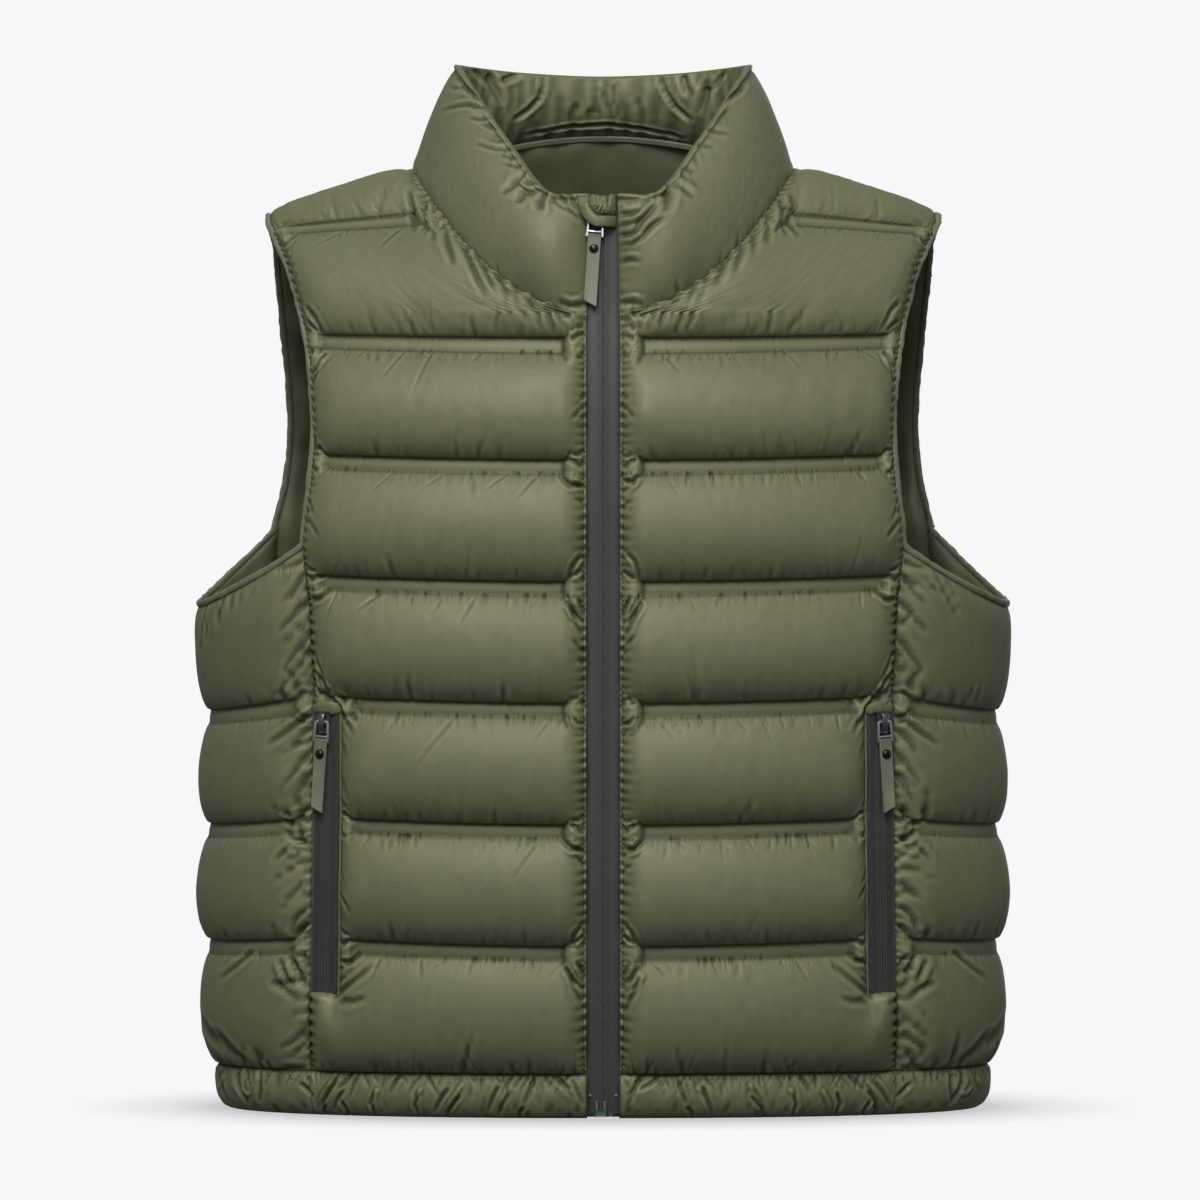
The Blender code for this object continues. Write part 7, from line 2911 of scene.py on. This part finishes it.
class VEST_OT_garage(bpy.types.Operator):
    """Fold the cloth guard over the top of the front zip, and gather its middle"""

    bl_idname = "vest.garage"
    bl_label = "Zip garage"

    def execute(self, context):
        rng = np.random.default_rng(83)
        inner = garage_grid(np.linspace(1, 0, 41), np.linspace(0, 1, 45))
        out = np.array([0.0, -1.0, 0.0])
        rim = np.concatenate([inner[:, 0], inner[0]])
        to_rim = distance_to(inner, rim)
        held = np.clip((to_rim - GARAGE_BAND) / 0.0008, 0, 1)
        puff = 0.0028 * ease(np.clip(to_rim - GARAGE_BAND, 0, None), 0.0040) * held
        seam = bell(to_rim - GARAGE_BAND, 0.00055)
        x, z = inner[..., 0], inner[..., 2]
        folds = []
        for k in range(9):
            angle = math.pi * (0.52 + 0.46 * (k + rng.uniform(0.1, 0.9)) / 9)
            reach = uneven(rng, 0.0050, 0.3)
            a0 = GARAGE_RIGHT + (GARAGE_LEFT - GARAGE_RIGHT + GARAGE_BAND) * -math.cos(angle)
            u0 = GARAGE_TOP + (GARAGE_BOTTOM - GARAGE_TOP + GARAGE_BAND) * math.sin(angle)
            folds.append((a0, u0, a0 + reach * 0.5, u0 + reach, 0.0008, uneven(rng, 0.0010, 0.3)))
        for k in range(6):
            a0 = rng.uniform(GARAGE_LEFT + GARAGE_BAND, GARAGE_RIGHT - 0.001)
            folds.append((a0, GARAGE_TOP, a0 + rng.normal(0, 0.001), GARAGE_TOP - 0.009, 0.0010, 0.0013))
        rolled = 0.0013 * np.sin(np.pi * np.clip(to_rim / GARAGE_BAND, 0, 1)) ** 0.6
        lift = GARAGE_CLOTH + puff + rolled - 0.0010 * seam
        lift = lift - crease_field(x, z, folds) * held
        lift += 0.00012 * smooth_noise(rng, x.shape, (2, 2)) * held
        outer = inner + out * np.maximum(lift, 0.0004)[..., None]
        sink = 0.0012 + 0.0010 * np.sin((x - GARAGE_LEFT) * 480 + 0.4)
        for grid in (inner, outer):
            grid[..., 2] -= sink * np.clip((z - GARAGE_TOP + 0.005) / 0.005, 0, 1)
        uv = np.stack([x, z], axis=-1)
        rows, columns = every(41, 4), every(45, 4)
        obj = quilt_mesh(
            "guard_zip_top", outer, inner[np.ix_(rows, columns)], rows, columns, uv, finish("shell")
        )
        dress(obj, "zip_garage")
        ring = garage_grid(np.linspace(0, 1, 120), [0.0])[:, 0]
        foot = garage_grid([1.0], np.linspace(0, 0.9, 60))[0]
        line = np.concatenate([ring, foot[1:]])
        line = resample(line, 160)
        way = np.gradient(line, axis=0)
        way /= np.linalg.norm(way, axis=1, keepdims=True)
        inward = np.cross(out, way)
        stitches = line + inward * GARAGE_BAND
        gaps = (stitches[:, None, None, 0] - x) ** 2 + (stitches[:, None, None, 2] - z) ** 2
        nearest = gaps.reshape(len(stitches), -1).argmin(1)
        stitches[:, 1] = outer[..., 1].ravel()[nearest] - 0.0001
        normals = np.broadcast_to(out, stitches.shape)
        line = (stitches[6:-8], normals[6:-8])
        sew("stitches_guard", [line], GARAGE_STITCH, finish("dark_thread"))
        return {"FINISHED"}


def edge_of(point, shares, levels, edge, inside):
    grid = point(*np.meshgrid(shares, levels))
    return grid[:, edge], grid[:, inside], normals_of(grid)[:, edge]


def armhole_edge():
    """The armhole's edge, mid-way through the wall, and at each point the way clear of the
    cloth: up the front, over the shoulder, down the back and under the arm."""
    levels = np.linspace(3.5, TOP_LEVEL, 260)
    found = []
    for point, shares, edge, inside, lowest, order in (
        (front_point, [0.96, 0.98, 1.0], 2, 1, ARMHOLE_MEETS_FRONT_SEAM, 1),
        (back_point, [1.0, 0.98, 0.96], 0, 1, ARMHOLE_MEETS_BACK_SEAM, -1),
    ):
        line, near, normal = edge_of(point, shares, levels, edge, inside)
        part = line[:, 2] > lowest + 0.003
        found.append(np.stack([line - normal * STITCHED / 2, line - near], 1)[part][::order])
    around = np.linspace(0, 1, 120)
    grid = side_point(*np.meshgrid(around, [3.90, 3.95, 4.0]))
    normal = normals_of(grid)[-1, ::-1]
    line = grid[-1, ::-1] - normal * STITCHED / 2
    found.append(np.stack([line, grid[-1, ::-1] - grid[-2, ::-1]], 1))
    line, clear = np.concatenate(found).transpose(1, 0, 2)
    for _ in range(12):
        clear /= np.linalg.norm(clear, axis=1, keepdims=True)
        clear += (np.roll(clear, 1, axis=0) + np.roll(clear, -1, axis=0)) / 2
    return line, clear / np.linalg.norm(clear, axis=1, keepdims=True)


def sweep(name, line, aside, section, made_of, closed, mirror=False, shape=None):
    """A tube along a line. Each section point is (distance aside, distance along the third way);
    shape(along, around) may swell it."""
    way = np.roll(line, -1, axis=0) - np.roll(line, 1, axis=0) if closed else np.gradient(line, axis=0)
    way /= np.linalg.norm(way, axis=1, keepdims=True)
    aside = aside - way * np.einsum("ij,ij->i", aside, way)[:, None]
    aside /= np.linalg.norm(aside, axis=1, keepdims=True)
    third = np.cross(way, aside)
    count, around = len(line), len(section)
    section = np.asarray(section)
    swell = np.ones((count, around)) if shape is None else shape(count, around)
    grid = line[:, None] + swell[..., None] * (
        aside[:, None] * section[None, :, :1] + third[:, None] * section[None, :, 1:]
    )
    index = np.arange(count * around).reshape(count, around)
    last = count if closed else count - 1
    faces = [
        (index[i, j], index[i, (j + 1) % around], index[(i + 1) % count, (j + 1) % around],
         index[(i + 1) % count, j])
        for i in range(last)
        for j in range(around)
    ]
    if not closed:
        faces += [tuple(index[0]), tuple(index[-1][::-1])]
    points = grid.reshape(-1, 3)
    if mirror:
        points = mirrored(points)
    along = arc_length(line)
    uv = np.stack(np.broadcast_arrays(along[:, None], np.arange(around)[None] * 0.0008), axis=-1)
    obj = new_object(name, place(points), faces, finish(made_of), uv.reshape(-1, 2))
    turn_outward(obj)
    return obj


def bind_armholes(angles):
    """Bind both armholes with a gathered fold of cloth."""
    line, clear = armhole_edge()
    loop = np.concatenate([line, line[:1]])
    along = arc_length(loop)
    at = np.linspace(0, along[-1], BINDING_STEPS + 1)[:-1]
    both = np.concatenate([loop, np.concatenate([clear, clear[:1]])], axis=1)
    both = np.stack([np.interp(at, along, both[:, k]) for k in range(6)], axis=1)
    line, clear = both[:, :3], both[:, 3:]
    for _ in range(4):
        line = (line + (np.roll(line, 1, 0) + np.roll(line, -1, 0)) / 2) / 2
    section = [
        tuple(
            half * math.copysign(abs(turn) ** 0.8, turn)
            for half, turn in zip(BINDING_SECTION, (math.cos(a), math.sin(a)))
        )
        for a in angles
    ]
    middle = line + clear * (BINDING_RADIUS + 0.0004)
    for side, seed, mirror in (("left", 91, False), ("right", 92, True)):
        rng = np.random.default_rng(seed)

        def gathered(count, around):
            waves = smooth_noise(rng, (count, around), (1.1, 1.6)) * 0.10
            waves += smooth_noise(rng, (count, around), (5, 4)) * 0.10
            return 1 + np.clip(waves, -0.35, 0.3)

        obj = sweep(
            f"binding_{side}", middle, clear, section, "binding", True, mirror, gathered
        )
        dress(obj, f"armhole_binding_{side}")


def roll_hoods(angles):
    """Roll the front's cloth over the top of each pocket zip."""
    along = np.linspace(0, 1, 31)
    shares = POCKET_SHARE - 0.010 + (0.999 - POCKET_SHARE + 0.010) * along
    arch = HOOD_LEVEL + HOOD_RISE * np.sin(math.pi * along) ** 0.7
    grid = front_point(np.stack([shares, shares]), np.stack([arch, arch - 0.02]))
    crown = HOOD_LIFT * np.sin(math.pi * along)[:, None] ** 0.5
    out = normals_of(front_point(*np.meshgrid(shares, [2.9, 2.95, 3.0])))[1]
    line = grid[0] + out * crown
    hood = [(HOOD_DEEP * math.cos(a), HOOD_THICK * math.sin(a)) for a in angles]
    for side, seed, mirror in (("left", 93, False), ("right", 94, True)):
        rng = np.random.default_rng(seed)

        def rolled(count, around):
            waves = smooth_noise(rng, (count, around), (1.6, 2.0)) * 0.12
            return (1 + waves) * (0.5 + 0.5 * np.sin(math.pi * along[:, None]) ** 0.4)

        obj = sweep(
            f"hood_pocket_{side}", line, grid[0] - grid[1], hood, "shell", False, mirror, rolled
        )
        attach(obj, VEST)


def pipe_neck(angles):
    """Pipe the inner back neck seam."""
    rows = np.array([0.0, 0.02, 0.04])
    base, out = collar_grid(rows, np.linspace(0, 1, 401))
    behind = base[0, :, 1] > NECK_TAPE_FROM
    seam, normal = base[0][behind], out[0][behind]
    line = seam - normal * (STITCHED + BINDING_RADIUS + NECK_TAPE_CLEAR)
    wide, deep = PIPING_SECTION
    lobes = []
    for a in angles:
        x = wide * math.cos(a) * (1 - 0.22 * math.cos(a) ** 2 + 0.1)
        lobes.append((x * (0.72 + 0.28 * abs(math.sin(2 * a)) ** 0.7), deep * math.sin(a)))
    obj = sweep("piping_neck", line, -normal, lobes, "binding", False)
    dress(obj, "neck_tape")


class VEST_OT_trim(bpy.types.Operator):
    """Bind both armholes, roll the pocket hoods and pipe the inner back neck seam"""

    bl_idname = "vest.trim"
    bl_label = "Bindings and piping"

    def execute(self, context):
        angles = np.linspace(0, math.tau, TUBE_SIDES + 1)[:-1]
        for piece in (bind_armholes, roll_hoods, pipe_neck):
            piece(angles)
        return {"FINISHED"}


# ---------------------------------------------------------------- stitching


class VEST_OT_sewing(bpy.types.Operator):
    """Stitch the quilt lines, the folded edges beside the zips, the hem and the collar"""

    bl_idname = "vest.sewing"
    bl_label = "Stitching"

    def execute(self, context):
        dark, pale, sunk = finish("dark_thread"), finish("thread"), finish("quilt_thread")
        for side, mirror in (("left", False), ("right", True)):
            front = PANELS[f"front_{side}"]
            for part in ("front", "side"):
                bands = PANELS[f"{part}_{side}"]["bands"]
                sew(f"quilting_{part}_{side}", bands, QUILT_STITCH, sunk, mirror)
            outer, normal, level = front["outer"], front["normal"], front["level"][:, 0]
            low = level < TOP_STITCH_TO
            beside = (level > POCKET_LEVELS[0]) & (level < POCKET_LEVELS[1])
            at = int(np.argmin(np.abs(front["share"][0] - POCKET_SHARE))) - TOP_STITCH_COLUMN
            edges = [
                (outer[rows, j], normal[rows, j])
                for rows, j in ((low, TOP_STITCH_COLUMN), (beside, at))
            ]
            sew(f"topstitch_front_{side}", edges, EDGE_STITCH, dark, mirror)
            casings = [PANELS[f"hem_{part}_{side}"] for part in ("front", "side")]
            hem = [(casing["outer"][-3], casing["normal"][-3]) for casing in casings]
            sew(f"hem_stitch_{side}", hem, HEM_STITCH, pale, mirror)
        sew("quilting_back", PANELS["back"]["bands"], BACK_QUILT_STITCH, sunk)
        collar, row = PANELS["collar"], 2 * TOP_STITCH_ROW
        line = (collar["outer"][row], collar["normal"][row])
        sew("topstitch_collar", [line], COLLAR_STITCH, sunk)
        return {"FINISHED"}


class VEST_OT_stage(bpy.types.Operator):
    """Set up the pale floor, the soft lights and the camera"""

    bl_idname = "vest.stage"
    bl_label = "Stage"

    def execute(self, context):
        scene = context.scene
        scene.view_settings.view_transform = "Standard"
        studio_air(scene)
        floor()
        for lamp in LAMPS:
            light(*lamp)
        sensor = bpy.data.cameras.new("camera")
        camera = bpy.data.objects.new("camera", sensor)
        scene.collection.objects.link(camera)
        camera.location = (CAMERA_X, -CAMERA_AWAY - SHOULDER_SEAM_Y, CAMERA_Z)
        camera.rotation_euler = (math.pi / 2, 0, 0)
        sensor.sensor_width = SENSOR
        sensor.lens = SENSOR * CAMERA_AWAY / CAMERA_SPAN
        sensor.clip_end = 100
        scene.camera = camera
        return {"FINISHED"}


def studio_air(scene):
    """Pale air to the eye, soft light from above and less from below."""
    world = bpy.data.worlds.new("studio")
    scene.world = world
    world.use_nodes = True
    tree = world.node_tree
    plain = tree.nodes["Background"]
    plain.inputs["Color"].default_value = (0.98, 0.985, 1.0, 1)
    coordinate = node(tree, "ShaderNodeTexCoord", -900, 0)
    parts = node(tree, "ShaderNodeSeparateXYZ", -700, 0)
    tree.links.new(coordinate.outputs["Generated"], parts.inputs["Vector"])
    strength = ranged(tree, parts.outputs["Z"], AIR_BELOW, AIR_ABOVE, -500, 0, -0.5, 0.6)
    tree.links.new(strength, plain.inputs["Strength"])
    seen = node(tree, "ShaderNodeBackground", -200, 200, Color=(1, 1, 1, 1), Strength=BACKDROP)
    path = node(tree, "ShaderNodeLightPath", -400, 400)
    mix = node(tree, "ShaderNodeMixShader", 0, 100)
    tree.links.new(path.outputs["Is Camera Ray"], mix.inputs["Fac"])
    tree.links.new(plain.outputs["Background"], mix.inputs[1])
    tree.links.new(seen.outputs["Background"], mix.inputs[2])
    tree.links.new(mix.outputs["Shader"], tree.nodes["World Output"].inputs["Surface"])


def floor():
    """A pale floor that glows as light as the air behind it, with a shadow painted into its glow only
    where the vest stands close.
    """
    deselect()
    lowest = CAD_BOX[0][2]
    bpy.ops.mesh.primitive_circle_add(
        vertices=64, radius=FLOOR_REACH, fill_type="NGON", location=(0, 0, lowest)
    )
    obj = bpy.context.object
    bpy.ops.object.transform_apply(location=True)
    obj.name = "floor"
    made, tree, _ = finish_of("pale_floor", (0.8, 0.8, 0.8, 1), 0.9)
    # Painted shadow: the floor's glow dims where the vest stands close
    painted_shadow_occlusion = node(tree, "ShaderNodeAmbientOcclusion", -500, 250, Distance=SHADOW_REACH)
    strength = ranged(tree, painted_shadow_occlusion.outputs["AO"], BACKDROP * SHADOW, BACKDROP, -300, 250, 0.45, 0.97)
    glow = node(tree, "ShaderNodeEmission", -100, 250, Color=(1, 1, 1, 1))
    tree.links.new(strength, glow.inputs["Strength"])
    tree.links.new(glow.outputs["Emission"], tree.nodes["Material Output"].inputs["Surface"])
    obj.data.materials.append(made)
    obj.visible_diffuse = False
    obj.visible_glossy = False


def light(name, at, power, size):
    lamp = bpy.data.lights.new(name, "AREA")
    lamp.energy = power
    lamp.size = size
    obj = bpy.data.objects.new(name, lamp)
    obj.location = at
    obj.rotation_euler = (Vector(at) - Vector((0, 0, CAMERA_Z))).to_track_quat("Z", "Y").to_euler()
    bpy.context.scene.collection.objects.link(obj)


class VEST_PT_panel(bpy.types.Panel):
    """The vest's pieces, in the order that they are sewn"""

    bl_idname = "VEST_PT_panel"
    bl_label = "Quilted vest"
    bl_space_type = "VIEW_3D"
    bl_region_type = "UI"
    bl_category = "Vest"

    def draw(self, context):
        for kind in OPERATORS:
            self.layout.operator(kind.bl_idname)


OPERATORS = (
    VEST_OT_fronts,
    VEST_OT_back,
    VEST_OT_sides,
    VEST_OT_collar,
    VEST_OT_hem,
    VEST_OT_zips,
    VEST_OT_pulls,
    VEST_OT_box,
    VEST_OT_garage,
    VEST_OT_trim,
    VEST_OT_sewing,
    VEST_OT_stage,
)
CLASSES = (VestQuilting, VestColours, *OPERATORS, VEST_PT_panel)


def register():
    for kind in CLASSES:
        bpy.utils.register_class(kind)
    bpy.types.Scene.vest_quilting = bpy.props.PointerProperty(type=VestQuilting)
    bpy.types.Scene.vest_colours = bpy.props.PointerProperty(type=VestColours)


def unregister():
    del bpy.types.Scene.vest_colours
    del bpy.types.Scene.vest_quilting
    for kind in reversed(CLASSES):
        bpy.utils.unregister_class(kind)


def main():
    register()
    for kind in OPERATORS:
        group, name = kind.bl_idname.split(".")
        getattr(getattr(bpy.ops, group), name)()


if __name__ == "__main__":
    main()
